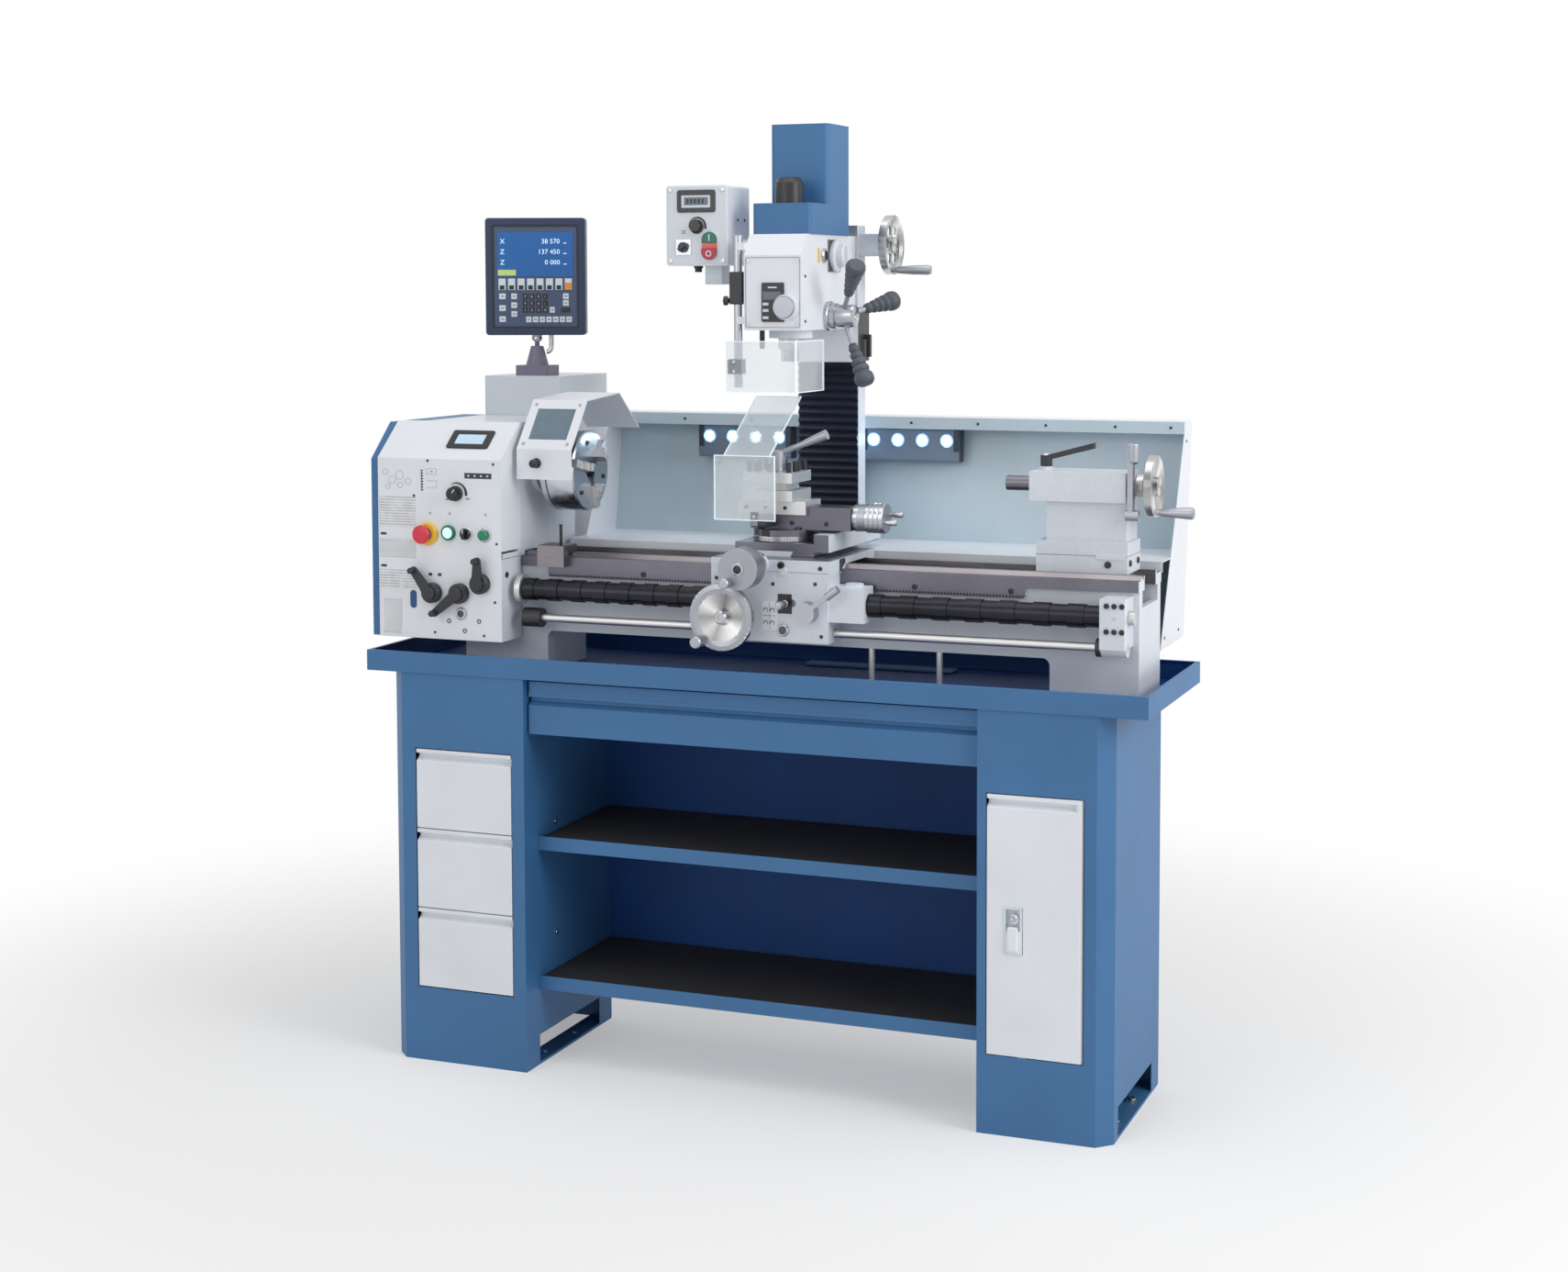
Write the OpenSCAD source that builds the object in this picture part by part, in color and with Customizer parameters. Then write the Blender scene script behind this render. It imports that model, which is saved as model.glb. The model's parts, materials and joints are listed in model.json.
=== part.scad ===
// Combination lathe mill on a two-cabinet stand, in millimetres.
// X runs along the bed towards the tailstock, Y away from the operator, Z up.
// The origin is on the floor, at the centre of the stand's four outer anchor holes.

/* [Stand] */
// Overall width over both cabinets
stand_w = 1472; // [1450:1:1500]
// Depth of the cabinets
stand_d = 380; // [372:1:390]
// Height of the cabinets, up to the underside of the chip tray
stand_h = 780; // [770:1:820]
// Width of the left cabinet, with the three drawers
left_w = 300; // [294:1:310]
// Width of the right cabinet, with the door
right_w = 250; // [246:1:262]
// Thickness of the folded sheet
sheet_t = 2; // [1.6:0.1:2.4]
// Chamfer on the outer front corner of each cabinet
corner_c = 28; // [20:1:34]
// Width of a small drawer's front
drawer_w = 211; // [200:1:216]
// Height of a small drawer's front
drawer_h = 158; // [150:1:160]
// Length of a small drawer's box behind its front
drawer_l = 320; // [280:1:330]
// Height of the lowest drawer's bottom edge above the floor
drawer_z = 150; // [140:1:156]
// Width of the cupboard door
door_w = 179; // [170:1:184]
// Height of the cupboard door
door_h = 478; // [460:1:490]
// Thickness of the drawer and door fronts
front_t = 16; // [14:1:18]
// Height of the wide drawer's front
wide_h = 81; // [76:1:86]
// Height of the upper shelf's top above the floor
shelf_high = 460; // [430:1:480]
// Height of the lower shelf's top above the floor
shelf_low = 180; // [150:1:200]
// Height of each shelf's front lip
shelf_lip = 28; // [22:1:34]
// Thickness of the rubber mats
mat_t = 4; // [3:0.5:6]

/* [Chip tray] */
// Overhang of the tray past the left cabinet
tray_left = 48; // [40:1:60]
// Overhang of the tray past the right cabinet
tray_right = 65; // [55:1:75]
// Overhang of the tray at the back
tray_back = 47; // [40:1:60]
// Height of the tray's rim
tray_h = 41; // [36:1:46]

/* [Bed] */
// Width over the two ways
bed_w = 180; // [178:1:184]
// Height from the tray floor to the flat of the ways
bed_h = 228; // [220:1:236]
// Height of the arch under the bed
arch_h = 80; // [70:1:84]
// Height of the ground band along each way
way_t = 20; // [18:1:24]
// Width of each way
way_w = 46; // [44:1:48]
// Thickness of the bed's front and back walls
wall_t = 24; // [18:1:26]
// Pitch of the rack's teeth
rack_pitch = 6.28; // [5:0.01:8]

/* [Headstock] */
// Length of the headstock along the spindle
head_l = 209; // [205:1:214]
// Height of the spindle above the ways
centre_h = 165; // [162:1:172]
// Radius of the chuck
chuck_r = 80; // [76:1:82]
// Length of the chuck's body
chuck_l = 72; // [66:1:76]
// Radius of the bore through spindle and chuck
spindle_bore_r = 19; // [15:0.5:20]
// Height of the digital readout's display
display_h = 244; // [230:1:250]
// Width of the digital readout's display
display_w = 209; // [200:1:215]

/* [Carriage] */
// Length of the saddle along the bed
saddle_l = 239; // [232:1:246]
// Radius of the carriage handwheel
carriage_wheel_r = 63; // [58:1:64]
// Radius of the cross-feed handwheel
cross_wheel_r = 39; // [35:1:40]
// Width of the cross slide
cross_w = 161; // [156:1:164]
// Length of the cross slide
cross_l = 250; // [240:1:256]
// Width of the square toolpost
post_w = 100; // [92:1:102]

/* [Tailstock] */
// Radius of the tailstock quill
quill_r = 14; // [12:0.5:15]
// Length of quill that stands out of the tailstock at rest
quill_out = 56; // [50:1:66]
// Radius of the tailstock handwheel
tail_wheel_r = 57; // [52:1:60]

/* [Mill] */
// Distance of the mill spindle from the stand's centre line
mill_x = 51; // [46:1:56]
// Width of the mill head
mill_w = 116; // [112:1:120]
// Height of the mill spindle's nose above the ways
nose_h = 387; // [382:1:400]
// Height of the tall motor cover above the low one
motor_cover_h = 155; // [140:1:170]
// Radius of the elevating handwheel
z_wheel_r = 59; // [54:1:62]
// Length of each arm of the down-feed handle
feed_arm_l = 150; // [140:1:156]

/* [Hidden] */
$fn = 48;

// Colours of the finishes
blue = [0.27, 0.44, 0.62];
white = [0.93, 0.93, 0.94];
grey = [0.78, 0.81, 0.82];
steel = [0.70, 0.68, 0.67];
polished = [0.85, 0.84, 0.83];
black = [0.12, 0.12, 0.14];
rubber = [0.10, 0.10, 0.11];
clear = [0.85, 0.92, 0.97, 0.35];

// Overrun of every cut, gap between pieces that move past each other, and fit of a shaft in its bore
over = 1;
gap = 0.3;
run = 0.05;

// Small step in a turned or built-up shape
step_t = 2;

// Stand
stand_x0 = -stand_w / 2;
stand_x1 = stand_w / 2;
left_x1 = stand_x0 + left_w;
right_x0 = stand_x1 - right_w;
front_y = -stand_d / 2;
back_y = stand_d / 2;
front_gap = 2;
drawer_inset = 60;
drawer_x = stand_x0 + drawer_inset;
drawer_pitch = drawer_h + front_gap;
drawer_side_gap = 5;
drawer_box_h = 118;
drawer_floor = 10;
pull_d = 11;
pull_top = 8;
pull_low = 24;
pull_slope = 8;
ledge_t = 3;
door_inset = 19;
door_x = right_x0 + door_inset;
door_z = 149;
pin_r = 3;
pin_l = 6;
pivot_in = 8;
lug_t = 5;
lug_w = 26;
latch_w = 34;
latch_h = 86;
latch_d = 9;
latch_x = 34;
latch_z = 188;
latch_wall = 2.5;
wide_drop = 28;
wide_inset = 14;
wide_box_h = 52;
wide_box_l = 320;
wide_side = 6;
wide_ledge_w = 26;
shelf_inset = 55;
shelf_back = 5;
mat_edge = 12;
toe_h = 55;
toe_z = 5;
toe_l = 266;
anchor_r = 7;
anchor_y = 65;
anchor_inset = 24;
flange_w = 46;
flange_t = 4;

// Chip tray
tray_front = 4;
tray_x0 = stand_x0 - tray_left;
tray_x1 = stand_x1 + tray_right;
tray_y0 = front_y - tray_front;
tray_y1 = back_y + tray_back;
tray_lip = 8;
tray_floor = stand_h + sheet_t;

// Bed
bed_left_in = 46;
bed_right_out = 21;
bed_x0 = stand_x0 + bed_left_in;
bed_x1 = stand_x1 + bed_right_out;
way_z = tray_floor + bed_h;
half_bed = bed_w / 2;
wall_in = 6;
foot_left_x0 = -620;
foot_left_x1 = left_x1;
foot_right_w = 166;
arch_r = 14;
land_w = 8;
land_h = 7;
vee_half = 8;
vee_in = 26;
vee_h = 8;
rib_t = 12;
rib_count = 6;
rib_drop = 50;
bolt_r = 6;
foot_bolt_in = 38;
foot_bolt_y = 48;
rack_in = 260;
rack_x0 = bed_x0 + rack_in;
rack_l = 977;
rack_h = 19;
rack_t = 6;
rack_tooth = 4.5;
tooth_shares = [0, 0.18, 0.5, 0.68];
conduit_r = 6;
conduit_xs = [242, 376];

// Screw, feed rod and end bracket
screw_y = -118;
screw_drop = 62;
screw_z = way_z - screw_drop;
screw_r = 10;
feed_y = -122;
feed_drop = 117;
feed_z = way_z - feed_drop;
feed_r = 8;
bracket_w = 46;
bracket_out = 11;
bracket_x1 = bed_x1 - bracket_out;
bracket_x0 = bracket_x1 - bracket_w;
bracket_y = -150;
boss_r = 16;
nut_r = 9;
nut_l = 11;
screw_nut_r = 13;
screw_flange_r = 29;
screw_flange_t = 12;
coupling_r = 19;
coupling_l = 40;
cover_r = 22;
cover_step = 2;
cover_turns = 16;
cover_wall = 1.2;

// Headstock
head_left_in = 36;
head_x0 = stand_x0 + head_left_in;
head_x1 = head_x0 + head_l;
spindle_z = way_z + centre_h;
head_rise = 99;
head_top = spindle_z + head_rise;
head_back = 148;
panel_y = -172;
panel_t = 2;
panel_left = 66;
panel_x0 = head_x0 - panel_left;
panel_drop = 163;
panel_z = way_z - panel_drop;
slope_h = 70;
slope_z = head_top - slope_h;
slope_y = -half_bed - gap;
head_wall = 14;
spindle_r = 30;
bearing_w = 22;
bearing_r = 46;
pulley_r = 48;
pulley_w = 26;
pulley_groove = 3;
nose_flange_r = 52;
nose_flange_l = 18;
chuck_out = 111;
chuck_x1 = head_x1 + chuck_out;
chuck_x0 = chuck_x1 - chuck_l;
nose_x = chuck_x0 - nose_flange_l;
chuck_edge = 3;
slot_w = 16;
slot_d = 14;
jaw_in = 30;
jaw_out = 80;
jaw_h = 24;
jaw_step = 8;
jaw_count = 3;
key_r = 6;
key_in = 20;
jaw_turn = 75;
cover_l = 19;
cover_x0 = panel_x0 - cover_l;
cover_back = 212;
cover_t = 2;
gear_in = 7;
gear_y0 = panel_y + gear_in;
cover_z1 = head_top - gear_in / 2;
cover_slope_z = slope_z - gear_in / 2;
knuckle_r = 5;
knuckle_l = 22;
knuckle_out = 6;
knuckle_x = head_x0 - knuckle_out;
knuckle_y = cover_back + knuckle_r + gap;
knuckle_in = [60, 110];
knuckle_zs = [panel_z + knuckle_in.x, head_top - knuckle_in.y];

// Electrics cabinet and readout
cab_x0 = head_x0;
cab_w = 176;
cab_y0 = head_back + sheet_t;
cab_d = 220;
cab_drop = 130;
cab_low = way_z - cab_drop;
cab_rise = 82;
cab_top = head_top + cab_rise;
pillar_x = -597;
pillar_y = 190;
pillar_w = 76;
pillar_d = 56;
pillar_base_h = 22;
pillar_r1 = 24;
pillar_r2 = 13;
pillar_h = 40;
ball_r = 9;
neck_r = 5;
neck_l = 14;
display_z = cab_top + pillar_base_h + pillar_h + neck_l + ball_r;
display_t = 42;
display_turn = 21;
bezel = 12;
bezel_d = 4;
cable_r = 5;
cable_x = 30;
cable_bend = 10;
cable_drop = 26;

// Chuck guard hood
hood_past = 20;
hood_x1 = chuck_x1 + hood_past;
hood_rises = [-10, 49, 143, 152, 78];
hood_t = 2;
hood_low = spindle_z + hood_rises[0];
hood_fold = spindle_z + hood_rises[1];
hood_front = -124;
hood_top_y = -52;
hood_top = spindle_z + hood_rises[2];
hood_back_y = 94;
hood_crest = spindle_z + hood_rises[3];
hood_end_y = 186;
hood_end_z = spindle_z + hood_rises[4];
hinge_y = 70;
hinge_rise = 70;
hinge_z = spindle_z + hinge_rise;
hinge_r = 9;
hinge_hub_r = 22;
hinge_hub_l = 30;
hinge_plate_t = 16;
window_in = 18;
window_shares = [0.2, 0.82];
guard_knob_r = 7;
guard_knob_l = 14;

// Controls on the headstock panel
lever_hub_r = 20;
lever_hub_l = 22;
lever_arm_w = 13;
lever_arm_t = 9;
lever_x = [-643, -582, -535];
lever_drop = [71, 70, 49];
lever_z = [for (d = lever_drop) way_z - d];
lever_l = [56, 62, 46];
lever_turn = [37, 129, 0];
lever_pin_r = 6;
lever_pin_l = 12;
dial_x = -589;
dial_drop = 38;
dial_z = spindle_z - dial_drop;
dial_r = 15;
dial_l = 20;
stop_x = -659;
stop_drop = 120;
stop_z = spindle_z - stop_drop;
stop_r = 19;
stop_l = 26;
start_x = -526;
start_drop = 118;
start_z = spindle_z - start_drop;
start_r = 11;
start_l = 9;
stem_r = 5;
stem_l = 12;

// Splash guard and lamps
guard_t = 2;
guard_off = 13;
guard_x0 = head_x1 + guard_off;
guard_x1 = bed_x1;
guard_lift = 78;
guard_low = tray_floor + guard_lift;
guard_foot_y = half_bed + gap;
guard_back_y0 = 287;
guard_back_y1 = 352;
guard_rise = 268;
guard_top = way_z + guard_rise;
guard_lip_y = 283;
guard_lip_h = 24;
ledge_rise = 16;
ledge_z = way_z + ledge_rise;
ledge_lip = 20;
ledge_off = 10;
ledge_y = half_bed + ledge_off;
column_cut = 12;
lamp_l = 208;
lamp_h = 46;
lamp_d = 30;
lamp_drop = 6;
lamp_xs = [-276, 88];
lamp_y = 300;

// Stop block on the front way
stop_block_x = -444;
stop_block_l = 58;
stop_block_d = 66;
stop_block_h = 32;
stop_block_low = 18;
stop_pin_r = 3;
stop_pin_h = 30;

// Carriage
sad_x0 = -51;
sad_x1 = sad_x0 + saddle_l;
apron_y0 = -155;
apron_y1 = half_bed + gap;
sad_rise = 21;
sad_top = way_z + sad_rise;
sad_low = way_z - land_h;
sad_back = 93;
apron_drop = 134;
apron_low = way_z - apron_drop;
apron_in = 3;
apron_x1 = sad_x1 - apron_in;
ridge_w = 67;
ridge_h = 10;
ridge_splay = 5;
vee_gap = 0.4;
shaft_r = 9;
wheel_drop = 85;
wheel_shaft_z = way_z - wheel_drop;
wheel_x = -8;
wheel_y = -212;
wheel_rim = 9;
wheel_dish = 14;
wheel_hub_r = 13;
wheel_boss_r = 24;
grip_r = 8.5;
grip_l = 46;
grip_neck = 5;
grip_angle = 200;
cross_axis_x = 43;
cross_rise = 11;
cross_axis_z = way_z + cross_rise;
cross_y = -236;
cross_disc_t = 13;
cross_dial_r = 30;
cross_dial_l = 30;
cross_boss_r = 24;
cross_boss_l = 24;
cross_grip_r = 33;
grip_in = 3;
cross_grip_turn = 195;
dial_block_l = 58;
dial_block_d = 52;
dial_block_h = 66;
dial_block_drop = 27;
dial_block_z = way_z - dial_block_drop;
dial_cap_r = 17;
dial_cap_h = 5;
feed_hub_x = 146;
feed_hub_drop = 75;
feed_hub_z = way_z - feed_hub_drop;
feed_hub_r = 21;
feed_hub_l = 26;
feed_arm_w = 9;
feed_lever_l = 78;
feed_lever_turn = -54;
nut_lever_x = 102;
nut_lever_drop = 67;
nut_lever_z = way_z - nut_lever_drop;
nut_slot_w = 38;
nut_slot_h = 14;
sight_x = 96;
sight_drop = 111;
sight_z = way_z - sight_drop;
sight_r = 11;
sight_t = 3;

// Cross slide and what it carries
cross_x0 = -25;
cross_x1 = cross_x0 + cross_w;
cross_y0 = -100;
cross_z0 = sad_top + gap;
cross_h = 25;
cross_top = cross_z0 + cross_h;
scale_w = 30;
scale_l = 292;
scale_drop = 16;
scale_h = 34;
swivel_x = 55;
swivel_y = -40;
swivel_r = 61;
swivel_h = 23;
swivel_z0 = cross_top + gap;
base_l = 204;
base_in = 60;
base_x0 = swivel_x - base_in;
base_x1 = base_x0 + base_l;
base_w = 60;
base_z0 = swivel_z0 + swivel_h;
base_h = 44;
slide_x0 = -28;
slide_l = 140;
slide_t = 10;
cheek_t = 10;
cheek_h = 16;
slide_z0 = base_z0 + base_h + gap;
slide_top = slide_z0 + slide_t;
crank_r = 28;
crank_collar = 24;
crank_l = 38;
crank_rise = 24;
crank_z = base_z0 + crank_rise;
crank_grip_y = 18;
crank_grip_z = 6;
crank_grip_l = 26;
crank_pin_r = 6;
post_x = 38;
post_low_h = 20;
post_gap_h = 14;
post_up_h = 20;
post_core_w = 62;
post_bolt_r = 5;
post_bolt_h = 20;
post_top = slide_top + gap + post_low_h + post_gap_h + post_up_h;
stud_r = 11;
stud_h = 22;
hub_r = 17;
hub_h = 26;
arm_r = 6;
arm_l = 62;
arm_tilt = 68;
lever_grip_r = 10;
lever_grip_l = 48;
shield_y = -116;
shield_t = 3;
shield_w = 125;
shield_x0 = -60;
shield_up = 4.4;
shield_low = base_z0 + shield_up;
shield_h = 138;
shield_rise = 106;
shield_lean = 161;
shield_shift = 20;
shield_pin_up = 8;
shield_pin_z = shield_low + shield_pin_up;
shield_pin_r = 3;
shield_lug_w = 16;
shield_lug_x = 30;
shield_hub_r = 7;

// Tailstock
tail_x0 = 555;
tail_x1 = 726;
tail_w = 100;
tail_rise = 26;
tail_top = spindle_z + tail_rise;
tail_mid_x0 = 572;
tail_up_x0 = 541;
tail_end = 722;
tail_base_h = 57;
tail_base_z = way_z + land_h + gap;
tail_mid_w = 80;
tail_up_h = 54;
clamp_t = 14;
clamp_drop = 4;
clamp_in = 12;
quill_bore_r = 9;
quill_l = 150;
quill_nut_gap = 10;
taper_l = 60;
tail_collar_r = 24;
tail_collar_l = 24;
tail_rim_w = 14;
tail_hub_r = 18;
tail_grip_r = 47;
tail_grip_l = 70;
tail_grip_turn = 170;
lock_x = 560;
lock_r = 11;
lock_h = 20;
lock_arm_l = 92;
lock_arm_w = 15;
lock_arm_t = 11;
lock_rise = 14;
clamp_hub_r = 14;
clamp_hub_drop = 50;
clamp_hub_z = spindle_z - clamp_hub_drop;
clamp_hub_y = -46;
clamp_arm_w = 16;
clamp_arm_t = 10;
clamp_arm_l = 130;

// Mill
mill_y = 0;
col_w = 124;
col_y0 = 206;
col_t = 44;
col_rib_w = 72;
col_rib_d = 52;
col_drop = 120;
col_low = way_z - col_drop;
col_rise = 652;
col_top = way_z + col_rise;
col_foot_h = 110;
col_foot_w = 180;
col_foot_y1 = 284;
bellows_d = 9;
bellows_rises = [26, 379];
bellows_low = way_z + bellows_rises.x;
bellows_top = way_z + bellows_rises.y;
bellows_folds = 22;
bellows_plate = 2;
mill_shift = 1;
mh_x0 = mill_x - mill_w / 2 - mill_shift;
mh_x1 = mh_x0 + mill_w;
mh_y0 = -92;
mh_y1 = 176;
mh_rises = [448, 630];
mh_z0 = way_z + mh_rises.x;
mh_z1 = way_z + mh_rises.y;
mh_slope_h = 40;
mh_slope_d = 28;
head_slide_t = 18;
head_slide_rise = 382;
head_slide_z0 = way_z + head_slide_rise;
head_gib = 8;
cover_low_h = 59;
cover_w = 120;
cover_y0 = -49;
cover_y1 = 168;
tall_y0 = 46;
cap_r = 27;
cap_h = 50;
cap_y = -6;
sleeve_r = 42;
sleeve_h = 16;
mq_r = 24;
mq_rises = [410, 590];
mq_low = way_z + mq_rises.x;
mq_top = way_z + mq_rises.y;
ms_r = 16;
ms_rise = 620;
ms_top = way_z + ms_rise;
nose_z = way_z + nose_h;
ms_bore_r = 11;
ms_flare = 24;
nose_collar = 3;
collet_r = 12.06;
collet_l = 61;
feed_knob_x = 80;
feed_knob_rise = 492;
feed_knob_z = way_z + feed_knob_rise;
feed_knob_r = 24;
feed_knob_l = 12;
readout_x0 = 30;
readout_w = 44;
readout_rise = 464;
readout_z0 = way_z + readout_rise;
readout_h = 74;
readout_t = 2;
zw_y = 235;
zw_rise = 613;
zw_z = way_z + zw_rise;
zw_x = 166;
zw_rim = 15;
zw_hub_r = 15;
zw_boss_r = 20;
zw_grip_l = 76;
zw_grip_r = 50;
zw_hole_r = 12;
zw_holes = 6;
zw_block = 44;
zw_shaft_r = 8;
fh_y = 45;
fh_rise = 474;
fh_z = way_z + fh_rise;
fh_hub_r = 22;
fh_hub_l = 58;
fh_flange_r = 29;
fh_flange_t = 8;
fh_shaft_r = 9;
fh_tilt = 25;
fh_start = 13;
fh_arms = 3;
fh_rod_r = 5;
fh_rod_share = 0.42;
gk_y = 82;
gk_rise = 590;
gk_z = way_z + gk_rise;
gk_r = 29;
gk_l = 30;
gk_plate = 62;
gk_plate_t = 3;
post_px = -25;
post_py = -80;
post_pr = 8;
post_rises = [339, 624];
post_z0 = way_z + post_rises.x;
post_z1 = way_z + post_rises.y;
post_arm_rises = [460, 600];
post_arm_h = 14;
sg_rise = 330;
sg_low = way_z + sg_rise;
sg_h = 98;
sg_t = 3;
sg_w = 144;
sg_d = 147;
sg_x0 = -42;
sg_y0 = -102;
sg_hub_r = 14;
mb_x0 = -183;
mb_w = 128;
mb_y0 = -60;
mb_d = 109;
mb_rise = 571;
mb_z0 = way_z + mb_rise;
mb_h = 154;
mb_edge = 6;
mb_arm_h = 44;
mb_arm_w = 40;
mb_arm_y = 0;
md_x = -118;
md_up = 75;
md_z = mb_z0 + md_up;
md_r = 13;
md_l = 14;
mstop_x = -92;
mstop_up = 23;
mstop_z = mb_z0 + mstop_up;
mstop_r = 12;
mstop_l = 7;
mbtn_t = 4;
lock_lever_rise = 430;
lock_lever_z = way_z + lock_lever_rise;

// General shapes

// A box between two opposite corners
module slab(lo, hi) translate(lo) cube(hi - lo);

// A round bar along X, Y or Z
module rod_x(x0, x1, y, z, r) translate([x0, y, z]) rotate([0, 90, 0]) cylinder(h = x1 - x0, r = r);
module rod_y(y0, y1, x, z, r) translate([x, y0, z]) rotate([-90, 0, 0]) cylinder(h = y1 - y0, r = r);
module rod_z(z0, z1, x, y, r) translate([x, y, z0]) cylinder(h = z1 - z0, r = r);

// A flat outline, given as [y, z] points, drawn out along X
module along_x(x0, x1) translate([x0, 0, 0]) rotate([90, 0, 90]) linear_extrude(x1 - x0) children();

// A flat outline, given as [x, z] points, drawn out along Y
module along_y(y0, y1) translate([0, y1, 0]) rotate([90, 0, 0]) linear_extrude(y1 - y0) children();

// A rounded rectangle with its corner at the origin
module round_rect(w, h, r) {
    translate([r, 0]) square([w - 2 * r, h]);
    translate([0, r]) square([w, h - 2 * r]);
    for (x = [r, w - r], y = [r, h - r])
        translate([x, y]) circle(r = r);
}

// Boxes with the four edges along one axis rounded
module block_x(lo, hi, r)
    translate(lo) rotate([90, 0, 90]) linear_extrude(hi.x - lo.x)
        round_rect(hi.y - lo.y, hi.z - lo.z, r);
module block_y(lo, hi, r)
    translate([lo.x, hi.y, lo.z]) rotate([90, 0, 0]) linear_extrude(hi.y - lo.y)
        round_rect(hi.x - lo.x, hi.z - lo.z, r);
module block_z(lo, hi, r)
    translate(lo) linear_extrude(hi.z - lo.z) round_rect(hi.x - lo.x, hi.y - lo.y, r);

// Turned shapes: points are [radius, distance along the axis]
module turned_x(at, points) translate(at) rotate([0, 90, 0]) rotate_extrude() polygon(points);
module turned_front(at, points) translate(at) rotate([90, 0, 0]) rotate_extrude() polygon(points);
module turned_z(at, points) translate(at) rotate_extrude() polygon(points);

// Outline of a turned machine handle of radius r and length l on a neck of radius n
function grip_shape(r, l, n) = [[0, 0], [n, 0], [n, 0.08 * l], [0.72 * r, 0.14 * l], [0.92 * r, 0.5 * l],
    [r, 0.85 * l], [0.8 * r, l], [0, l]];

// Stand

// Outline of a cabinet between x0 and x1, drawn in by t, with its outer front corner cut off
module cabinet_outline(x0, x1, outer_left, t) {
    xa = x0 + t;
    xb = x1 - t;
    c = corner_c;
    ya = front_y + t;
    yb = back_y - t;
    if (outer_left)
        polygon([[xa + c, ya], [xb, ya], [xb, yb], [xa, yb], [xa, ya + c]]);
    else
        polygon([[xa, ya], [xb - c, ya], [xb, ya + c], [xb, yb], [xa, yb]]);
}

// Folded cabinet with its floor, top, foot flanges and toe openings
module cabinet_shell(x0, x1, outer_left, floor_z) {
    difference() {
        union() {
            difference() {
                linear_extrude(stand_h) cabinet_outline(x0, x1, outer_left, 0);
                translate([0, 0, -over]) linear_extrude(stand_h - sheet_t + over)
                    cabinet_outline(x0, x1, outer_left, sheet_t);
            }
            translate([0, 0, floor_z - sheet_t]) linear_extrude(sheet_t)
                cabinet_outline(x0, x1, outer_left, sheet_t);
            intersection() {
                linear_extrude(flange_t) cabinet_outline(x0, x1, outer_left, sheet_t);
                union() {
                    slab([x0, front_y, 0], [x0 + flange_w, back_y, flange_t]);
                    slab([x1 - flange_w, front_y, 0], [x1, back_y, flange_t]);
                }
            }
        }
        for (x = [x0 + anchor_inset, x1 - anchor_inset], y = [-anchor_y, anchor_y])
            rod_z(-over, flange_t + over, x, y, anchor_r);
        slab([x0 - over, -toe_l / 2, toe_z], [x1 + over, toe_l / 2, toe_z + toe_h]);
    }
}

// Ledge that carries one side of the wide drawer, on the inner wall of a cabinet
module wide_ledge(x0, x1)
    slab([x0, front_y + wide_inset + front_t, wide_floor - gap - ledge_t],
        [x1, back_y - wide_inset, wide_floor - gap]);

wide_z = stand_h - wide_drop - wide_h;
wide_lift = 19;
wide_floor = wide_z + wide_lift;

module left_cabinet() color(blue) {
    difference() {
        cabinet_shell(stand_x0, left_x1, true, drawer_z - ledge_t);
        slab([drawer_x - front_gap, front_y - over, drawer_z - front_gap],
            [drawer_x + drawer_w + front_gap, front_y + sheet_t + over,
            drawer_z + 3 * drawer_pitch]);
    }
    for (i = [0:2]) {
        z = drawer_z + i * drawer_pitch + drawer_floor - gap;
        inner = drawer_x + 2 * drawer_side_gap + ledge_t;
        outer = drawer_x + drawer_w - 2 * drawer_side_gap - ledge_t;
        slab([stand_x0 + sheet_t, front_y + corner_c + sheet_t, z - ledge_t], [inner, back_y - sheet_t, z]);
        slab([outer, front_y + corner_c + sheet_t, z - ledge_t], [left_x1 - sheet_t, back_y - sheet_t, z]);
    }
    wide_ledge(left_x1, left_x1 + wide_ledge_w);
}

// Section of a drawer or door front of height h, with its finger pull, as [y, z] points
function front_section(h) = [[0, 0], [front_t, 0], [front_t, h], [0, h], [0, h - pull_top],
    [pull_d, h - pull_top], [pull_d, h - pull_top - pull_slope], [0, h - pull_low]];

// Open box of folded sheet
module open_box(lo, hi) difference() {
    slab(lo, hi);
    slab([lo.x + sheet_t, lo.y + sheet_t, lo.z + sheet_t], [hi.x - sheet_t, hi.y - sheet_t, hi.z + over]);
}

module drawer(i) {
    z = drawer_z + i * drawer_pitch;
    color(white) translate([0, front_y, z]) along_x(drawer_x, drawer_x + drawer_w)
        polygon(front_section(drawer_h));
    color(white) open_box([drawer_x + drawer_side_gap, front_y + front_t, z + drawer_floor],
        [drawer_x + drawer_w - drawer_side_gap, front_y + front_t + drawer_l,
            z + drawer_floor + drawer_box_h]);
}
module drawer_bottom() drawer(0);
module drawer_middle() drawer(1);
module drawer_top() drawer(2);

module wide_drawer() {
    y0 = front_y + wide_inset;
    color(blue) translate([0, y0, wide_z])
        along_x(left_x1 + 2 * front_gap, right_x0 - front_gap) polygon(front_section(wide_h));
    color(white) open_box([left_x1 + wide_side, y0 + front_t, wide_floor],
        [right_x0 - wide_side, y0 + front_t + wide_box_l, wide_floor + wide_box_h]);
}

pivot_x = door_x + door_w - pivot_in;
pivot_y = front_y + pivot_in;

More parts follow.
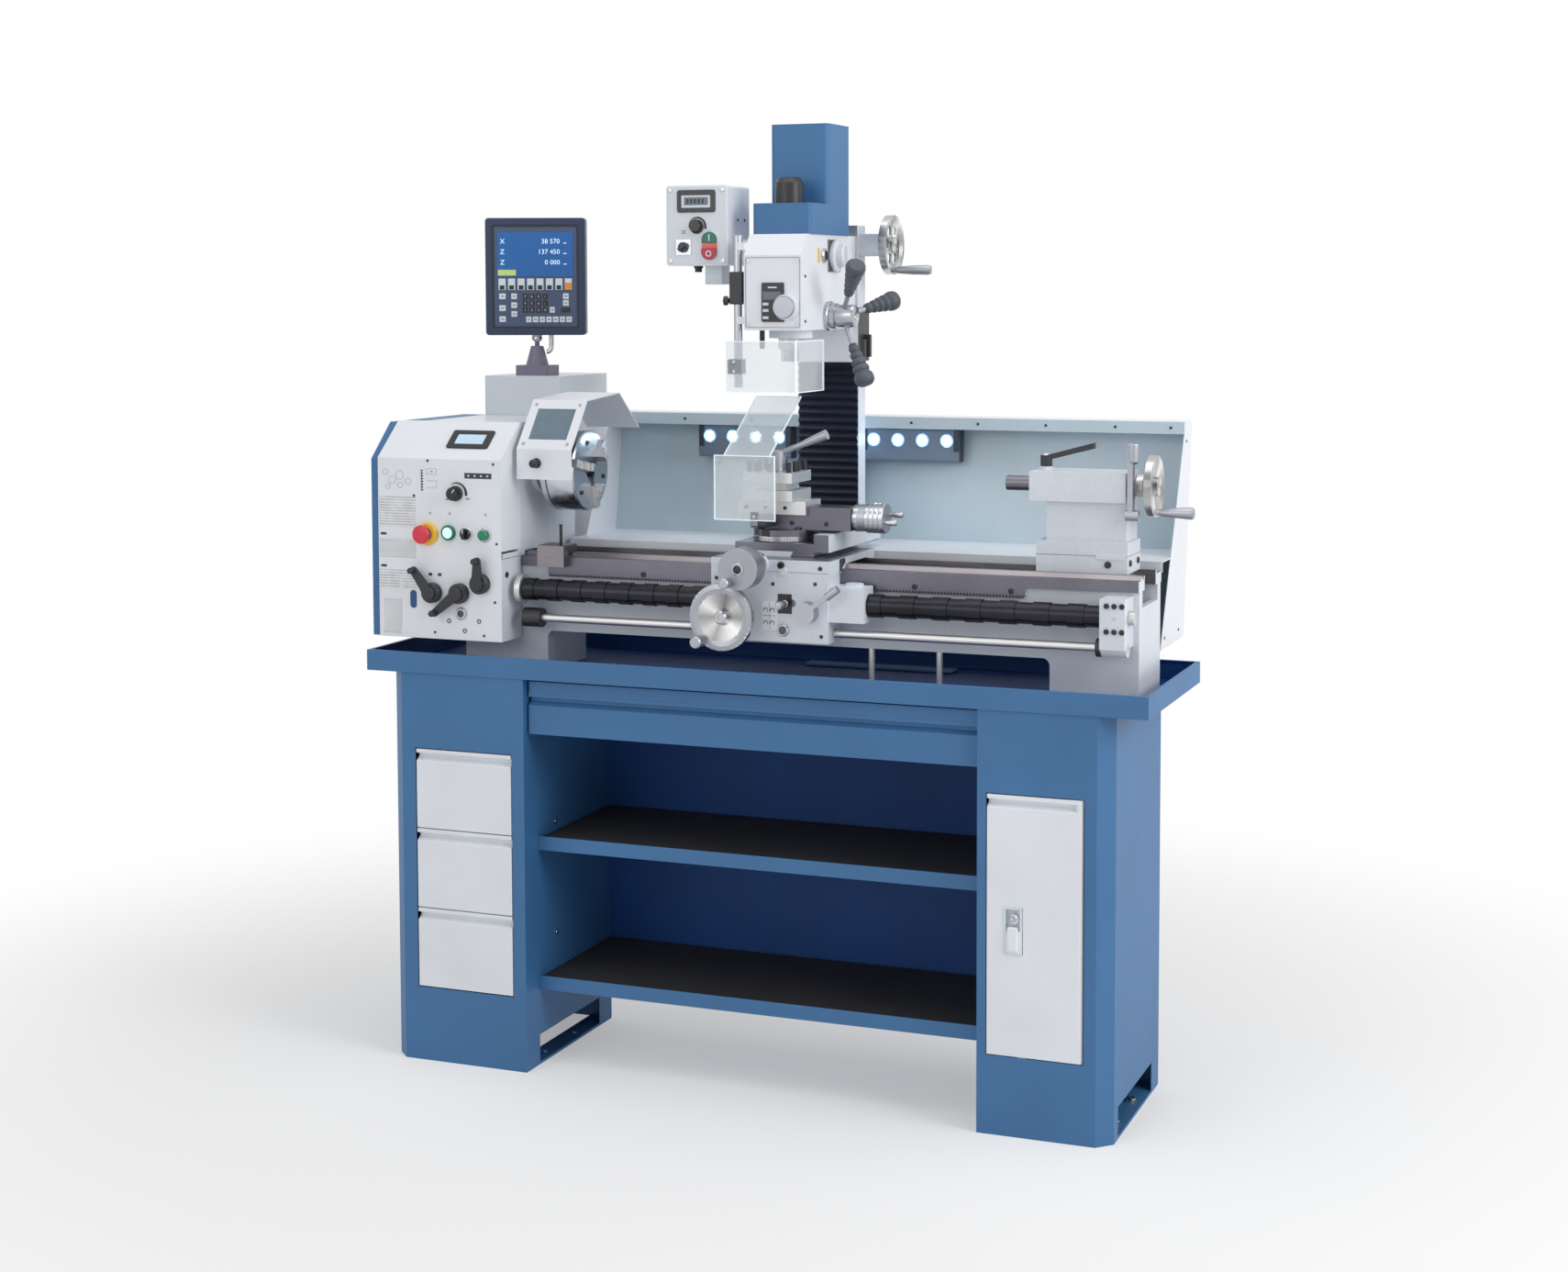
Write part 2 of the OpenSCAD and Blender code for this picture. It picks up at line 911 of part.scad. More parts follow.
module right_cabinet() color(blue) {
    top = door_z + door_h;
    difference() {
        cabinet_shell(right_x0, stand_x1, false, door_z);
        slab([door_x - front_gap, front_y - over, door_z - front_gap],
            [door_x + door_w + front_gap, front_y + sheet_t + over, top + front_gap]);
        rod_z(door_z - over - pin_l, door_z + over, pivot_x, pivot_y, pin_r + run);
    }
    difference() {
        union() {
            slab([pivot_x - lug_w / 2, front_y + sheet_t, top + gap],
                [pivot_x + lug_w / 2, front_y + lug_w, top + gap + lug_t]);
            slab([pivot_x - lug_w / 2, front_y + sheet_t, door_z - sheet_t - lug_t],
                [pivot_x + lug_w / 2, front_y + lug_w, door_z - sheet_t]);
        }
        rod_z(door_z - sheet_t - lug_t - over, top + gap + lug_t + over, pivot_x, pivot_y, pin_r + run);
    }
    slab([right_x0 + sheet_t, front_y + lug_w + sheet_t, door_z + door_h / 2],
        [stand_x1 - sheet_t, back_y - sheet_t, door_z + door_h / 2 + sheet_t]);
    wide_ledge(right_x0 - wide_ledge_w, right_x0);
}

module cabinet_door() {
    x = door_x + latch_x;
    z = door_z + latch_z;
    color(white) difference() {
        union() {
            translate([0, front_y, door_z]) along_x(door_x, pivot_x) polygon(front_section(door_h));
            rod_z(door_z, door_z + door_h, pivot_x, pivot_y, pivot_in);
        }
        slab([x, front_y - over, z], [x + latch_w, front_y + latch_d, z + latch_h]);
    }
    color(steel) {
        rod_z(door_z - pin_l, door_z, pivot_x, pivot_y, pin_r);
        rod_z(door_z + door_h, door_z + door_h + pin_l, pivot_x, pivot_y, pin_r);
    }
    color(black) {
        slab([x, front_y + latch_d - latch_wall, z], [x + latch_w, front_y + latch_d, z + latch_h]);
        block_y([x + latch_wall, front_y - latch_wall, z + latch_wall],
            [x + latch_w - latch_wall, front_y + latch_d, z + latch_h / 2], latch_wall);
        rod_y(front_y, front_y + latch_d, x + latch_w / 2, z + 0.75 * latch_h, latch_w / 4);
    }
}

// Shelf with a folded front lip, its top at height z, and its rubber mat
module shelf(z) {
    y0 = front_y + shelf_inset;
    color(blue) {
        slab([left_x1, y0, z - mat_t - sheet_t], [right_x0, back_y - shelf_back, z - mat_t]);
        slab([left_x1, y0, z - shelf_lip], [right_x0, y0 + sheet_t, z]);
    }
    color(rubber) slab([left_x1 + mat_edge, y0 + sheet_t, z - mat_t],
        [right_x0 - mat_edge, back_y - shelf_back - mat_edge, z]);
}

module shelves() {
    shelf(shelf_high);
    shelf(shelf_low);
    color(blue) slab([left_x1, back_y - shelf_back, shelf_low - shelf_lip],
        [right_x0, back_y - shelf_back + sheet_t, stand_h]);
}

module chip_tray() color(blue) difference() {
    slab([tray_x0, tray_y0, stand_h], [tray_x1, tray_y1, stand_h + tray_h]);
    slab([tray_x0 + sheet_t, tray_y0 + sheet_t, tray_floor],
        [tray_x1 - sheet_t, tray_y1 - sheet_t, stand_h + tray_h - sheet_t]);
    slab([tray_x0 + tray_lip, tray_y0 + tray_lip, tray_floor],
        [tray_x1 - tray_lip, tray_y1 - tray_lip, stand_h + tray_h + over]);
}

// Bed

foot_right_x0 = bed_x1 - foot_right_w;
arch_z = tray_floor + arch_h;
wall_y = half_bed - wall_in;
vee_y = half_bed - vee_in;
land_y = half_bed - way_w;

// Section of one way and the wall below it, as [y, z] points; the front one carries the vee
function way_section(low, vee) = [[-wall_y, low], [-wall_y, way_z - way_t], [-half_bed, way_z - way_t],
    [-half_bed, way_z], each (vee ? [[-vee_y - vee_half, way_z], [-vee_y, way_z + vee_h],
    [-vee_y + vee_half, way_z]] : []), [-land_y - land_w, way_z], [-land_y - land_w, way_z + land_h],
    [-land_y, way_z + land_h], [-land_y, way_z - way_t], [-wall_y + wall_t, way_z - way_t],
    [-wall_y + wall_t, low]];

// Opening under the bed between its feet, rounded at the top corners
module arch() translate([foot_left_x1, 0, tray_floor - over])
    rotate([90, 0, 0]) translate([0, 0, -half_bed - over]) linear_extrude(bed_w + 2 * over) {
        square([foot_right_x0 - foot_left_x1, arch_h + over - arch_r]);
        translate([arch_r, 0]) square([foot_right_x0 - foot_left_x1 - 2 * arch_r, arch_h + over]);
        for (x = [arch_r, foot_right_x0 - foot_left_x1 - arch_r])
            translate([x, arch_h + over - arch_r]) circle(r = arch_r);
    }

// Rack bar with its teeth cut from below
module rack() {
    teeth = floor(rack_l / rack_pitch);
    z1 = way_z - way_t;
    z0 = z1 - rack_h;
    t = tooth_shares;
    color(steel) along_y(-wall_y - rack_t, -wall_y) polygon([
        [rack_x0, z1], [rack_x0, z0 + rack_tooth],
        for (i = [0:teeth - 1], k = [0:3])
            [rack_x0 + (i + t[k]) * rack_pitch, z0 + (k == 1 || k == 2 ? 0 : rack_tooth)],
        [rack_x0 + rack_l, z0 + rack_tooth], [rack_x0 + rack_l, z1]]);
}

// Bearing of the screws at the tailstock end of the bed
module end_bracket() color(grey) difference() {
    union() {
        slab([bracket_x0, bracket_y, feed_z], [bracket_x1, -wall_y, way_z - way_t - rack_t]);
        rod_x(bracket_x0, bracket_x1, feed_y, feed_z, boss_r);
    }
    rod_x(bracket_x0 - over, bracket_x1 + over, screw_y, screw_z, screw_r + run);
    rod_x(bracket_x0 - over, bracket_x1 + over, feed_y, feed_z, feed_r + run);
}

// Stop on the front way, bored through its vee
module stop_block() {
    x1 = stop_block_x + stop_block_l;
    y1 = -land_y - land_w - gap;
    color(grey) difference() {
        slab([stop_block_x, y1 - stop_block_d + land_w + gap, way_z - stop_block_low],
            [x1, y1, way_z + stop_block_h - land_w]);
        along_x(stop_block_x - over, x1 + over) polygon([[-half_bed, way_z - stop_block_low - over],
            [-half_bed, way_z], [-vee_y - vee_half, way_z], [-vee_y, way_z + vee_h],
                [-vee_y + vee_half, way_z],
            [0, way_z], [0, way_z - stop_block_low - over]]);
    }
    color(black) rod_z(way_z + stop_block_h - land_w, way_z + stop_block_h + stop_pin_h,
        stop_block_x + stop_block_l / 2, -vee_y, stop_pin_r);
}

module bed() {
    color(grey) difference() {
        union() {
            along_x(bed_x0, bed_x1) {
                polygon(way_section(tray_floor, true));
                mirror([1, 0]) polygon(way_section(tray_floor, false));
            }
            for (i = [0:rib_count - 1]) {
                x = bed_x0 + (bed_x1 - bed_x0 - rib_t) * i / (rib_count - 1);
                slab([x, -wall_y, arch_z], [x + rib_t, wall_y, way_z - rib_drop]);
            }
            for (x = [foot_left_x0, foot_left_x1 - rib_t, foot_right_x0, bed_x1 - rib_t])
                slab([x, -wall_y, tray_floor], [x + rib_t, wall_y, arch_z + rib_t]);
            for (x = [foot_left_x0, foot_right_x0])
                slab([x, -wall_y, tray_floor], [x + foot_right_w, wall_y, tray_floor + rib_t]);
        }
        arch();
        slab([bed_x0 - over, -half_bed, tray_floor - over], [foot_left_x0, half_bed, arch_z]);
        for (x = [foot_left_x0 + foot_bolt_in, foot_left_x1 - foot_bolt_in,
            foot_right_x0 + foot_bolt_in, bed_x1 - foot_bolt_in], y = [-foot_bolt_y, foot_bolt_y])
            rod_z(tray_floor - over, tray_floor + rib_t + over, x, y, bolt_r);
    }
    rack();
    end_bracket();
    stop_block();
    color(grey) for (x = conduit_xs)
        rod_z(tray_floor, arch_z, x, -wall_y + wall_t / 2, conduit_r);
}

// Screws

screw_in = 142;
screw_short = 4;
screw_x0 = foot_left_x0 + screw_in;
screw_x1 = bed_x1 - screw_short;

module leadscrew() color(steel) {
    rod_x(screw_x0, screw_x1, screw_y, screw_z, screw_r);
    rod_x(screw_x0, screw_x0 + screw_flange_t, screw_y, screw_z, screw_flange_r);
    rod_x(bracket_x1 + gap, bracket_x1 + gap + nut_l, screw_y, screw_z, screw_nut_r);
}

module feed_rod() {
    x0 = screw_x0 + screw_flange_t;
    color(steel) rod_x(x0, bracket_x1, feed_y, feed_z, feed_r);
    color(black) {
        rod_x(x0, x0 + coupling_l, feed_y, feed_z, coupling_r);
        rod_x(bracket_x0 - nut_l - gap, bracket_x0 - gap, feed_y, feed_z, feed_r + nut_r);
    }
}

// Telescopic spring cover: a strip wound in steps, each turn a little smaller than the last
module screw_cover(x0, x1) color(black) turned_x([x0, screw_y, screw_z], [
    for (i = [0:cover_turns - 1], e = [0, 1])
        [cover_r - cover_step * (i % 2 == 0 ? 0 : 1), (x1 - x0) * (i + e) / cover_turns],
    [cover_r - cover_step - cover_wall, x1 - x0], [cover_r - cover_step - cover_wall, 0]]);
module screw_cover_left() screw_cover(screw_x0 + screw_flange_t + gap, sad_x0 - gap);
module screw_cover_right() screw_cover(apron_x1 + gap, bracket_x0 - gap);

// Headstock

gearbox_low = panel_z;

module headstock() color(grey) difference() {
    union() {
        slab([head_x0, -half_bed, way_z], [head_x1, head_back, head_top]);
        slab([head_x0, panel_y + panel_t, gearbox_low], [head_x1, -half_bed - gap, way_z]);
        slab([head_x0, -half_bed - head_wall, way_z], [head_x1, -half_bed, way_z + head_wall]);
        rod_x(head_x1, head_x1 + hinge_hub_l, hinge_y, hinge_z, hinge_r);
        rod_x(head_x1, head_x1 + bearing_w / 2, 0, spindle_z, bearing_r);
    }
    slab([head_x0 + head_wall, -half_bed + head_wall, way_z + 2 * head_wall],
        [head_x1 - head_wall, head_back - head_wall, head_top - head_wall]);
    slab([head_x0 + head_wall, panel_y + head_wall, gearbox_low + head_wall],
        [head_x1 - head_wall, -half_bed - head_wall, way_z - head_wall]);
    slab([head_x0 - over, -vee_y - vee_half - gap, way_z - over],
        [head_x1 + over, land_y + land_w + gap, way_z + vee_h + gap]);
    rod_x(head_x0 - over, head_x1 + bearing_w, 0, spindle_z, spindle_r + run);
    for (i = [0:2])
        rod_y(panel_y, -half_bed, lever_x[i], lever_z[i], stem_r + run);
}

module front_panel() color(white) difference() {
    union() {
        along_x(panel_x0, head_x1) polygon([[panel_y, panel_z], [panel_y + panel_t, panel_z],
            [panel_y + panel_t, slope_z - panel_t / 2], [slope_y, head_top - panel_t], [slope_y, head_top],
            [panel_y, slope_z]]);
        for (x = [panel_x0, head_x1 - panel_t])
            along_x(x, x + panel_t) polygon([[panel_y, way_z + head_wall + gap],
                [-half_bed - gap, way_z + head_wall + gap],
                [-half_bed - gap, head_top - panel_t], [slope_y - panel_t, head_top - panel_t],
                [panel_y, slope_z]]);
    }
    for (i = [0:2])
        rod_y(panel_y - over, panel_y + panel_t + over, lever_x[i], lever_z[i], stem_r + run);
    for (at = [[dial_x, dial_z], [stop_x, stop_z], [start_x, start_z]])
        rod_y(panel_y - over, panel_y + panel_t + over, at.x, at.y, stem_r + run);
}

// Outline of the gear cover, as [y, z] points, drawn in by t
function cover_section(t) = [[gear_y0 + t, panel_z + t], [gear_y0 + t, cover_slope_z - t / 2],
    [slope_y - t / 2, cover_z1 - t], [cover_back - t, cover_z1 - t], [cover_back - t, panel_z + t]];

// Hinged cover over the gears at the left end, open towards the headstock
module gear_cover() {
    x1 = panel_x0 - gap;
    y1 = -half_bed + head_wall;
    color(blue) difference() {
        union() {
            along_x(cover_x0, x1) polygon(cover_section(0));
            slab([x1 - stem_r, y1, panel_z], [head_x0 - gap, cover_back, cover_z1]);
        }
        along_x(cover_x0 + cover_t, x1 + over) polygon(cover_section(cover_t));
        slab([x1 - stem_r - over, y1 + cover_t, panel_z + cover_t],
            [head_x0 + over, cover_back - cover_t, cover_z1 - cover_t]);
        rod_x(cover_x0 - over, cover_x0 + cover_t + over, 0, spindle_z, spindle_r);
    }
    color(blue) for (z = knuckle_zs) difference() {
        union() {
            rod_z(z, z + knuckle_l, knuckle_x, knuckle_y, knuckle_r);
            slab([knuckle_x - knuckle_r, cover_back - cover_t, z], [knuckle_x, knuckle_y, z + knuckle_l]);
        }
        rod_z(z - over, z + knuckle_l + over, knuckle_x, knuckle_y, pin_r + run);
    }
}

// Electrics cabinet behind the headstock, with the readout's pillar on its top
module electrics_cabinet() {
    z1 = cab_top + pillar_base_h;
    color(white) difference() {
        slab([cab_x0, cab_y0, cab_low], [cab_x0 + cab_w, cab_y0 + cab_d, cab_top]);
        slab([cab_x0 + cover_t, cab_y0 + cover_t, cab_low + cover_t],
            [cab_x0 + cab_w - cover_t, cab_y0 + cab_d - cover_t, cab_top - cover_t]);
    }
    color(white) for (z = knuckle_zs) {
        rod_z(z + knuckle_l + gap, z + 2 * knuckle_l, knuckle_x, knuckle_y, knuckle_r);
        slab([knuckle_x, knuckle_y, z + knuckle_l + gap],
            [cab_x0 + cover_t, knuckle_y + knuckle_r, z + 2 * knuckle_l]);
        rod_z(z, z + knuckle_l + gap, knuckle_x, knuckle_y, pin_r);
    }
    color(black) {
        block_z([pillar_x - pillar_w / 2, pillar_y - pillar_d / 2, cab_top],
            [pillar_x + pillar_w / 2, pillar_y + pillar_d / 2, z1], stem_r);
        turned_z([pillar_x, pillar_y, z1], [[0, 0], [pillar_r1, 0], [pillar_r2, pillar_h], [0, pillar_h]]);
        rod_z(z1 + pillar_h, z1 + pillar_h + neck_l, pillar_x, pillar_y, neck_r);
    }
}

module dro_display() translate([pillar_x, pillar_y, 0]) rotate([0, 0, display_turn]) {
    w = display_w / 2;
    t = display_t / 2;
    z1 = display_z + display_h;
    color(black) difference() {
        block_y([-w, -t, display_z], [w, t, z1], stem_r);
        slab([-w + bezel, -t - over, display_z + bezel], [w - bezel, -t + bezel_d, z1 - bezel]);
    }
    color(black) difference() {
        rod_z(display_z - neck_l, display_z, 0, 0, ball_r + neck_r / 2);
        rod_z(display_z - neck_l - over, display_z - bezel_d, 0, 0, neck_r + run);
    }
    color(black) {
        rod_z(display_z - cable_drop, display_z, cable_x, 0, cable_r);
        translate([cable_x - cable_bend, 0, display_z - cable_drop]) rotate([-90, 0, 0])
            rotate_extrude(angle = 90) translate([cable_bend, 0]) circle(r = cable_r);
    }
}

// Gear levers: hub, flat arm and round pin
module gear_lever(i) translate([lever_x[i], panel_y - gap, lever_z[i]]) {
    color(black) {
        rod_y(-lever_hub_l, 0, 0, 0, lever_hub_r);
        rotate([0, -lever_turn[i], 0]) {
            slab([-lever_arm_w / 2, -lever_hub_l, 0], [lever_arm_w / 2, -lever_hub_l + lever_arm_t,
                lever_l[i]]);
            rod_y(-lever_hub_l - lever_pin_l, -lever_hub_l + lever_arm_t, 0, lever_l[i],
                lever_pin_r + step_t);
        }
    }
    color(steel) rod_y(0, stem_l + 2 * panel_t, 0, 0, stem_r);
}
module gear_lever_left() gear_lever(0);
module gear_lever_middle() gear_lever(1);
module gear_lever_right() gear_lever(2);

// Knob or button of radius r and length l on a stem through the panel
module control(at, y, r, l, lift) {
    rod_y(y - lift - l, y - lift, at.x, at.y, r);
    rod_y(y - lift, y + stem_l, at.x, at.y, stem_r);
}
module speed_dial() color(black) control([dial_x, dial_z], panel_y, dial_r, dial_l, gap);
module emergency_stop() color([0.85, 0.2, 0.3]) control([stop_x, stop_z], panel_y, stop_r, stop_l / 2,
    2 * stem_r);
module start_button() color([0.3, 0.75, 0.6]) control([start_x, start_z], panel_y, start_r, start_l,
    stem_r);

// Spindle and chuck

spindle_out = 36;
spindle_x0 = head_x0 - spindle_out;

module spindle() color(steel) difference() {
    union() {
        rod_x(spindle_x0, nose_x, 0, spindle_z, spindle_r);
        rod_x(nose_x, chuck_x0, 0, spindle_z, nose_flange_r);
        turned_x([head_x0 - pulley_w - pin_r, 0, spindle_z], [[0, 0], [pulley_r, 0],
            [pulley_r - pulley_groove, pulley_w / 2], [pulley_r, pulley_w], [0, pulley_w]]);
    }
    rod_x(spindle_x0 - over, chuck_x0 + over, 0, spindle_z, spindle_bore_r);
}

// Turns its children to the place of jaw i
module at_jaw(i) translate([0, 0, spindle_z]) rotate([i * 360 / jaw_count + jaw_turn, 0, 0]) children();

module chuck_body() color(polished) difference() {
    turned_x([chuck_x0, 0, spindle_z], [[0, 0], [chuck_r, 0], [chuck_r, chuck_l - chuck_edge],
        [chuck_r - chuck_edge, chuck_l], [0, chuck_l]]);
    rod_x(chuck_x0 - over, chuck_x1 + over, 0, spindle_z, spindle_bore_r);
    for (i = [0:jaw_count - 1]) at_jaw(i) {
        slab([chuck_x1 - slot_d, -slot_w / 2 - gap, 0],
            [chuck_x1 + over, slot_w / 2 + gap, chuck_r + over]);
        rod_z(chuck_r - key_in, chuck_r + over, chuck_x0 + chuck_l / 2 - key_r, 0, key_r);
    }
}

module chuck_jaw(i) color(steel) at_jaw(i) {
    x0 = chuck_x1 - slot_d + gap;
    slab([x0, -slot_w / 2, jaw_in], [chuck_x1 + jaw_step, slot_w / 2, jaw_out - chuck_edge]);
    slab([chuck_x1, -slot_w / 2, jaw_in], [chuck_x1 + 2 * jaw_step, slot_w / 2, (jaw_in + jaw_out) / 2]);
    slab([chuck_x1, -slot_w / 2, jaw_in], [chuck_x1 + jaw_h, slot_w / 2, jaw_in + 1.5 * jaw_step]);
}
module chuck_jaw_1() chuck_jaw(0);
module chuck_jaw_2() chuck_jaw(1);
module chuck_jaw_3() chuck_jaw(2);

// Folded hood over the chuck with its window, hung on a pin of the headstock
module chuck_guard() {
    x0 = head_x1 + bearing_w / 2 + gap;
    out = [[hood_front, hood_low], [hood_front - over, hood_fold], [hood_top_y, hood_top],
        [hood_back_y, hood_crest], [hood_end_y, hood_end_z]];
    low = out[1];
    high = out[2];
    color(white) difference() {
        along_x(x0, hood_x1) polygon([each out, [out[4].x - hood_t, out[4].y - hood_t],
            [out[3].x - hood_t, out[3].y - hood_t], [high.x + hood_t / 2, high.y - hood_t],
            [low.x + hood_t, low.y - hood_t / 2], [out[0].x + hood_t, out[0].y]]);
        along_x(x0 + window_in, hood_x1 - window_in) polygon([
            for (k = [[0, -over], [1, -over], [1, hood_t + over], [0, hood_t + over]])
                low + window_shares[k.x] * (high - low) + k.y * [0.8, -0.6]]);
    }
    color(clear) along_x(x0 + window_in - stem_r, hood_x1 - window_in + stem_r) polygon([
        for (k = [[0, hood_t], [1, hood_t], [1, 2 * hood_t], [0, 2 * hood_t]])
            low + (k.x == 0 ? 0.14 : 0.88) * (high - low) + k.y * [0.8, -0.6]]);
    color(white) difference() {
        union() {
            rod_x(head_x1 + gap, x0 + hinge_plate_t, hinge_y, hinge_z, hinge_hub_r);
            along_x(x0, x0 + hinge_plate_t / 2) polygon([[hinge_y - hinge_hub_r, hinge_z],
                [hinge_y + hinge_hub_r, hinge_z], [hinge_y + hinge_hub_r, hood_crest - hood_t],
                [hinge_y - 2 * hinge_hub_r, hood_crest - 3 * hood_t]]);
        }
        rod_x(head_x1, x0 + hinge_plate_t + over, hinge_y, hinge_z, hinge_r + run);
    }
    color(black) rod_y(hood_front - guard_knob_l, hood_front, (x0 + hood_x1) / 2 - window_in,
        hood_low + 2 * guard_knob_r + window_in, guard_knob_r);
}

// Splash guard

// Section of the guard's folded sheet, as [y, z] points
function guard_section() = [[guard_foot_y, guard_low], [guard_back_y0, guard_low],
    [guard_back_y1, guard_top],
    [guard_lip_y, guard_top], [guard_lip_y, guard_top - guard_lip_h],
    [guard_lip_y + guard_t, guard_top - guard_lip_h], [guard_lip_y + guard_t, guard_top - guard_t],
    [guard_back_y1 - guard_t, guard_top - guard_t], [guard_back_y0 - guard_t, guard_low + guard_t],
    [guard_foot_y, guard_low + guard_t]];

lamp_top = guard_top - guard_lip_h + guard_t;

// Long lamp with four round lights
module guard_lamp(x) {
    color(white) block_x([x, lamp_y, lamp_top - lamp_h - guard_lip_h],
        [x + lamp_l, lamp_y + lamp_d, lamp_top - guard_t], lamp_drop);
    color(steel) for (e = [0.2, 0.8])
        slab([x + e * lamp_l - lamp_drop, lamp_y + lamp_drop, lamp_top - guard_t],
            [x + e * lamp_l + lamp_drop, lamp_y + lamp_drop + guard_t, guard_top - guard_t]);
}

module splash_guard() {
    lx0 = mill_x - col_w / 2 - column_cut;
    lx1 = mill_x + col_w / 2 + column_cut;
    rib_half = (col_rib_w + column_cut) / 2;
    color(white) {
        difference() {
            along_x(guard_x0, guard_x1) polygon(guard_section());
            slab([mill_x - rib_half, guard_lip_y - over, guard_top - guard_lip_h - over],
                [mill_x + rib_half, col_y0 + col_t + col_rib_d + column_cut / 2, guard_top + over]);
        }
        for (x = [guard_x0, guard_x1 - guard_t])
            along_x(x, x + guard_t) polygon([[guard_foot_y, guard_low], [guard_back_y0, guard_low],
                [guard_back_y1, guard_top], [guard_lip_y, guard_top],
                    [guard_lip_y, guard_top - guard_lip_h]]);
        difference() {
            union() {
                slab([guard_x0, ledge_y, ledge_z - guard_t],
                    [guard_x1, guard_back_y0 + (guard_back_y1 - guard_back_y0) * 0.38, ledge_z]);
                slab([guard_x0, ledge_y, ledge_z - ledge_lip], [guard_x1, ledge_y + guard_t, ledge_z]);
            }
            slab([lx0, col_y0 - bellows_d - column_cut, ledge_z - ledge_lip],
                [lx1, col_foot_y1 + 2 * column_cut, ledge_z + over]);
        }
    }
    for (x = lamp_xs) guard_lamp(x);
}

// Carriage

// Section of the saddle across the bed, as [y, z] points
function saddle_section() = [[apron_y0, sad_low], [-apron_y1, sad_low], [-apron_y1, way_z + gap],
    [-vee_y - vee_half - vee_gap, way_z + gap], [-vee_y, way_z + vee_h + 2 * vee_gap],
    [-vee_y + vee_half + vee_gap, way_z + gap], [-land_y - land_w - gap, way_z + gap],
    [-land_y - land_w - gap, way_z + vee_h + gap], [land_y + land_w + gap, way_z + vee_h + gap],
    [land_y + land_w + gap, way_z + gap], [sad_back, way_z + gap], [sad_back, sad_top],
        [apron_y0, sad_top]];

// Dovetail along Y, grown by g for its groove
module dovetail(y0, y1, g) along_y(y0, y1) translate([swivel_x, sad_top]) polygon([
    [-ridge_w / 2 - g, -over], [ridge_w / 2 + g, -over], [ridge_w / 2 + g, 0],
    [ridge_w / 2 + ridge_splay + g, ridge_h + g], [-ridge_w / 2 - ridge_splay - g, ridge_h + g],
    [-ridge_w / 2 - g, 0]]);

module carriage() {
    block_x1 = apron_x1 + dial_block_l + nut_l;
    color(grey) difference() {
        union() {
            along_x(sad_x0, sad_x1) polygon(saddle_section());
            slab([sad_x0, apron_y0, apron_low], [apron_x1, -apron_y1, sad_low]);
            dovetail(cross_y0, sad_back, 0);
            rod_y(apron_y0 - cross_boss_l, apron_y0, cross_axis_x, cross_axis_z, cross_boss_r);
            rod_y(apron_y0 - wheel_rim, apron_y0, wheel_x, wheel_shaft_z, wheel_boss_r);
            slab([apron_x1, bracket_y, dial_block_z - dial_block_h],
                [block_x1, bracket_y + dial_block_d, dial_block_z]);
            rod_z(dial_block_z, dial_block_z + dial_cap_h, block_x1 - dial_block_l / 2, screw_y,
                dial_cap_r);
        }
        rod_x(sad_x0 - over, block_x1 + over, screw_y, screw_z, screw_r + gap);
        rod_x(apron_x1 + gap, block_x1 + over, screw_y, screw_z, cover_r + gap);
        rod_x(sad_x0 - over, block_x1 + over, feed_y, feed_z, feed_r + gap);
        rod_y(apron_y0 - over - wheel_rim, -apron_y1 - wheel_rim, wheel_x, wheel_shaft_z, shaft_r + run);
        rod_y(apron_y0 - cross_boss_l - over, cross_y0, cross_axis_x, cross_axis_z, stem_r + step_t + run);
        rod_y(apron_y0 - over, apron_y0 + stem_l, feed_hub_x, feed_hub_z, stem_r + run);
        block_y([nut_lever_x - nut_slot_w / 2, apron_y0 - over, nut_lever_z], [nut_lever_x + nut_slot_w / 2,
            apron_y0 + pull_slope, nut_lever_z + nut_slot_h], nut_slot_h / 2.2);
    }
    color(black) {
        rod_y(apron_y0 - sight_t, apron_y0, sight_x, sight_z, sight_r);
        rod_y(apron_y0 - sight_t, apron_y0, sight_x, sad_low + 2 * sight_t, sight_r - sight_t);
        rod_y(apron_y0 - stem_l, apron_y0 + pull_slope, nut_lever_x, nut_lever_z + nut_slot_h / 2, stem_r);
    }
}

// Handle of a handwheel, standing towards the operator at radius o and turned by a from above
module front_grip(o, a, y, l) rotate([0, a, 0]) color(black)
    turned_front([0, y, o], grip_shape(grip_r, l, grip_neck));

module carriage_handwheel() translate([wheel_x, 0, wheel_shaft_z]) {
    r = carriage_wheel_r;
    color(polished) translate([0, wheel_y, 0]) rotate([90, 0, 0]) rotate_extrude() polygon([
        [0, -wheel_dish], [wheel_hub_r, -wheel_dish], [r - wheel_rim, -wheel_dish / 2],
        [r, -wheel_dish], [r, 0], [r - wheel_rim, wheel_dish / 4], [r - 2 * wheel_rim, 0],
        [wheel_hub_r, -wheel_dish / 2], [wheel_hub_r, 0], [0, 0]]);
    color(steel) rod_y(wheel_y, -apron_y1 - wheel_rim - gap, 0, 0, shaft_r);
    front_grip(r - wheel_rim, -grip_angle / 1.4, wheel_y, grip_l);
}

module cross_handwheel() translate([cross_axis_x, 0, cross_axis_z]) {
    y1 = apron_y0 - cross_boss_l - gap;
    color(black) rod_y(y1 - cross_dial_l, y1, 0, 0, cross_dial_r);
    color(polished) rod_y(cross_y - cross_disc_t, y1 - cross_dial_l, 0, 0, cross_wheel_r);
    color(steel) rod_y(y1, cross_y0 - gap, 0, 0, stem_r + step_t);
    front_grip(cross_grip_r - grip_in, -cross_grip_turn / 1.35, cross_y - cross_disc_t, grip_l / 1.6);
}

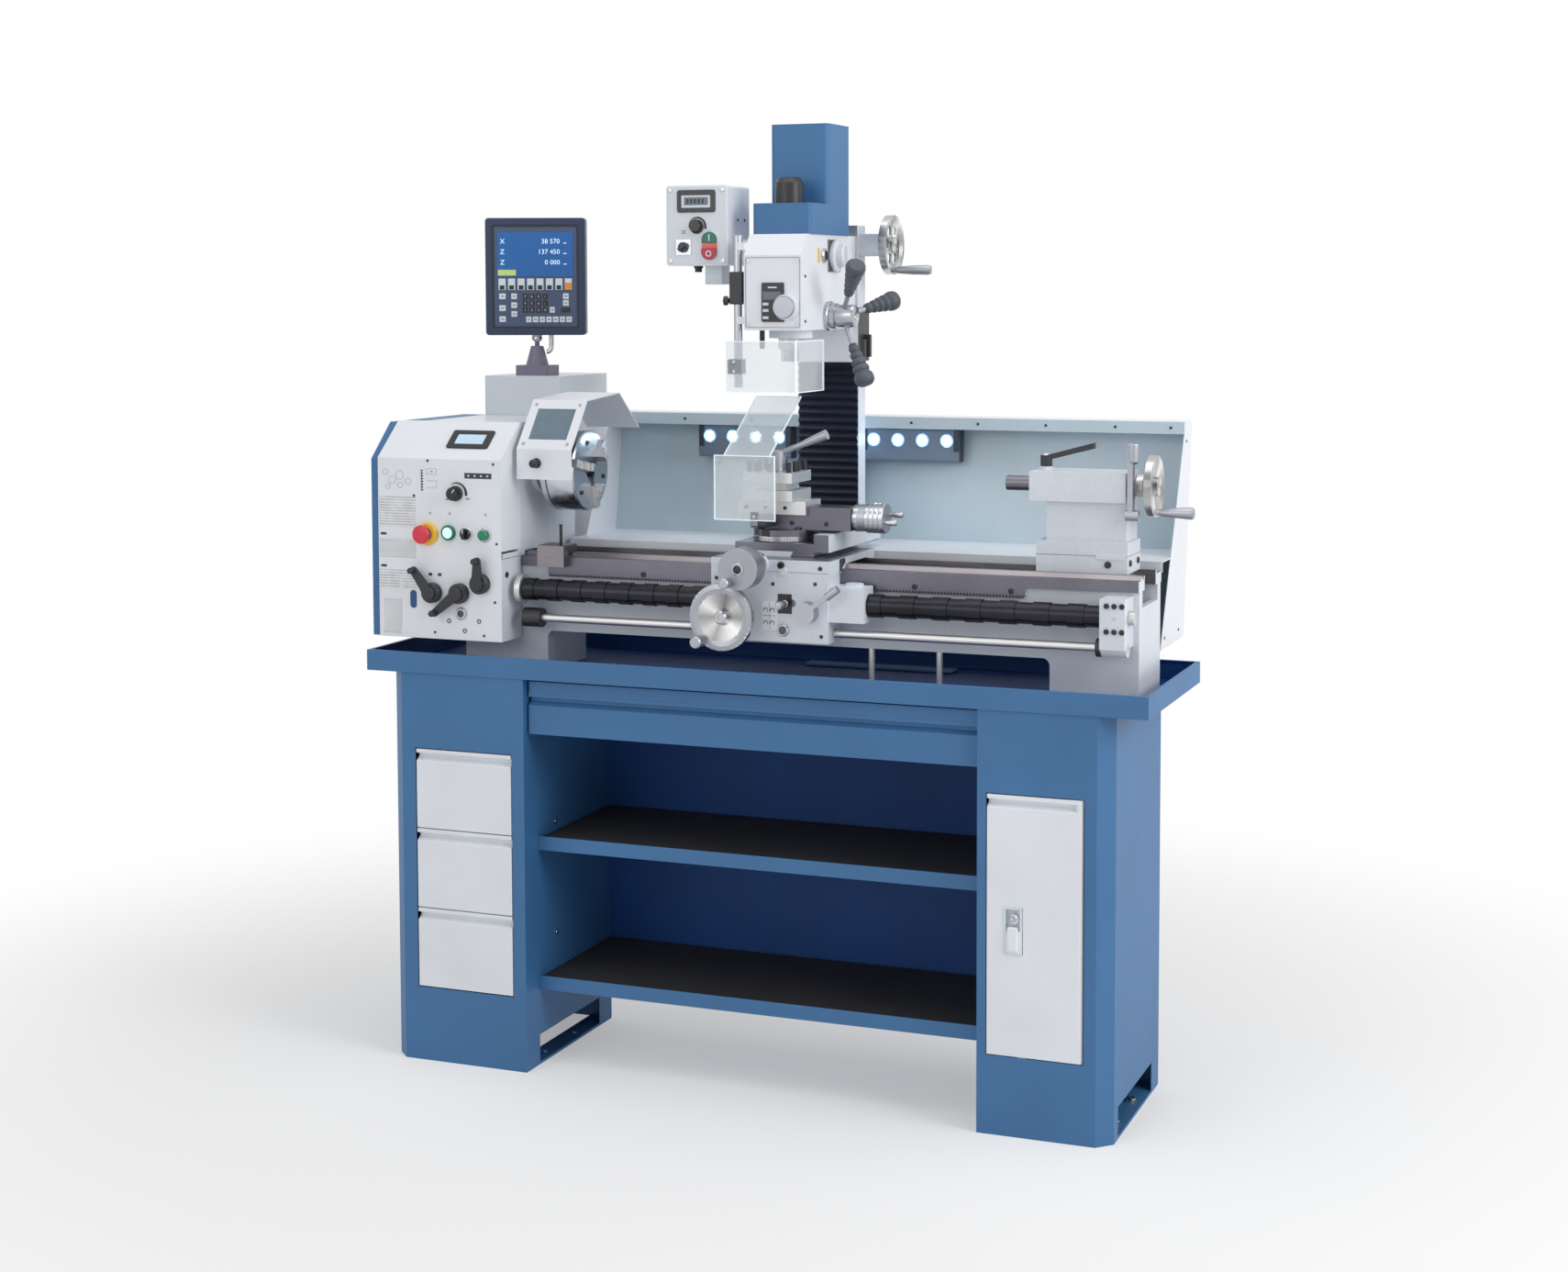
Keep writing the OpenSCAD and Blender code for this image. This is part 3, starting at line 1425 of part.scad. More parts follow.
module feed_lever() color(black) translate([feed_hub_x, apron_y0 - gap, feed_hub_z]) {
    rod_y(-feed_hub_l, 0, 0, 0, feed_hub_r);
    rod_y(0, stem_l, 0, 0, stem_r);
    rotate([0, -feed_lever_turn, 0]) {
        slab([-feed_arm_w / 2, -feed_hub_l, 0], [feed_arm_w / 2, -feed_hub_l + feed_arm_w, feed_lever_l]);
        rod_z(feed_lever_l - grip_l / 2, feed_lever_l + stem_r, 0, -feed_hub_l + feed_arm_w / 2,
            grip_r - over);
    }
}

module cross_slide() {
    scale_z = cross_top - scale_drop;
    color(grey) difference() {
        slab([cross_x0, cross_y0, cross_z0], [cross_x1, cross_y0 + cross_l, cross_top]);
        dovetail(cross_y0 - over, cross_y0 + cross_l + over, gap);
    }
    color(white) slab([cross_x1, cross_y0, scale_z],
        [cross_x1 + scale_w, cross_y0 + scale_l, scale_z + scale_h]);
    color(steel) rod_z(cross_top, cross_top + swivel_h / 2, swivel_x, swivel_y, stud_r);
}

module compound_base() {
    pin_y = shield_y + shield_hub_r / 2;
    y0 = swivel_y - base_w / 2;
    color(grey) difference() {
        union() {
            rod_z(swivel_z0, base_z0, swivel_x, swivel_y, swivel_r);
            slab([base_x0, y0, base_z0], [base_x1, y0 + base_w, base_z0 + base_h]);
        }
        rod_z(swivel_z0 - over, swivel_z0 + swivel_h / 2 + gap, swivel_x, swivel_y, stud_r + run);
        rod_x(base_x1 - base_w, base_x1 + over, swivel_y, crank_z, stem_r + run);
    }
    color(black) difference() {
        union() {
            rod_x(shield_lug_x, shield_lug_x + shield_lug_w, pin_y, shield_pin_z, shield_hub_r);
            slab([shield_lug_x, pin_y, shield_pin_z - shield_hub_r],
                [shield_lug_x + shield_lug_w, y0, shield_pin_z + shield_hub_r]);
        }
        rod_x(shield_lug_x - over, shield_lug_x + shield_lug_w + over, pin_y, shield_pin_z,
            shield_pin_r + run);
    }
}

module top_slide() color(polished) {
    y0 = swivel_y - base_w / 2 - gap;
    y1 = swivel_y + base_w / 2 + gap;
    slab([slide_x0, y0 - cheek_t, slide_z0], [slide_x0 + slide_l, y1 + cheek_t, slide_top]);
    for (y = [y0 - cheek_t, y1])
        slab([slide_x0, y, slide_z0 - cheek_h], [slide_x0 + slide_l, y + cheek_t, slide_z0]);
    rod_z(slide_top, post_top + stud_h, post_x, swivel_y, stud_r);
}

module compound_crank() {
    x0 = base_x1 + gap;
    color(steel) rod_x(base_x1 - base_w + over, x0, swivel_y, crank_z, stem_r);
    color(black) rod_x(x0, x0 + crank_collar, swivel_y, crank_z, crank_r - step_t);
    color(polished) rod_x(x0 + crank_collar, x0 + crank_collar + crank_l, swivel_y, crank_z, crank_r);
    for (e = [-1, 1]) color(black)
        translate([x0 + crank_collar + crank_l, swivel_y + e * crank_grip_y, crank_z + e * crank_grip_z])
            rotate([0, 90, 0]) rotate_extrude() polygon(grip_shape(crank_pin_r, crank_grip_l,
                crank_pin_r / 2));
}

post_z = slide_top + gap;

module toolpost() {
    z1 = post_z + post_low_h;
    z2 = z1 + post_gap_h;
    z3 = z2 + post_up_h;
    h = post_w / 2;
    c = post_core_w / 2;
    color(polished) difference() {
        union() {
            slab([post_x - h, swivel_y - h, post_z], [post_x + h, swivel_y + h, z1]);
            slab([post_x - c, swivel_y - c, z1], [post_x + c, swivel_y + c, z2]);
            slab([post_x - h, swivel_y - h, z2], [post_x + h, swivel_y + h, z3]);
        }
        rod_z(post_z - over, z3 + over, post_x, swivel_y, stud_r + run);
    }
    color(black) for (i = [-1:1], e = [-1, 1]) {
        rod_z(z2, z3 + post_bolt_h, post_x + i * (h - 2 * post_bolt_r),
            swivel_y + e * (h - 2 * post_bolt_r), post_bolt_r);
        if (i != 0)
            rod_z(z2, z3 + post_bolt_h, post_x + i * (h - 2 * post_bolt_r),
                swivel_y + e * 1.6 * post_bolt_r, post_bolt_r);
    }
}

module toolpost_lever() {
    z0 = post_top + gap;
    z1 = z0 + stud_h + hub_h / 1.6;
    color(black) difference() {
        rod_z(z0, z1, post_x, swivel_y, hub_r);
        rod_z(z0 - over, post_top + stud_h + gap, post_x, swivel_y, stud_r + run);
    }
    color(steel) translate([post_x, swivel_y, z1 - arm_r - step_t]) rotate([0, arm_tilt, 0])
        cylinder(h = arm_l + hub_r, r = arm_r);
    color(grey) translate([post_x, swivel_y, z1 - arm_r - step_t]) rotate([0, arm_tilt, 0])
        translate([0, 0, arm_l]) cylinder(h = lever_grip_l, r1 = 0.7 * lever_grip_r, r2 = lever_grip_r);
}

// Clear guard in front of the tool: an upright pane and one that leans back over the work
module tool_guard() {
    front = shield_y - gap;
    face = front - shield_t;
    pin_y = shield_y + shield_hub_r / 2;
    z0 = shield_low + 2 * shield_hub_r + gap;
    z1 = shield_low + shield_h;
    z2 = z1 + shield_rise;
    color(clear) {
        slab([shield_x0, face, z0], [shield_x0 + shield_w, front, z1]);
        along_x(shield_x0 + shield_shift, shield_x0 + shield_w - shield_shift / 2) polygon([
            [face, z1 - shield_t], [face, z1], [shield_y + shield_lean, z2],
            [shield_y + shield_lean, z2 - shield_t], [front, z1 - shield_t]]);
    }
    color(black) {
        rod_x(shield_lug_x - shield_lug_w, shield_lug_x - gap, pin_y, shield_pin_z, shield_hub_r - step_t);
        slab([shield_lug_x - shield_lug_w, face, shield_pin_z - shield_t],
            [shield_lug_x - gap, pin_y, shield_pin_z + shield_hub_r + shield_lug_w]);
    }
    color(steel) rod_x(shield_lug_x - gap, shield_lug_x + shield_lug_w - gap, pin_y, shield_pin_z,
        shield_pin_r);
}

// Tailstock

module tailstock() {
    h = tail_w / 2;
    z1 = tail_base_z + tail_base_h;
    z2 = tail_top - tail_up_h;
    color(grey) difference() {
        union() {
            slab([tail_x0, -h, tail_base_z], [tail_x1, h, z1]);
            slab([tail_mid_x0, -tail_mid_w / 2, z1], [tail_end, tail_mid_w / 2, z2]);
            slab([tail_up_x0, -h, z2], [tail_end, h, tail_top]);
            slab([tail_x0 + clamp_in, -land_y + gap, way_z - way_t],
                [tail_x1 - clamp_in, land_y - gap, tail_base_z]);
            slab([tail_x0 + 2 * clamp_in, -clamp_t, way_z - way_t - clamp_drop - clamp_t],
                [tail_x1 - 2 * clamp_in, clamp_t, way_z - way_t]);
            slab([tail_x0 + clamp_in, -wall_y + wall_t + clamp_drop, way_z - way_t - clamp_drop - clamp_t],
                [tail_x1 - clamp_in, wall_y - wall_t - clamp_drop, way_z - way_t - clamp_drop]);
            rod_z(tail_top, tail_top + lock_h / 3, lock_x, 0, lock_r + step_t);
        }
        rod_x(tail_up_x0 - over, tail_end + over, 0, spindle_z, quill_r + run);
        rod_z(tail_top - stem_l / 2, tail_top + lock_h, lock_x, 0, stem_r + run);
    }
    color(black) {
        rod_x(tail_end, tail_end + tail_collar_l, clamp_hub_y, clamp_hub_z, clamp_hub_r / 1.4);
        slab([tail_end + clamp_drop, clamp_hub_y - clamp_arm_w / 2, clamp_hub_z],
            [tail_end + clamp_drop + clamp_arm_t, clamp_hub_y + clamp_arm_w / 2,
                clamp_hub_z + clamp_arm_l]);
    }
}

quill_x0 = tail_up_x0 - quill_out;

module tailstock_quill() color(steel) difference() {
    rod_x(quill_x0, quill_x0 + quill_l, 0, spindle_z, quill_r);
    translate([quill_x0 - over, 0, spindle_z]) rotate([0, 90, 0])
        cylinder(h = taper_l, r1 = quill_bore_r, r2 = quill_bore_r * 0.8);
}

module tailstock_handwheel() {
    x0 = tail_end + gap;
    r = tail_wheel_r;
    color(steel) rod_x(quill_x0 + quill_l + quill_nut_gap, x0, 0, spindle_z, stem_r + step_t);
    color(black) rod_x(x0, x0 + tail_collar_l, 0, spindle_z, tail_collar_r - apron_in);
    color(polished) turned_x([x0 + tail_collar_l, 0, spindle_z],
        [[0, 0], [tail_hub_r, 0], [tail_hub_r, wheel_rim],
        [r - wheel_rim, tail_rim_w], [r, wheel_rim], [r, wheel_rim + tail_rim_w],
        [r - wheel_rim, wheel_rim + tail_rim_w], [tail_hub_r, 2 * wheel_rim], [tail_hub_r, 3 * wheel_rim],
            [0, 3 * wheel_rim]]);
    translate([x0 + tail_collar_l + wheel_rim + tail_rim_w, 0, spindle_z]) rotate([tail_grip_turn, 0, 0])
        translate([0, 0, tail_grip_r]) rotate([0, 90, 0]) color(black)
            rotate_extrude() polygon(grip_shape(grip_r, tail_grip_l, grip_neck));
}

module quill_lock_lever() color(black) {
    z0 = tail_top + lock_h / 3 + gap;
    rod_z(z0, z0 + lock_h, lock_x, 0, lock_r);
    rod_z(tail_top - stem_l / 2 + gap, z0 + over, lock_x, 0, stem_r);
    along_y(-lock_arm_w / 2, lock_arm_w / 2) polygon([[lock_x, z0 + lock_h / 2],
        [lock_x + lock_arm_l, z0 + lock_h + lock_rise],
        [lock_x + lock_arm_l, z0 + lock_h + lock_rise + lock_arm_t], [lock_x, z0 + lock_h]]);
}

// Mill

module mill_column() {
    x0 = mill_x - col_w / 2;
    x1 = mill_x + col_w / 2;
    rib_z = way_z;
    hw = col_foot_w / 2;
    color(grey) difference() {
        union() {
            slab([x0, col_y0, col_low], [x1, col_y0 + col_t, col_top]);
            slab([mill_x - col_rib_w / 2, col_y0 + col_t, rib_z],
                [mill_x + col_rib_w / 2, col_y0 + col_t + col_rib_d, col_top]);
            slab([mill_x - hw, half_bed, col_low], [mill_x + hw, col_foot_y1,
                col_low + col_foot_h - land_h]);
            slab([x1, zw_y - zw_block / 2, zw_z - zw_block / 2],
                [x1 + zw_block, zw_y + zw_block / 2, zw_z + zw_block / 2]);
            rod_x(x1 + zw_block, zw_x - gap, zw_y, zw_z, zw_boss_r - nose_collar);
        }
        rod_x(x1 - nut_l, zw_x + over, zw_y, zw_z, zw_shaft_r + run);
    }
}

// Pleated cover of the ways
module way_bellows() color(black) {
    x0 = mill_x - col_w / 2 - bellows_plate / 2;
    pitch = (bellows_top - bellows_low) / bellows_folds;
    along_x(x0, x0 + col_w + bellows_plate) polygon([[col_y0, bellows_low],
        [col_y0 - bellows_plate, bellows_low],
        for (i = [0:bellows_folds - 1], e = [0, 1])
            [col_y0 - (e == 0 ? bellows_plate : bellows_d), bellows_low + (i + (e + 0.5) / 2) * pitch],
        [col_y0 - bellows_plate, bellows_top], [col_y0, bellows_top]]);
}

module mill_head() {
    cheek_z = zw_z - zw_block - zw_boss_r * 4;
    cx0 = mill_x - col_w / 2 - gap;
    cx1 = mill_x + col_w / 2 + gap;
    box_x1 = mb_x0 + mb_w;
    color(grey) difference() {
        union() {
            along_x(mh_x0, mh_x1) polygon([[mh_y0, mh_z0], [mh_y1, mh_z0], [mh_y1, mh_z1],
                [mh_y0 + mh_slope_d, mh_z1], [mh_y0, mh_z1 - mh_slope_h]]);
            slab([mh_x0, mh_y1, head_slide_z0], [mh_x1, col_y0 - gap, mh_z1]);
            for (x = [cx0 - head_gib, cx1])
                slab([x, mh_y1 + head_slide_t, head_slide_z0], [x + head_gib, col_y0 + col_t, cheek_z]);
            slab([cx0 - head_gib, mh_y1 + head_slide_t / 2, head_slide_z0],
                [cx1 + head_gib, col_y0 - gap, cheek_z]);
            rod_z(mh_z0 - sleeve_h, mh_z0, mill_x, mill_y, sleeve_r);
            rod_x(mh_x1, mh_x1 + gk_plate_t, fh_y, fh_z, fh_flange_r);
            slab([mh_x1, gk_y - gk_plate / 2, gk_z - gk_plate / 2],
                [mh_x1 + gk_plate_t, gk_y + gk_plate / 2, gk_z + gk_plate / 2]);
        }
        rod_z(mh_z0 - sleeve_h - over, mq_top + pull_slope, mill_x, mill_y, mq_r + run);
        rod_z(mq_top, ms_top + gap, mill_x, mill_y, ms_r + gap);
        rod_x(mh_x1 - base_w, mh_x1 + nut_l, fh_y, fh_z, fh_shaft_r + run);
        rod_x(mh_x1 - stem_l, mh_x1 + nut_l, gk_y, gk_z, stem_r + run);
    }
    color(steel) rod_z(post_z0, post_z1, post_px, post_py, post_pr);
    color(grey) {
        for (h = post_arm_rises)
            slab([post_px, post_py - post_pr, way_z + h],
                [mh_x0, post_py + post_pr, way_z + h + post_arm_h]);
        slab([box_x1, mb_arm_y - mb_arm_w / 2, mb_z0 + mb_edge],
            [mh_x0, mb_arm_y + mb_arm_w / 2, mb_z0 + mb_edge + mb_arm_h]);
    }
    color(black) {
        rod_y(mh_y0 - feed_knob_l, mh_y0, feed_knob_x, feed_knob_z, feed_knob_r);
        slab([readout_x0, mh_y0 - readout_t, readout_z0],
            [readout_x0 + readout_w, mh_y0, readout_z0 + readout_h]);
        rod_x(cx1 + head_gib, cx1 + head_gib + stem_l, zw_y - pull_slope, lock_lever_z, stem_r);
        slab([cx1 + head_gib + stem_l / 3, zw_y - pull_slope - stem_r, lock_lever_z - key_in * 2],
            [cx1 + head_gib + stem_l, zw_y - pull_slope + stem_r, lock_lever_z]);
    }
}

module head_cover() {
    x0 = mill_x - cover_w / 2;
    z1 = mh_z1 + cover_low_h;
    color(blue) difference() {
        union() {
            block_z([x0, cover_y0, mh_z1], [x0 + cover_w, cover_y1, z1], 2 * stem_r);
            block_z([x0, tall_y0, mh_z1], [x0 + cover_w, cover_y1, z1 + motor_cover_h], 2 * stem_r);
        }
        block_z([x0 + cover_t, cover_y0 + cover_t, mh_z1 - over],
            [x0 + cover_w - cover_t, cover_y1 - cover_t, z1 - cover_t], 2 * stem_r);
        block_z([x0 + cover_t, tall_y0 + cover_t, mh_z1 - over],
            [x0 + cover_w - cover_t, cover_y1 - cover_t, z1 + motor_cover_h - cover_t], 2 * stem_r);
    }
    color(black) turned_z([mill_x, cap_y, z1], [[0, 0], [cap_r, 0], [cap_r, cap_h - 2 * stem_r],
        [cap_r - stem_r, cap_h - step_t], [cap_r - 2 * stem_r, cap_h], [0, cap_h]]);
}

module z_handwheel() translate([zw_x, zw_y, zw_z]) {
    r = z_wheel_r;
    color(steel) rod_x(mill_x + col_w / 2 - nut_l + gap - zw_x, 0, 0, 0, zw_shaft_r);
    color(polished) difference() {
        turned_x([0, 0, 0], [[0, 0], [zw_hub_r, 0], [zw_hub_r, zw_rim / 4], [r - wheel_rim, zw_rim / 4],
            [r, 0], [r, zw_rim],
            [r - wheel_rim, zw_rim], [r - 1.5 * wheel_rim, 0.6 * zw_rim], [zw_hub_r, 0.6 * zw_rim],
                [zw_hub_r, zw_rim], [0, zw_rim]]);
        for (i = [0:zw_holes - 1])
            rotate([(i + 0.5) * 360 / zw_holes, 0, 0]) rod_x(-over, zw_rim + over, 0,
                (r - 1.5 * wheel_rim + zw_hub_r) / 2, zw_hole_r);
    }
    rotate([180, 0, 0]) translate([zw_rim, 0, zw_grip_r]) rotate([0, 90, 0]) color(black)
        rotate_extrude() polygon(grip_shape(grip_r, zw_grip_l, grip_neck));
}

module mill_quill() color(steel) difference() {
    rod_z(mq_low, mq_top, mill_x, mill_y, mq_r);
    rod_z(mq_low - over, mq_top + over, mill_x, mill_y, ms_r + run);
}

module mill_spindle() color(polished) difference() {
    union() {
        rod_z(nose_z, ms_top, mill_x, mill_y, ms_r);
        rod_z(nose_z, mq_low - gap, mill_x, mill_y, ms_r + nose_collar);
    }
    rod_z(nose_z, ms_top + over, mill_x, mill_y, ms_bore_r / 2);
    rod_z(nose_z, nose_z + ms_flare + collet_l, mill_x, mill_y, collet_r);
    translate([mill_x, mill_y, nose_z - over]) cylinder(h = ms_flare + over, r1 = ms_r, r2 = collet_r);
}

// Three-armed handle of the quill feed
module quill_handle() translate([mh_x1 + gk_plate_t + gap, fh_y, fh_z]) {
    color(steel) rod_x(-base_w, 0, 0, 0, fh_shaft_r);
    color(polished) {
        rod_x(0, fh_flange_t, 0, 0, fh_flange_r);
        rod_x(0, fh_hub_l, 0, 0, fh_hub_r);
    }
    for (i = [0:fh_arms - 1]) rotate([fh_start + i * 360 / fh_arms - 90, 0, 0])
        translate([fh_hub_l / 2, 0, 0]) rotate([0, fh_tilt, 0]) {
            color(steel) translate([0, 0,
                fh_hub_r / 2]) cylinder(h = feed_arm_l * fh_rod_share - fh_hub_r / 2 + over, r = fh_rod_r);
            color(black) translate([0, 0, feed_arm_l * fh_rod_share]) rotate_extrude()
                polygon(grip_shape(grip_r + step_t, feed_arm_l * (1 - fh_rod_share), fh_rod_r + over));
        }
}

module gear_knob() color(black) {
    x0 = mh_x1 + gk_plate_t + gap;
    rod_x(x0 - gk_plate_t - stem_l + gap, x0, gk_y, gk_z, stem_r);
    rod_x(x0, x0 + gk_l / 2, gk_y, gk_z, gk_r);
    slab([x0 + gk_l / 2, gk_y - stem_r, gk_z - gk_r + stem_r],
        [x0 + gk_l, gk_y + stem_r, gk_z + gk_r - stem_r]);
}

// Clear guard round the mill spindle, hung on its post
module spindle_guard() {
    z1 = sg_low + sg_h;
    x1 = sg_x0 + sg_w;
    hub_z = sg_low + sg_h / 2;
    color(clear) {
        slab([sg_x0, sg_y0, sg_low], [x1, sg_y0 + sg_t, z1]);
        slab([x1 - sg_t, sg_y0, sg_low], [x1, sg_y0 + sg_d, z1]);
    }
    color(black) difference() {
        union() {
            rod_z(hub_z - sg_hub_r, hub_z + sg_hub_r, post_px, post_py, sg_hub_r);
            slab([post_px - sg_hub_r, sg_y0, hub_z - sg_hub_r],
                [post_px + sg_hub_r, post_py, hub_z + sg_hub_r]);
        }
        rod_z(hub_z - sg_hub_r - over, hub_z + sg_hub_r + over, post_px, post_py, post_pr + run);
        slab([post_px - sg_hub_r - over, sg_y0 - over, hub_z - sg_hub_r - over],
            [post_px + sg_hub_r + over, sg_y0 + sg_t, hub_z + sg_hub_r + over]);
    }
}

module mill_box() color(grey) difference() {
    block_y([mb_x0, mb_y0, mb_z0], [mb_x0 + mb_w, mb_y0 + mb_d, mb_z0 + mb_h], mb_edge);
    rod_y(mb_y0 - over, mb_y0 + stem_l + 2 * mbtn_t, md_x, md_z, stem_r + run);
    rod_y(mb_y0 - over, mb_y0 + stem_l + 2 * mbtn_t, mstop_x, mstop_z, stem_r + run);
}
module mill_dial() color(black) control([md_x, md_z], mb_y0, md_r, md_l, gap);
module mill_stop() color([0.85, 0.2, 0.3]) control([mstop_x, mstop_z], mb_y0, mstop_r, mstop_l,
    mbtn_t + gap);

left_cabinet();
right_cabinet();
drawer_top();
drawer_middle();
drawer_bottom();
wide_drawer();
cabinet_door();
shelves();
chip_tray();
bed();
headstock();
front_panel();
gear_cover();
electrics_cabinet();
splash_guard();
spindle();
chuck_body();
chuck_jaw_1();
chuck_jaw_2();
chuck_jaw_3();
chuck_guard();
dro_display();
gear_lever_left();
gear_lever_middle();
gear_lever_right();
speed_dial();
emergency_stop();
start_button();
leadscrew();
feed_rod();
screw_cover_left();
screw_cover_right();
carriage();
carriage_handwheel();
cross_handwheel();
cross_slide();
compound_base();
top_slide();
compound_crank();
toolpost();
toolpost_lever();
tool_guard();
feed_lever();
tailstock();
tailstock_quill();
tailstock_handwheel();
quill_lock_lever();
mill_column();
way_bellows();
mill_head();
head_cover();
z_handwheel();
mill_quill();
mill_spindle();
quill_handle();
gear_knob();
spindle_guard();
mill_box();
mill_dial();
mill_stop();
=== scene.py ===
"""Looks of a combination lathe mill on its stand: finishes, fitted details, light and camera."""

import json
import logging
import math
from dataclasses import dataclass
from enum import Enum
from typing import Callable, Optional, Sequence

import bmesh
import bpy
from mathutils import Matrix, Vector

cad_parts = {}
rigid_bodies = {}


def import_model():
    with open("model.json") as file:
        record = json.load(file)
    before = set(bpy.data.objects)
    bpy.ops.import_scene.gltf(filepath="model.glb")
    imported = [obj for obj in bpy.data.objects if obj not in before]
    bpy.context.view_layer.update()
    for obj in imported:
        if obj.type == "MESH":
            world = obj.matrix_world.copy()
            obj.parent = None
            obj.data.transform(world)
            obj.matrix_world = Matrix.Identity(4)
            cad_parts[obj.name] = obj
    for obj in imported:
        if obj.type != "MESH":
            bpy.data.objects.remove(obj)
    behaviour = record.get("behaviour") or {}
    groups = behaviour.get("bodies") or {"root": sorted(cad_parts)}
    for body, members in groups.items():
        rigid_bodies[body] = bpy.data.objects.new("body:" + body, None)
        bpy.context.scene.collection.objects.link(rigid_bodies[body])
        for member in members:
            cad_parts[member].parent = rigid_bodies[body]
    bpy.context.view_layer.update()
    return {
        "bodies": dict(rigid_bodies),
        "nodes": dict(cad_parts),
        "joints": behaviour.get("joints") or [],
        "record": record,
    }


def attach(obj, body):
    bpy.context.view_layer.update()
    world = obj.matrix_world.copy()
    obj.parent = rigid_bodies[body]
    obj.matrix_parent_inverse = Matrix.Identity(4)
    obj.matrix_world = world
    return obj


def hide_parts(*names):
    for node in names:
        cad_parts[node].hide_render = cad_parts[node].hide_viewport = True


log = logging.getLogger("lathe_mill")

MM = 0.001
WELD = 1e-6  # metres; points nearer than this are merged
FLAT = 0.6  # degrees; faces that meet at less are one flat face
NOISE_LOW, NOISE_HIGH = 0.3, 0.7  # most of a noise's values lie between these
WAVE_TURN = 20.0  # at scale 1 the wave pattern repeats every tau / 20 metres
CLOUD_SCALE = 6.0  # slow change of tone over a surface, per metre
GRAIN_SHARE = 0.5  # share of the fine grain in that change
COAT_ROUGHNESS = 0.15
FONT_SIZE = 1.35  # font size for a digit that is one high
# Greys met in one turn round a wheel's polish: painted reflections laid over its colour
WHEEL_PAINTED_REFLECTIONS = (0.62, 0.92, 0.7, 0.5, 0.78, 0.6, 0.95, 0.66, 0.48, 0.74, 0.62)

Point = tuple[float, float, float]
Colour = tuple[float, float, float]
Profile = Sequence[tuple[float, float]]
Shape = bpy.types.Object
Node = bpy.types.Node


class Axis(Enum):
    """Direction that a turned or extruded shape runs along."""

    X = "X"
    Y = "Y"
    Z = "Z"

    def vector(self) -> Vector:
        """Return the unit vector of this direction."""
        return Vector([1.0 if self.value == name else 0.0 for name in "XYZ"])


RIGHT, UP, FRONT = Axis.X.vector(), Axis.Z.vector(), -Axis.Y.vector()


# Finishes


def to_linear(colour: Colour) -> tuple[float, float, float, float]:
    """Turn a screen colour into the renderer's linear one.

    Args:
        colour: red, green and blue, 0 to 1, as seen on a screen.

    Returns:
        The linear colour with an alpha of 1.
    """
    parts = [c / 12.92 if c <= 0.04045 else ((c + 0.055) / 1.055) ** 2.4 for c in colour]
    return (parts[0], parts[1], parts[2], 1.0)


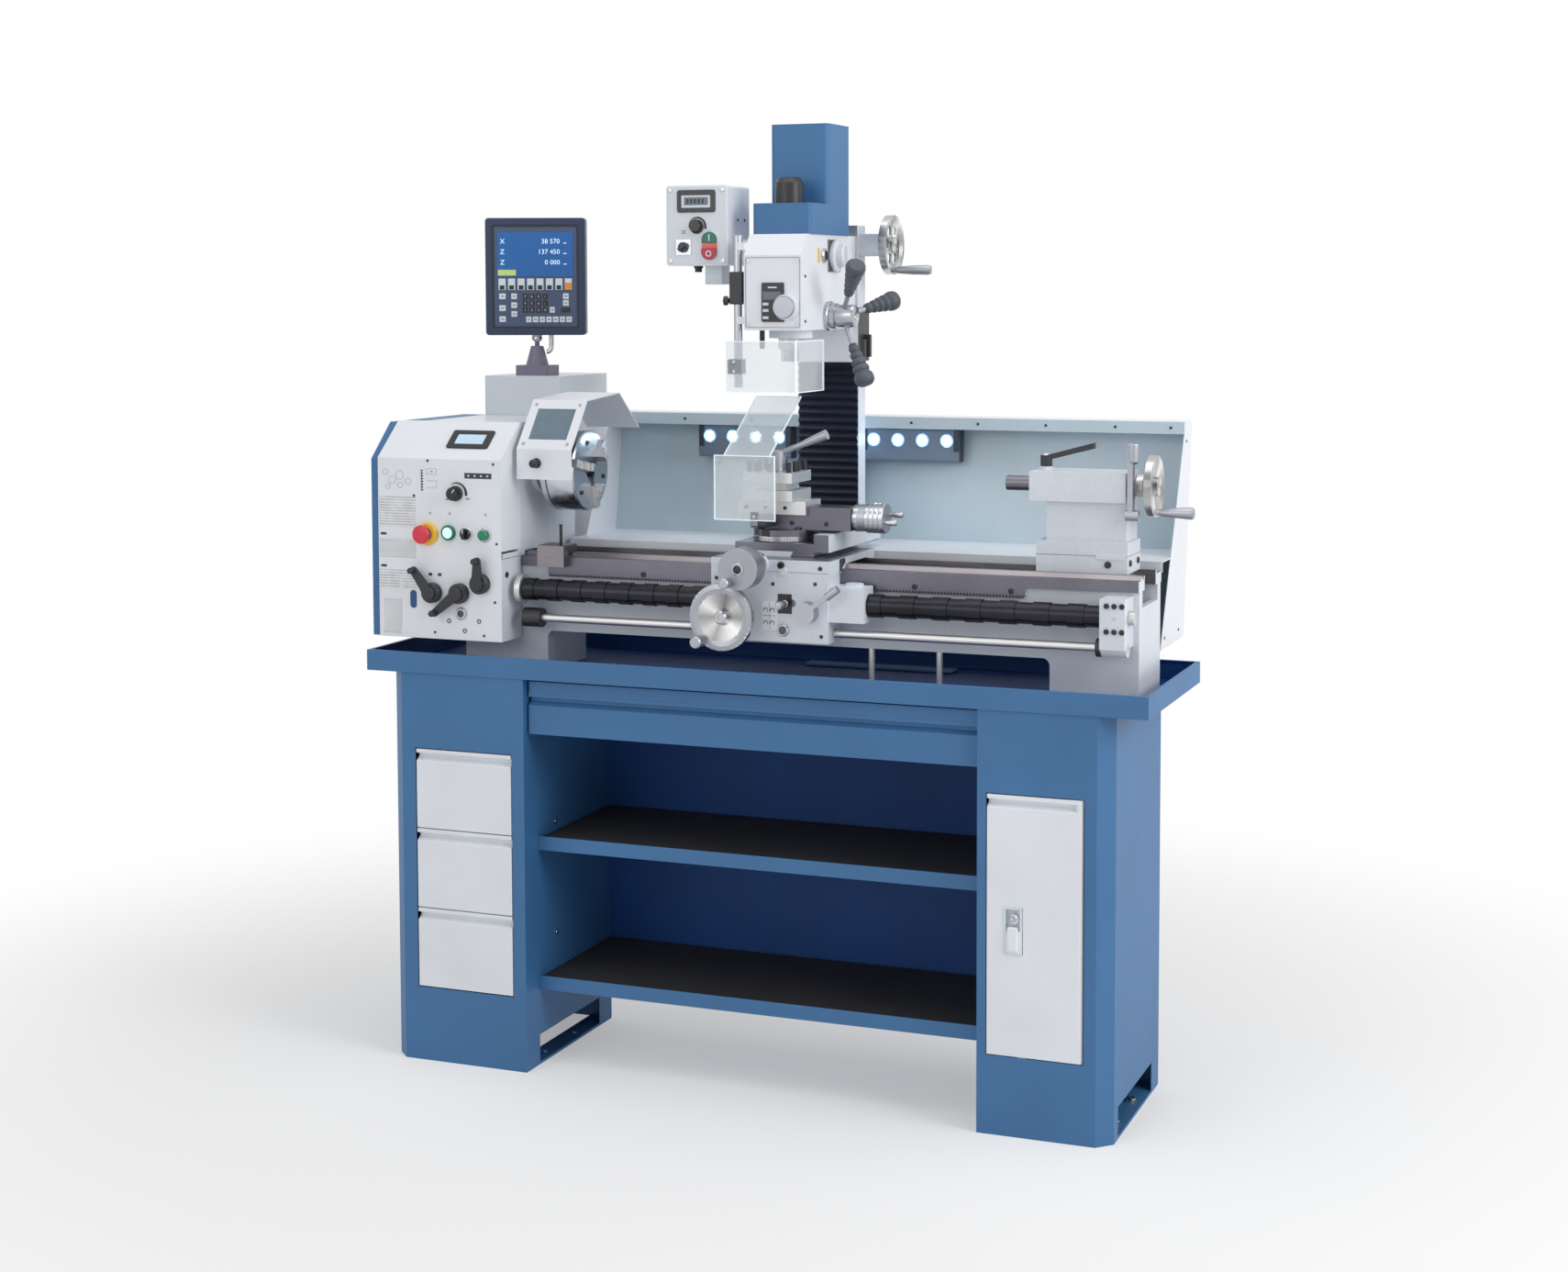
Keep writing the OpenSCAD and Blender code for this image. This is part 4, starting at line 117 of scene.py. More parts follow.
class NodeSketch:
    """Short way to lay out a material's nodes."""

    def __init__(self, name: str) -> None:
        """Start a material of this name with a surface shader in it."""
        self.material = bpy.data.materials.new(name)
        self.material.use_nodes = True
        self.tree = self.material.node_tree
        self.shader = self.tree.nodes["Principled BSDF"]
        self.place = self.add("ShaderNodeTexCoord")

    def add(self, kind: str, **values: object) -> Node:
        """Add a node and set its plain properties.

        Args:
            kind: the node's type name.
            values: properties of the node by name.

        Returns:
            The new node.
        """
        node = self.tree.nodes.new(kind)
        for key, value in values.items():
            setattr(node, key, value)
        return node

    def link(self, source: Node, out: str, target: Node, into: str) -> None:
        """Join one node's output to another's input, both by name."""
        self.tree.links.new(source.outputs[out], target.inputs[into])

    def mapping(self, scale: Point, at: Point = (0.0, 0.0, 0.0), turn: Point = (0.0, 0.0, 0.0)) -> Node:
        """Add a mapping of the object's coordinates about a point.

        Args:
            scale: size of the pattern along each direction.
            at: centre of the pattern in metres.
            turn: turn of the pattern in degrees.

        Returns:
            The mapping node.
        """
        shift = self.add("ShaderNodeMapping", vector_type="POINT")
        shift.inputs["Location"].default_value = [-p for p in at]
        self.link(self.place, "Object", shift, "Vector")
        node = self.add("ShaderNodeMapping", vector_type="POINT")
        node.inputs["Rotation"].default_value = [math.radians(t) for t in turn]
        node.inputs["Scale"].default_value = scale
        self.link(shift, "Vector", node, "Vector")
        return node

    def noise(self, mapping: Node, scale: float, detail: float = 3.0) -> Node:
        """Add a noise pattern on a mapping and return it."""
        node = self.add("ShaderNodeTexNoise")
        node.inputs["Scale"].default_value = scale
        node.inputs["Detail"].default_value = detail
        self.link(mapping, "Vector", node, "Vector")
        return node

    def wave(self, mapping: Node, scale: float, axis: Axis, kind: str = "BANDS") -> Node:
        """Add a wave pattern on a mapping.

        Args:
            mapping: node that gives the place.
            scale: scale of the waves.
            axis: direction that bands follow one another in, or that rings turn about.
            kind: BANDS or RINGS.

        Returns:
            The wave node.
        """
        node = self.add("ShaderNodeTexWave", wave_type=kind)
        setattr(node, f"{kind.lower()}_direction", axis.value)
        node.inputs["Scale"].default_value = scale
        self.link(mapping, "Vector", node, "Vector")
        return node

    def multiply(self, first: Node, second: Node) -> Node:
        """Multiply the values of two nodes and return the product's node."""
        node = self.add("ShaderNodeMath", operation="MULTIPLY")
        for slot, source in enumerate((first, second)):
            out = next(o for o in source.outputs if o.name in ("Fac", "Value"))
            self.tree.links.new(out, node.inputs[slot])
        return node

    def ramp(self, source: Node, out: str, stops: Sequence[tuple[float, Colour]]) -> Node:
        """Add a colour ramp fed by an output.

        Args:
            source: node that drives the ramp.
            out: name of its output.
            stops: places from 0 to 1 with the screen colours there.

        Returns:
            The ramp node.
        """
        node = self.add("ShaderNodeValToRGB")
        ramp = node.color_ramp
        while len(ramp.elements) < len(stops):
            ramp.elements.new(0.5)
        for element, (place, colour) in zip(ramp.elements, stops):
            element.position = place
            element.color = to_linear(colour)
        self.link(source, out, node, "Fac")
        return node

    def range(self, source: Node, out: str, low: float, high: float, into: str) -> None:
        """Stretch an output between two values and feed it to a shader input.

        Args:
            source: node that gives the value.
            out: name of its output.
            low: value where the output is NOISE_LOW.
            high: value where the output is NOISE_HIGH.
            into: name of the shader's input.
        """
        node = self.add("ShaderNodeMapRange")
        node.inputs["From Min"].default_value = NOISE_LOW
        node.inputs["From Max"].default_value = NOISE_HIGH
        node.inputs["To Min"].default_value = low
        node.inputs["To Max"].default_value = high
        self.link(source, out, node, "Value")
        self.link(node, "Result", self.shader, into)

    def bump(self, source: Node, out: str, strength: float, depth: float) -> None:
        """Feed an output to the shader's normal as a bump of this depth in metres."""
        node = self.add("ShaderNodeBump")
        node.inputs["Strength"].default_value = strength
        node.inputs["Distance"].default_value = depth
        self.link(source, out, node, "Height")
        self.link(node, "Normal", self.shader, "Normal")

    def set(self, **values: float) -> None:
        """Set the shader's plain inputs, named in lower case with underscores."""
        for key, value in values.items():
            self.shader.inputs[key.replace("_", " ").title().replace("Ior", "IOR")].default_value = value


@dataclass(frozen=True)
class Finish:
    """A surface with a fine grain in its colour, gloss and relief.

    Attributes:
        name: name of the material.
        colour: screen colour.
        shade: how much darker the grain gets, 0 to 1.
        roughness: middle roughness.
        spread: how far roughness moves about the middle.
        metallic: 1 for bare metal.
        grain: scale of the grain per metre.
        stretch: stretch of the grain, small along the direction of the scratches.
        relief: bump strength.
        depth: bump depth in millimetres.
        coat: strength of a clear top coat.
    """

    name: str
    colour: Colour
    shade: float = 0.05
    roughness: float = 0.4
    spread: float = 0.05
    metallic: float = 0.0
    grain: float = 400.0
    stretch: Point = (1.0, 1.0, 1.0)
    relief: float = 0.06
    depth: float = 0.1
    coat: float = 0.0

    def material(self) -> bpy.types.Material:
        """Return the material, made the first time that it is asked for."""
        made = bpy.data.materials.get(self.name)
        if made:
            return made
        sketch = NodeSketch(self.name)
        grain = sketch.noise(sketch.mapping(self.stretch), self.grain)
        cloud = sketch.noise(sketch.mapping((1.0, 1.0, 1.0)), CLOUD_SCALE, 2.0)
        mixed = sketch.add("ShaderNodeMath", operation="MULTIPLY_ADD")
        mixed.inputs[1].default_value = GRAIN_SHARE
        sketch.link(grain, "Fac", mixed, "Value")
        sketch.tree.links.new(cloud.outputs["Fac"], mixed.inputs[2])
        dark = tuple(c * (1.0 - self.shade) for c in self.colour)
        light = tuple(min(1.0, c * (1.0 + 0.4 * self.shade)) for c in self.colour)
        tint = sketch.ramp(mixed, "Value", [(0.45, dark), (1.0, light)])
        sketch.link(tint, "Color", sketch.shader, "Base Color")
        sketch.range(grain, "Fac", self.roughness - self.spread, self.roughness + self.spread, "Roughness")
        sketch.bump(grain, "Fac", self.relief, self.depth * MM)
        sketch.set(metallic=self.metallic, coat_weight=self.coat, coat_roughness=COAT_ROUGHNESS)
        self.extra(sketch)
        return sketch.material

    def extra(self, sketch: NodeSketch) -> None:
        """Add what a special finish needs; a plain one needs nothing."""


@dataclass(frozen=True)
class MetalFinish(Finish):
    """Bare metal with fine scratches."""

    roughness: float = 0.3
    spread: float = 0.08
    metallic: float = 1.0
    grain: float = 700.0
    relief: float = 0.12


@dataclass(frozen=True)
class TurnedFinish(MetalFinish):
    """Metal turned on a lathe, with fine rings about an axis.

    Attributes:
        axis: axis of the rings.
        centre: a point on that axis, in millimetres.
        rings: rings per metre.
        painted_reflections: shades of grey met in one turn about the axis, painted reflections of the polish
            laid over the colour.
    """

    axis: Axis = Axis.X
    centre: Point = (0.0, 0.0, 0.0)
    rings: float = 260.0
    painted_reflections: tuple[float, ...] = ()

    def extra(self, sketch: NodeSketch) -> None:
        """Lay the rings over the grain of the roughness and the relief, and the painted reflections over the
        colour.
        """
        middle = tuple(c * MM for c in self.centre)
        wave = sketch.wave(sketch.mapping((1, 1, 1), middle), self.rings, self.axis, "RINGS")
        wave.inputs["Distortion"].default_value = 1.5
        wave.inputs["Detail"].default_value = 2.0
        sketch.range(wave, "Fac", self.roughness - self.spread, self.roughness + self.spread, "Roughness")
        sketch.bump(wave, "Fac", self.relief, self.depth * MM)
        # Painted reflections: bands of grey round the axis take the place of the base colour.
        if self.painted_reflections:
            around = sketch.add("ShaderNodeTexGradient", gradient_type="RADIAL")
            turn = (90.0, 0.0, 0.0) if self.axis is Axis.Y else (0.0, 90.0, 0.0)
            sketch.link(sketch.mapping((1, 1, 1), middle, turn), "Vector", around, "Vector")
            last = len(self.painted_reflections) - 1
            tint = sketch.ramp(around, "Fac", [(i / last, (v, v, v)) for i, v in enumerate(self.painted_reflections)])
            sketch.link(tint, "Color", sketch.shader, "Base Color")


@dataclass(frozen=True)
class ClearFinish(Finish):
    """Clear sheet plastic with faint scratches."""

    def extra(self, sketch: NodeSketch) -> None:
        """Let most light through without bending it."""
        sketch.set(transmission_weight=0.0, ior=1.45, alpha=0.05)
        sketch.material.surface_render_method = "BLENDED"


@dataclass(frozen=True)
class GlowFinish(Finish):
    """A lit surface.

    Attributes:
        glow: strength of the light it gives.
    """

    grain: float = 40.0
    relief: float = 0.01
    glow: float = 1.0

    def extra(self, sketch: NodeSketch) -> None:
        """Send the grained colour out as light."""
        ramp = next(n for n in sketch.tree.nodes if n.bl_idname == "ShaderNodeValToRGB")
        sketch.link(ramp, "Color", sketch.shader, "Emission Color")
        sketch.set(emission_strength=self.glow)


@dataclass(frozen=True)
class ChartFinish(Finish):
    """A printed chart: rows of short marks on a pale ground.

    Attributes:
        row: distance between two rows in millimetres.
        mark: distance between two marks along a row in millimetres.
        ink: colour of the marks.
    """

    row: float = 5.4
    mark: float = 4.2
    ink: Colour = (0.50, 0.49, 0.56)

    def extra(self, sketch: NodeSketch) -> None:
        """Cross rows with columns and leave some of the marks out."""
        period = math.tau / WAVE_TURN
        plain = sketch.mapping((1.0, 1.0, 1.0))
        rows = sketch.wave(plain, period / (self.row * MM), Axis.Z)
        marks = sketch.wave(plain, period / (self.mark * MM), Axis.X)
        gaps = sketch.noise(plain, 0.4 / (self.mark * MM), 1.0)
        both = sketch.multiply(sketch.multiply(rows, marks), gaps)
        tint = sketch.ramp(both, "Value", [(0.20, self.colour), (0.30, self.ink)])
        sketch.link(tint, "Color", sketch.shader, "Base Color")


def wheel_finish(name: str, axis: Axis, centre: Point) -> TurnedFinish:
    """Return the pale polish of a handwheel turned about an axis through a point in millimetres, with painted
    reflections over its colour.
    """
    return TurnedFinish(f"polished_with_painted_reflections_{name}", (0.84, 0.84, 0.85), 0.06, 0.3, axis=axis, centre=centre,
                        relief=0.1, depth=0.2, painted_reflections=WHEEL_PAINTED_REFLECTIONS)


# Enamels and powder coats; the two darker inner tones are painted shade
BLUE = Finish("blue_powder_coat", (0.24, 0.44, 0.63), 0.05, 0.5, grain=700, relief=0.12, depth=0.3)
# Blue of the inner faces, undersides and the tray's inside: the outer blue darkened as painted shade.
BLUE_PAINTED_SHADE = Finish("blue_powder_coat_painted_shade", (0.02, 0.27, 0.54), 0.12, 0.6, grain=700,
                   relief=0.12, depth=0.3)
WHITE = Finish("white_powder_coat", (0.91, 0.925, 0.95), 0.03, 0.40, grain=650, relief=0.1,
               depth=0.3, coat=0.15)
PALE = Finish("pale_grey_enamel", (0.85, 0.875, 0.905), 0.04, 0.38, grain=260, relief=0.1,
              depth=0.4, coat=0.2)
CAST = Finish("grey_casting_enamel", (0.84, 0.865, 0.90), 0.05, 0.42, grain=150, relief=0.22,
              depth=0.6, coat=0.15)
# Inner face of the splash guard: the white enamel greyed as painted shade.
GUARD_PAINTED_SHADE = Finish("guard_enamel_painted_shade", (0.75, 0.82, 0.86), 0.05, 0.40, grain=400, relief=0.1,
                depth=0.3, coat=0.15)
PILLAR = Finish("violet_grey_pillar", (0.47, 0.46, 0.54), 0.08, 0.4, relief=0.1, depth=0.2)

# Bare metals
WAYS = MetalFinish("ground_ways", (0.54, 0.52, 0.535), 0.14, 0.34, grain=900, stretch=(0.02, 1.0, 1.0))
GROUND = MetalFinish("ground_steel", (0.60, 0.605, 0.635), 0.12, 0.32, stretch=(0.05, 1.0, 1.0))
GROUND_Y = MetalFinish("ground_steel_across", (0.60, 0.605, 0.635), 0.12, 0.32, stretch=(1.0, 0.05, 1.0))
SLIDE = MetalFinish("dark_ground_slide", (0.44, 0.435, 0.475), 0.12, 0.36, stretch=(0.05, 1.0, 1.0))
BRIGHT = MetalFinish("bright_steel", (0.72, 0.725, 0.75), 0.08, 0.24, grain=500, relief=0.08)
SATIN = MetalFinish("satin_alloy", (0.66, 0.67, 0.70), 0.06, 0.42, grain=500, relief=0.1)
CHUCK = TurnedFinish("turned_chuck", (0.76, 0.78, 0.81), 0.1, 0.22, relief=0.1, depth=0.2, axis=Axis.X,
                     centre=(-400, 0, 1175))
SPRING = MetalFinish("blued_strip", (0.13, 0.13, 0.16), 0.3, 0.26, metallic=0.6, grain=500,
                     stretch=(0.1, 1.0, 1.0))
# The three wheel finishes carry painted reflections round their axes.
CARRIAGE_WHEEL = wheel_finish("carriage_wheel", Axis.Y, (-8, -212, 925))
CROSS_WHEEL = TurnedFinish("turned_cross_wheel", (0.62, 0.62, 0.66), 0.06, 0.42, axis=Axis.Y,
                           centre=(43, -236, 1021), relief=0.1, depth=0.2)
TAIL_WHEEL = wheel_finish("tail_wheel", Axis.X, (768, 0, 1175))
LIFT_WHEEL = wheel_finish("lift_wheel", Axis.X, (173, 235, 1623))

# Plastics, rubber and cloth
BLACK = Finish("black_moulding", (0.16, 0.165, 0.19), 0.2, 0.42, grain=900, relief=0.2, depth=0.2)
GLOSS_BLACK = Finish("black_gloss", (0.10, 0.10, 0.115), 0.2, 0.24)
CAP = Finish("black_motor_cap", (0.145, 0.14, 0.165), 0.2, 0.36, grain=800, relief=0.15, depth=0.2)
GRIP = Finish("dark_grey_grip", (0.31, 0.33, 0.37), 0.2, 0.5, grain=800, relief=0.25, depth=0.3)
MAT = Finish("rubber_mat", (0.14, 0.135, 0.14), 0.35, 0.75, 0.1, grain=500, relief=0.5, depth=0.8)
BELLOWS = Finish("bellows_cloth", (0.10, 0.125, 0.21), 0.3, 0.45, 0.2, grain=600, relief=0.25, depth=0.4)
RED = Finish("red_moulding", (0.84, 0.20, 0.28), 0.1, 0.3)
DARK_RED = Finish("dark_red_moulding", (0.70, 0.16, 0.27), 0.1, 0.3)
CORAL = Finish("coral_window", (0.86, 0.40, 0.36), 0.1, 0.3)
GREEN = Finish("green_moulding", (0.10, 0.50, 0.36), 0.1, 0.3)
DARK_GREEN = Finish("dark_green_moulding", (0.08, 0.42, 0.33), 0.1, 0.3)
YELLOW = Finish("yellow_moulding", (0.94, 0.76, 0.28), 0.1, 0.4)
BADGE_BLUE = Finish("blue_badge", (0.13, 0.31, 0.53), 0.1, 0.35)

# Displays, keys and print
CASE = Finish("navy_case", (0.14, 0.20, 0.32), 0.1, 0.42, 0.25, grain=800, relief=0.15, depth=0.2)
PAD = Finish("keypad_sheet", (0.27, 0.33, 0.45), 0.08, 0.45, grain=900, relief=0.1)
KEY = Finish("pale_key", (0.86, 0.90, 0.93), 0.05, 0.4, grain=500, relief=0.08)
ORANGE = Finish("orange_key", (0.94, 0.58, 0.20), 0.08, 0.4, grain=500, relief=0.08)
INK = Finish("dark_ink", (0.20, 0.21, 0.24), 0.15, 0.5, grain=900)
THIN_INK = Finish("thin_grey_ink", (0.62, 0.62, 0.67), 0.1, 0.5, grain=900)
SMOKED = Finish("smoked_window", (0.42, 0.50, 0.56), 0.1, 0.12, grain=60)
OIL = Finish("oil_window", (0.34, 0.35, 0.34), 0.3, 0.12, grain=120)
GREY_LCD = Finish("grey_display", (0.40, 0.44, 0.48), 0.08, 0.25, grain=60)
CHART = ChartFinish("printed_chart", (0.90, 0.91, 0.92), 0.02, 0.45)
CLEAR = ClearFinish("clear_sheet", (0.90, 0.94, 0.97), 0.03, 0.08, 0.03, grain=80, relief=0.02)
# Glowing edges of the clear sheets: a painted highlight, the edges give no light.
CLEAR_EDGE_PAINTED_HIGHLIGHT = GlowFinish("clear_sheet_edge_painted_highlight", (0.93, 0.97, 1.0), 0.03, 0.2, grain=200, relief=0.05, glow=0.25)
SCREEN = GlowFinish("lit_screen", (0.10, 0.38, 0.65), 0.05, 0.35, 0.1, glow=0.08)
LCD = GlowFinish("pale_display", (0.68, 0.80, 0.88), 0.05, 0.25, glow=0.35)
DIGIT = GlowFinish("lit_digit", (0.80, 0.90, 1.0), 0.03, 0.3, glow=0.6)
LIME = GlowFinish("lit_label", (0.74, 0.83, 0.48), 0.05, 0.3, glow=0.15)

# Lamps
LAMP_CASE = Finish("lamp_housing", (0.45, 0.52, 0.60), 0.1, 0.35, grain=500, relief=0.1)
LAMP_DARK = Finish("lamp_end_cap", (0.17, 0.20, 0.27), 0.15, 0.4, grain=500, relief=0.1)
LED = GlowFinish("led_lens", (0.86, 0.94, 1.0), 0.02, 0.2, glow=70.0)
# The reflectors glow with painted light from the LEDs; they give none of their own.
DISH_PAINTED_GLOW = GlowFinish("led_reflector_painted_glow", (0.62, 0.78, 0.96), 0.06, 0.2, glow=0.3)
LAMP_GREEN = GlowFinish("lit_green_lens", (0.72, 0.98, 0.86), 0.08, 0.2, glow=0.9)


# Modelling with hand tools


def clear_selection() -> None:
    """Deselect every object, out of edit mode."""
    if bpy.context.object and bpy.context.object.mode != "OBJECT":
        bpy.ops.object.mode_set(mode="OBJECT")
    for item in list(bpy.context.selected_objects):
        item.select_set(False)


def pick(*items: Shape) -> None:
    """Select these objects only and make the first one active."""
    clear_selection()
    for item in items:
        item.select_set(True)
    bpy.context.view_layer.objects.active = items[0]


def settle(item: Shape) -> Shape:
    """Put an object's place, turn and size into its mesh."""
    pick(item)
    bpy.ops.object.transform_apply(location=True, rotation=True, scale=True)
    return item


def edit(item: Shape, mode: str = "FACE") -> bmesh.types.BMesh:
    """Open an object's mesh for editing with nothing selected.

    Args:
        item: the object.
        mode: VERT, EDGE or FACE.

    Returns:
        The live edit mesh.
    """
    pick(item)
    bpy.ops.object.mode_set(mode="EDIT")
    bpy.ops.mesh.select_mode(type=mode)
    bpy.ops.mesh.select_all(action="DESELECT")
    return bmesh.from_edit_mesh(item.data)


def done(item: Shape) -> Shape:
    """Leave edit mode and return the object."""
    bmesh.update_edit_mesh(item.data)
    bpy.ops.object.mode_set(mode="OBJECT")
    return item


def round_edges(item: Shape, width: float, segments: int = 2, angle: float = 35.0) -> Shape:
    """Round every edge sharper than an angle with an applied bevel.

    Args:
        item: the object.
        width: width of the rounding in millimetres.
        segments: steps across the rounding.
        angle: sharpest angle left alone, in degrees.

    Returns:
        The same object.
    """
    pick(item)
    bevel = item.modifiers.new("rounding", "BEVEL")
    bevel.width = width * MM
    bevel.segments = segments
    bevel.limit_method = "ANGLE"
    bevel.angle_limit = math.radians(angle)
    bevel.harden_normals = False
    bpy.ops.object.modifier_apply(modifier=bevel.name)
    return item


def block(name: str, low: Point, high: Point, rounding: float = 0.8, segments: int = 2) -> Shape:
    """Model a block between two corners, with rounded edges.

    Args:
        name: name of the piece.
        low: lowest corner in millimetres.
        high: highest corner in millimetres.
        rounding: width of the rounded edges in millimetres.
        segments: steps across each rounding.

    Returns:
        The block.
    """
    clear_selection()
    bpy.ops.mesh.primitive_cube_add(size=1.0, location=[(a + b) / 2 * MM for a, b in zip(low, high)])
    item = bpy.context.object
    item.name = name
    item.scale = [(b - a) * MM for a, b in zip(low, high)]
    settle(item)
    return round_edges(item, rounding, segments) if rounding else item


def rod(name: str, start: Point, end: Point, radius: float, rounding: float = 0.6, sides: int = 40,
        top: Optional[float] = None) -> Shape:
    """Model a round bar between two points, with eased rims.

    Args:
        name: name of the piece.
        start: centre of the first end in millimetres.
        end: centre of the other end.
        radius: radius at the start.
        rounding: width of the eased rims; 0 leaves them sharp.
        sides: facets around.
        top: radius at the end where it differs.

    Returns:
        The bar.
    """
    a, b = Vector(start) * MM, Vector(end) * MM
    clear_selection()
    bpy.ops.mesh.primitive_cone_add(vertices=sides, radius1=radius * MM,
                                    radius2=(radius if top is None else top) * MM,
                                    depth=(b - a).length, location=(a + b) / 2,
                                    rotation=(b - a).to_track_quat("Z", "Y").to_euler())
    item = bpy.context.object
    item.name = name
    settle(item)
    return round_edges(item, rounding, 2, 50.0) if rounding else item


def turned(name: str, at: Point, axis: Vector, profile: Profile, steps: int = 64) -> Shape:
    """Spin a profile about an axis into a closed turned shape.

    Args:
        name: name of the piece.
        at: point on the axis in millimetres.
        axis: direction of the axis.
        profile: points as (radius, distance along the axis), in millimetres, in order.
        steps: facets around.

    Returns:
        The turned shape.
    """
    turn = axis.to_track_quat("Z", "Y").to_matrix().to_4x4()
    place = Matrix.Translation(Vector(at) * MM) @ turn
    mesh = bpy.data.meshes.new(name)
    points = [place @ Vector((r * MM, 0.0, d * MM)) for r, d in profile]
    mesh.from_pydata(points, [(i, i + 1) for i in range(len(points) - 1)], [])
    item = bpy.data.objects.new(name, mesh)
    bpy.context.collection.objects.link(item)
    edit(item, "VERT")
    bpy.ops.mesh.select_all(action="SELECT")
    bpy.ops.mesh.spin(steps=steps, angle=math.tau, center=Vector(at) * MM, axis=axis)
    bpy.ops.mesh.select_all(action="SELECT")
    bpy.ops.mesh.remove_doubles(threshold=WELD)
    bpy.ops.mesh.normals_make_consistent(inside=False)
    return done(item)


def outline(name: str, points: Sequence[Point], depth: Point, rounding: float = 0.4) -> Shape:
    """Extrude a flat outline into a plate.

    Args:
        name: name of the piece.
        points: the outline's corners in millimetres, in order.
        depth: extrusion in millimetres.
        rounding: width of the rounded edges.

    Returns:
        The plate.
    """
    mesh = bpy.data.meshes.new(name)
    mesh.from_pydata([Vector(p) * MM for p in points], [], [list(range(len(points)))])
    item = bpy.data.objects.new(name, mesh)
    bpy.context.collection.objects.link(item)
    edit(item)
    bpy.ops.mesh.select_all(action="SELECT")
    bpy.ops.mesh.extrude_region_move(TRANSFORM_OT_translate={"value": Vector(depth) * MM})
    bpy.ops.mesh.select_all(action="SELECT")
    bpy.ops.mesh.normals_make_consistent(inside=False)
    done(item)
    return round_edges(item, rounding, 2) if rounding else item


def rounded_outline(x0: float, z0: float, x1: float, z1: float, r: float, y: float,
                    steps: int = 6) -> list[Point]:
    """Return the corners of a rounded rectangle standing in an XZ plane at y."""
    corners = [(x1 - r, z1 - r, 0), (x0 + r, z1 - r, 90), (x0 + r, z0 + r, 180), (x1 - r, z0 + r, 270)]
    return [(cx + r * math.cos(math.radians(a + 90 * k / steps)), y,
             cz + r * math.sin(math.radians(a + 90 * k / steps)))
            for cx, cz, a in corners for k in range(steps + 1)]


def tile(x0: float, z0: float, x1: float, z1: float, y: float, thick: float = 0.3, r: float = 0.5) -> Shape:
    """Model a thin plate with rounded corners that stands in an XZ plane, from y inwards."""
    return outline("tile", rounded_outline(x0, z0, x1, z1, min(r, (z1 - z0) / 2.1, (x1 - x0) / 2.1), y, 3),
                   (0, thick, 0), 0)


def ring_outline(centre: Point, inner: float, outer: float, start: float, end: float,
                 grow: float = 1.0) -> list[Point]:
    """Return a flat arc in an XZ plane, as wide as outer less inner, shrinking by grow towards its end.

    Args:
        centre: centre of the arc.
        inner: inner radius.
        outer: outer radius at the start.
        start: first angle in degrees, from +X towards +Z.
        end: last angle in degrees.
        grow: width at the end as a share of the width at the start.
    """
    steps = max(6, int(abs(end - start) / 8))
    shares = [i / steps for i in range(steps + 1)]

    def at(radius: float, share: float) -> Point:
        angle = math.radians(start + (end - start) * share)
        return (centre[0] + radius * math.cos(angle), centre[1], centre[2] + radius * math.sin(angle))

    outside = [at(inner + (outer - inner) * (1 + (grow - 1) * s), s) for s in shares]
    return outside + [at(inner, s) for s in reversed(shares)]


def tube(name: str, points: Sequence[Point], radius: float, sides: int = 6) -> Shape:
    """Model a smooth tube through points, in millimetres, as a mesh."""
    curve = bpy.data.curves.new(name, "CURVE")
    curve.dimensions = "3D"
    curve.bevel_depth = radius * MM
    curve.bevel_resolution = sides
    curve.use_fill_caps = True
    spline = curve.splines.new("POLY")
    spline.points.add(len(points) - 1)
    for knot, p in zip(spline.points, points):
        knot.co = (*(Vector(p) * MM), 1.0)
    item = bpy.data.objects.new(name, curve)
    bpy.context.collection.objects.link(item)
    pick(item)
    bpy.ops.object.convert(target="MESH")
    return bpy.context.object


def figures(name: str, words: str, size: float, at: Point, turn: Point = (90.0, 0.0, 0.0),
            depth: float = 0.15) -> Shape:
    """Model plain figures standing on a face.

    Args:
        name: name of the piece.
        words: digits to show.
        size: height in millimetres.
        at: lower left corner in millimetres.
        turn: turn in degrees.
        depth: thickness in millimetres.

    Returns:
        The figures as a mesh.
    """
    clear_selection()
    bpy.ops.object.text_add(location=Vector(at) * MM, rotation=[math.radians(t) for t in turn])
    item = bpy.context.object
    item.name = name
    item.data.body = words
    item.data.size = size * MM * FONT_SIZE
    item.data.extrude = depth * MM
    item.data.resolution_u = 2
    bpy.ops.object.convert(target="MESH")
    return settle(bpy.context.object)


def join(name: str, parts: Sequence[Shape]) -> Shape:
    """Join pieces of one finish into one object."""
    pick(*parts)
    if len(parts) > 1:
        bpy.ops.object.join()
    item = bpy.context.object
    item.name = name
    return item


def cut(item: Shape, tool: Shape) -> Shape:
    """Cut one shape out of another and drop the cutting shape."""
    pick(item)
    step = item.modifiers.new("cut", "BOOLEAN")
    step.operation = "DIFFERENCE"
    step.solver = "EXACT"
    step.object = tool
    bpy.ops.object.modifier_apply(modifier=step.name)
    bpy.data.objects.remove(tool)
    return item


def turn_about(item: Shape, at: Point, axis: Axis, degrees: float) -> Shape:
    """Turn a settled piece about an axis through a point."""
    place = Matrix.Translation(Vector(at) * MM)
    item.data.transform(place @ Matrix.Rotation(math.radians(degrees), 4, axis.value) @ place.inverted())
    return item


def move(item: Shape, by: Point) -> Shape:
    """Move a settled piece's mesh by millimetres."""
    item.data.transform(Matrix.Translation(Vector(by) * MM))
    return item


def copy_of(item: Shape, by: Point = (0.0, 0.0, 0.0)) -> Shape:
    """Copy a piece with a mesh of its own and move it by millimetres."""
    twin = item.copy()
    twin.data = item.data.copy()
    bpy.context.collection.objects.link(twin)
    return move(twin, by)


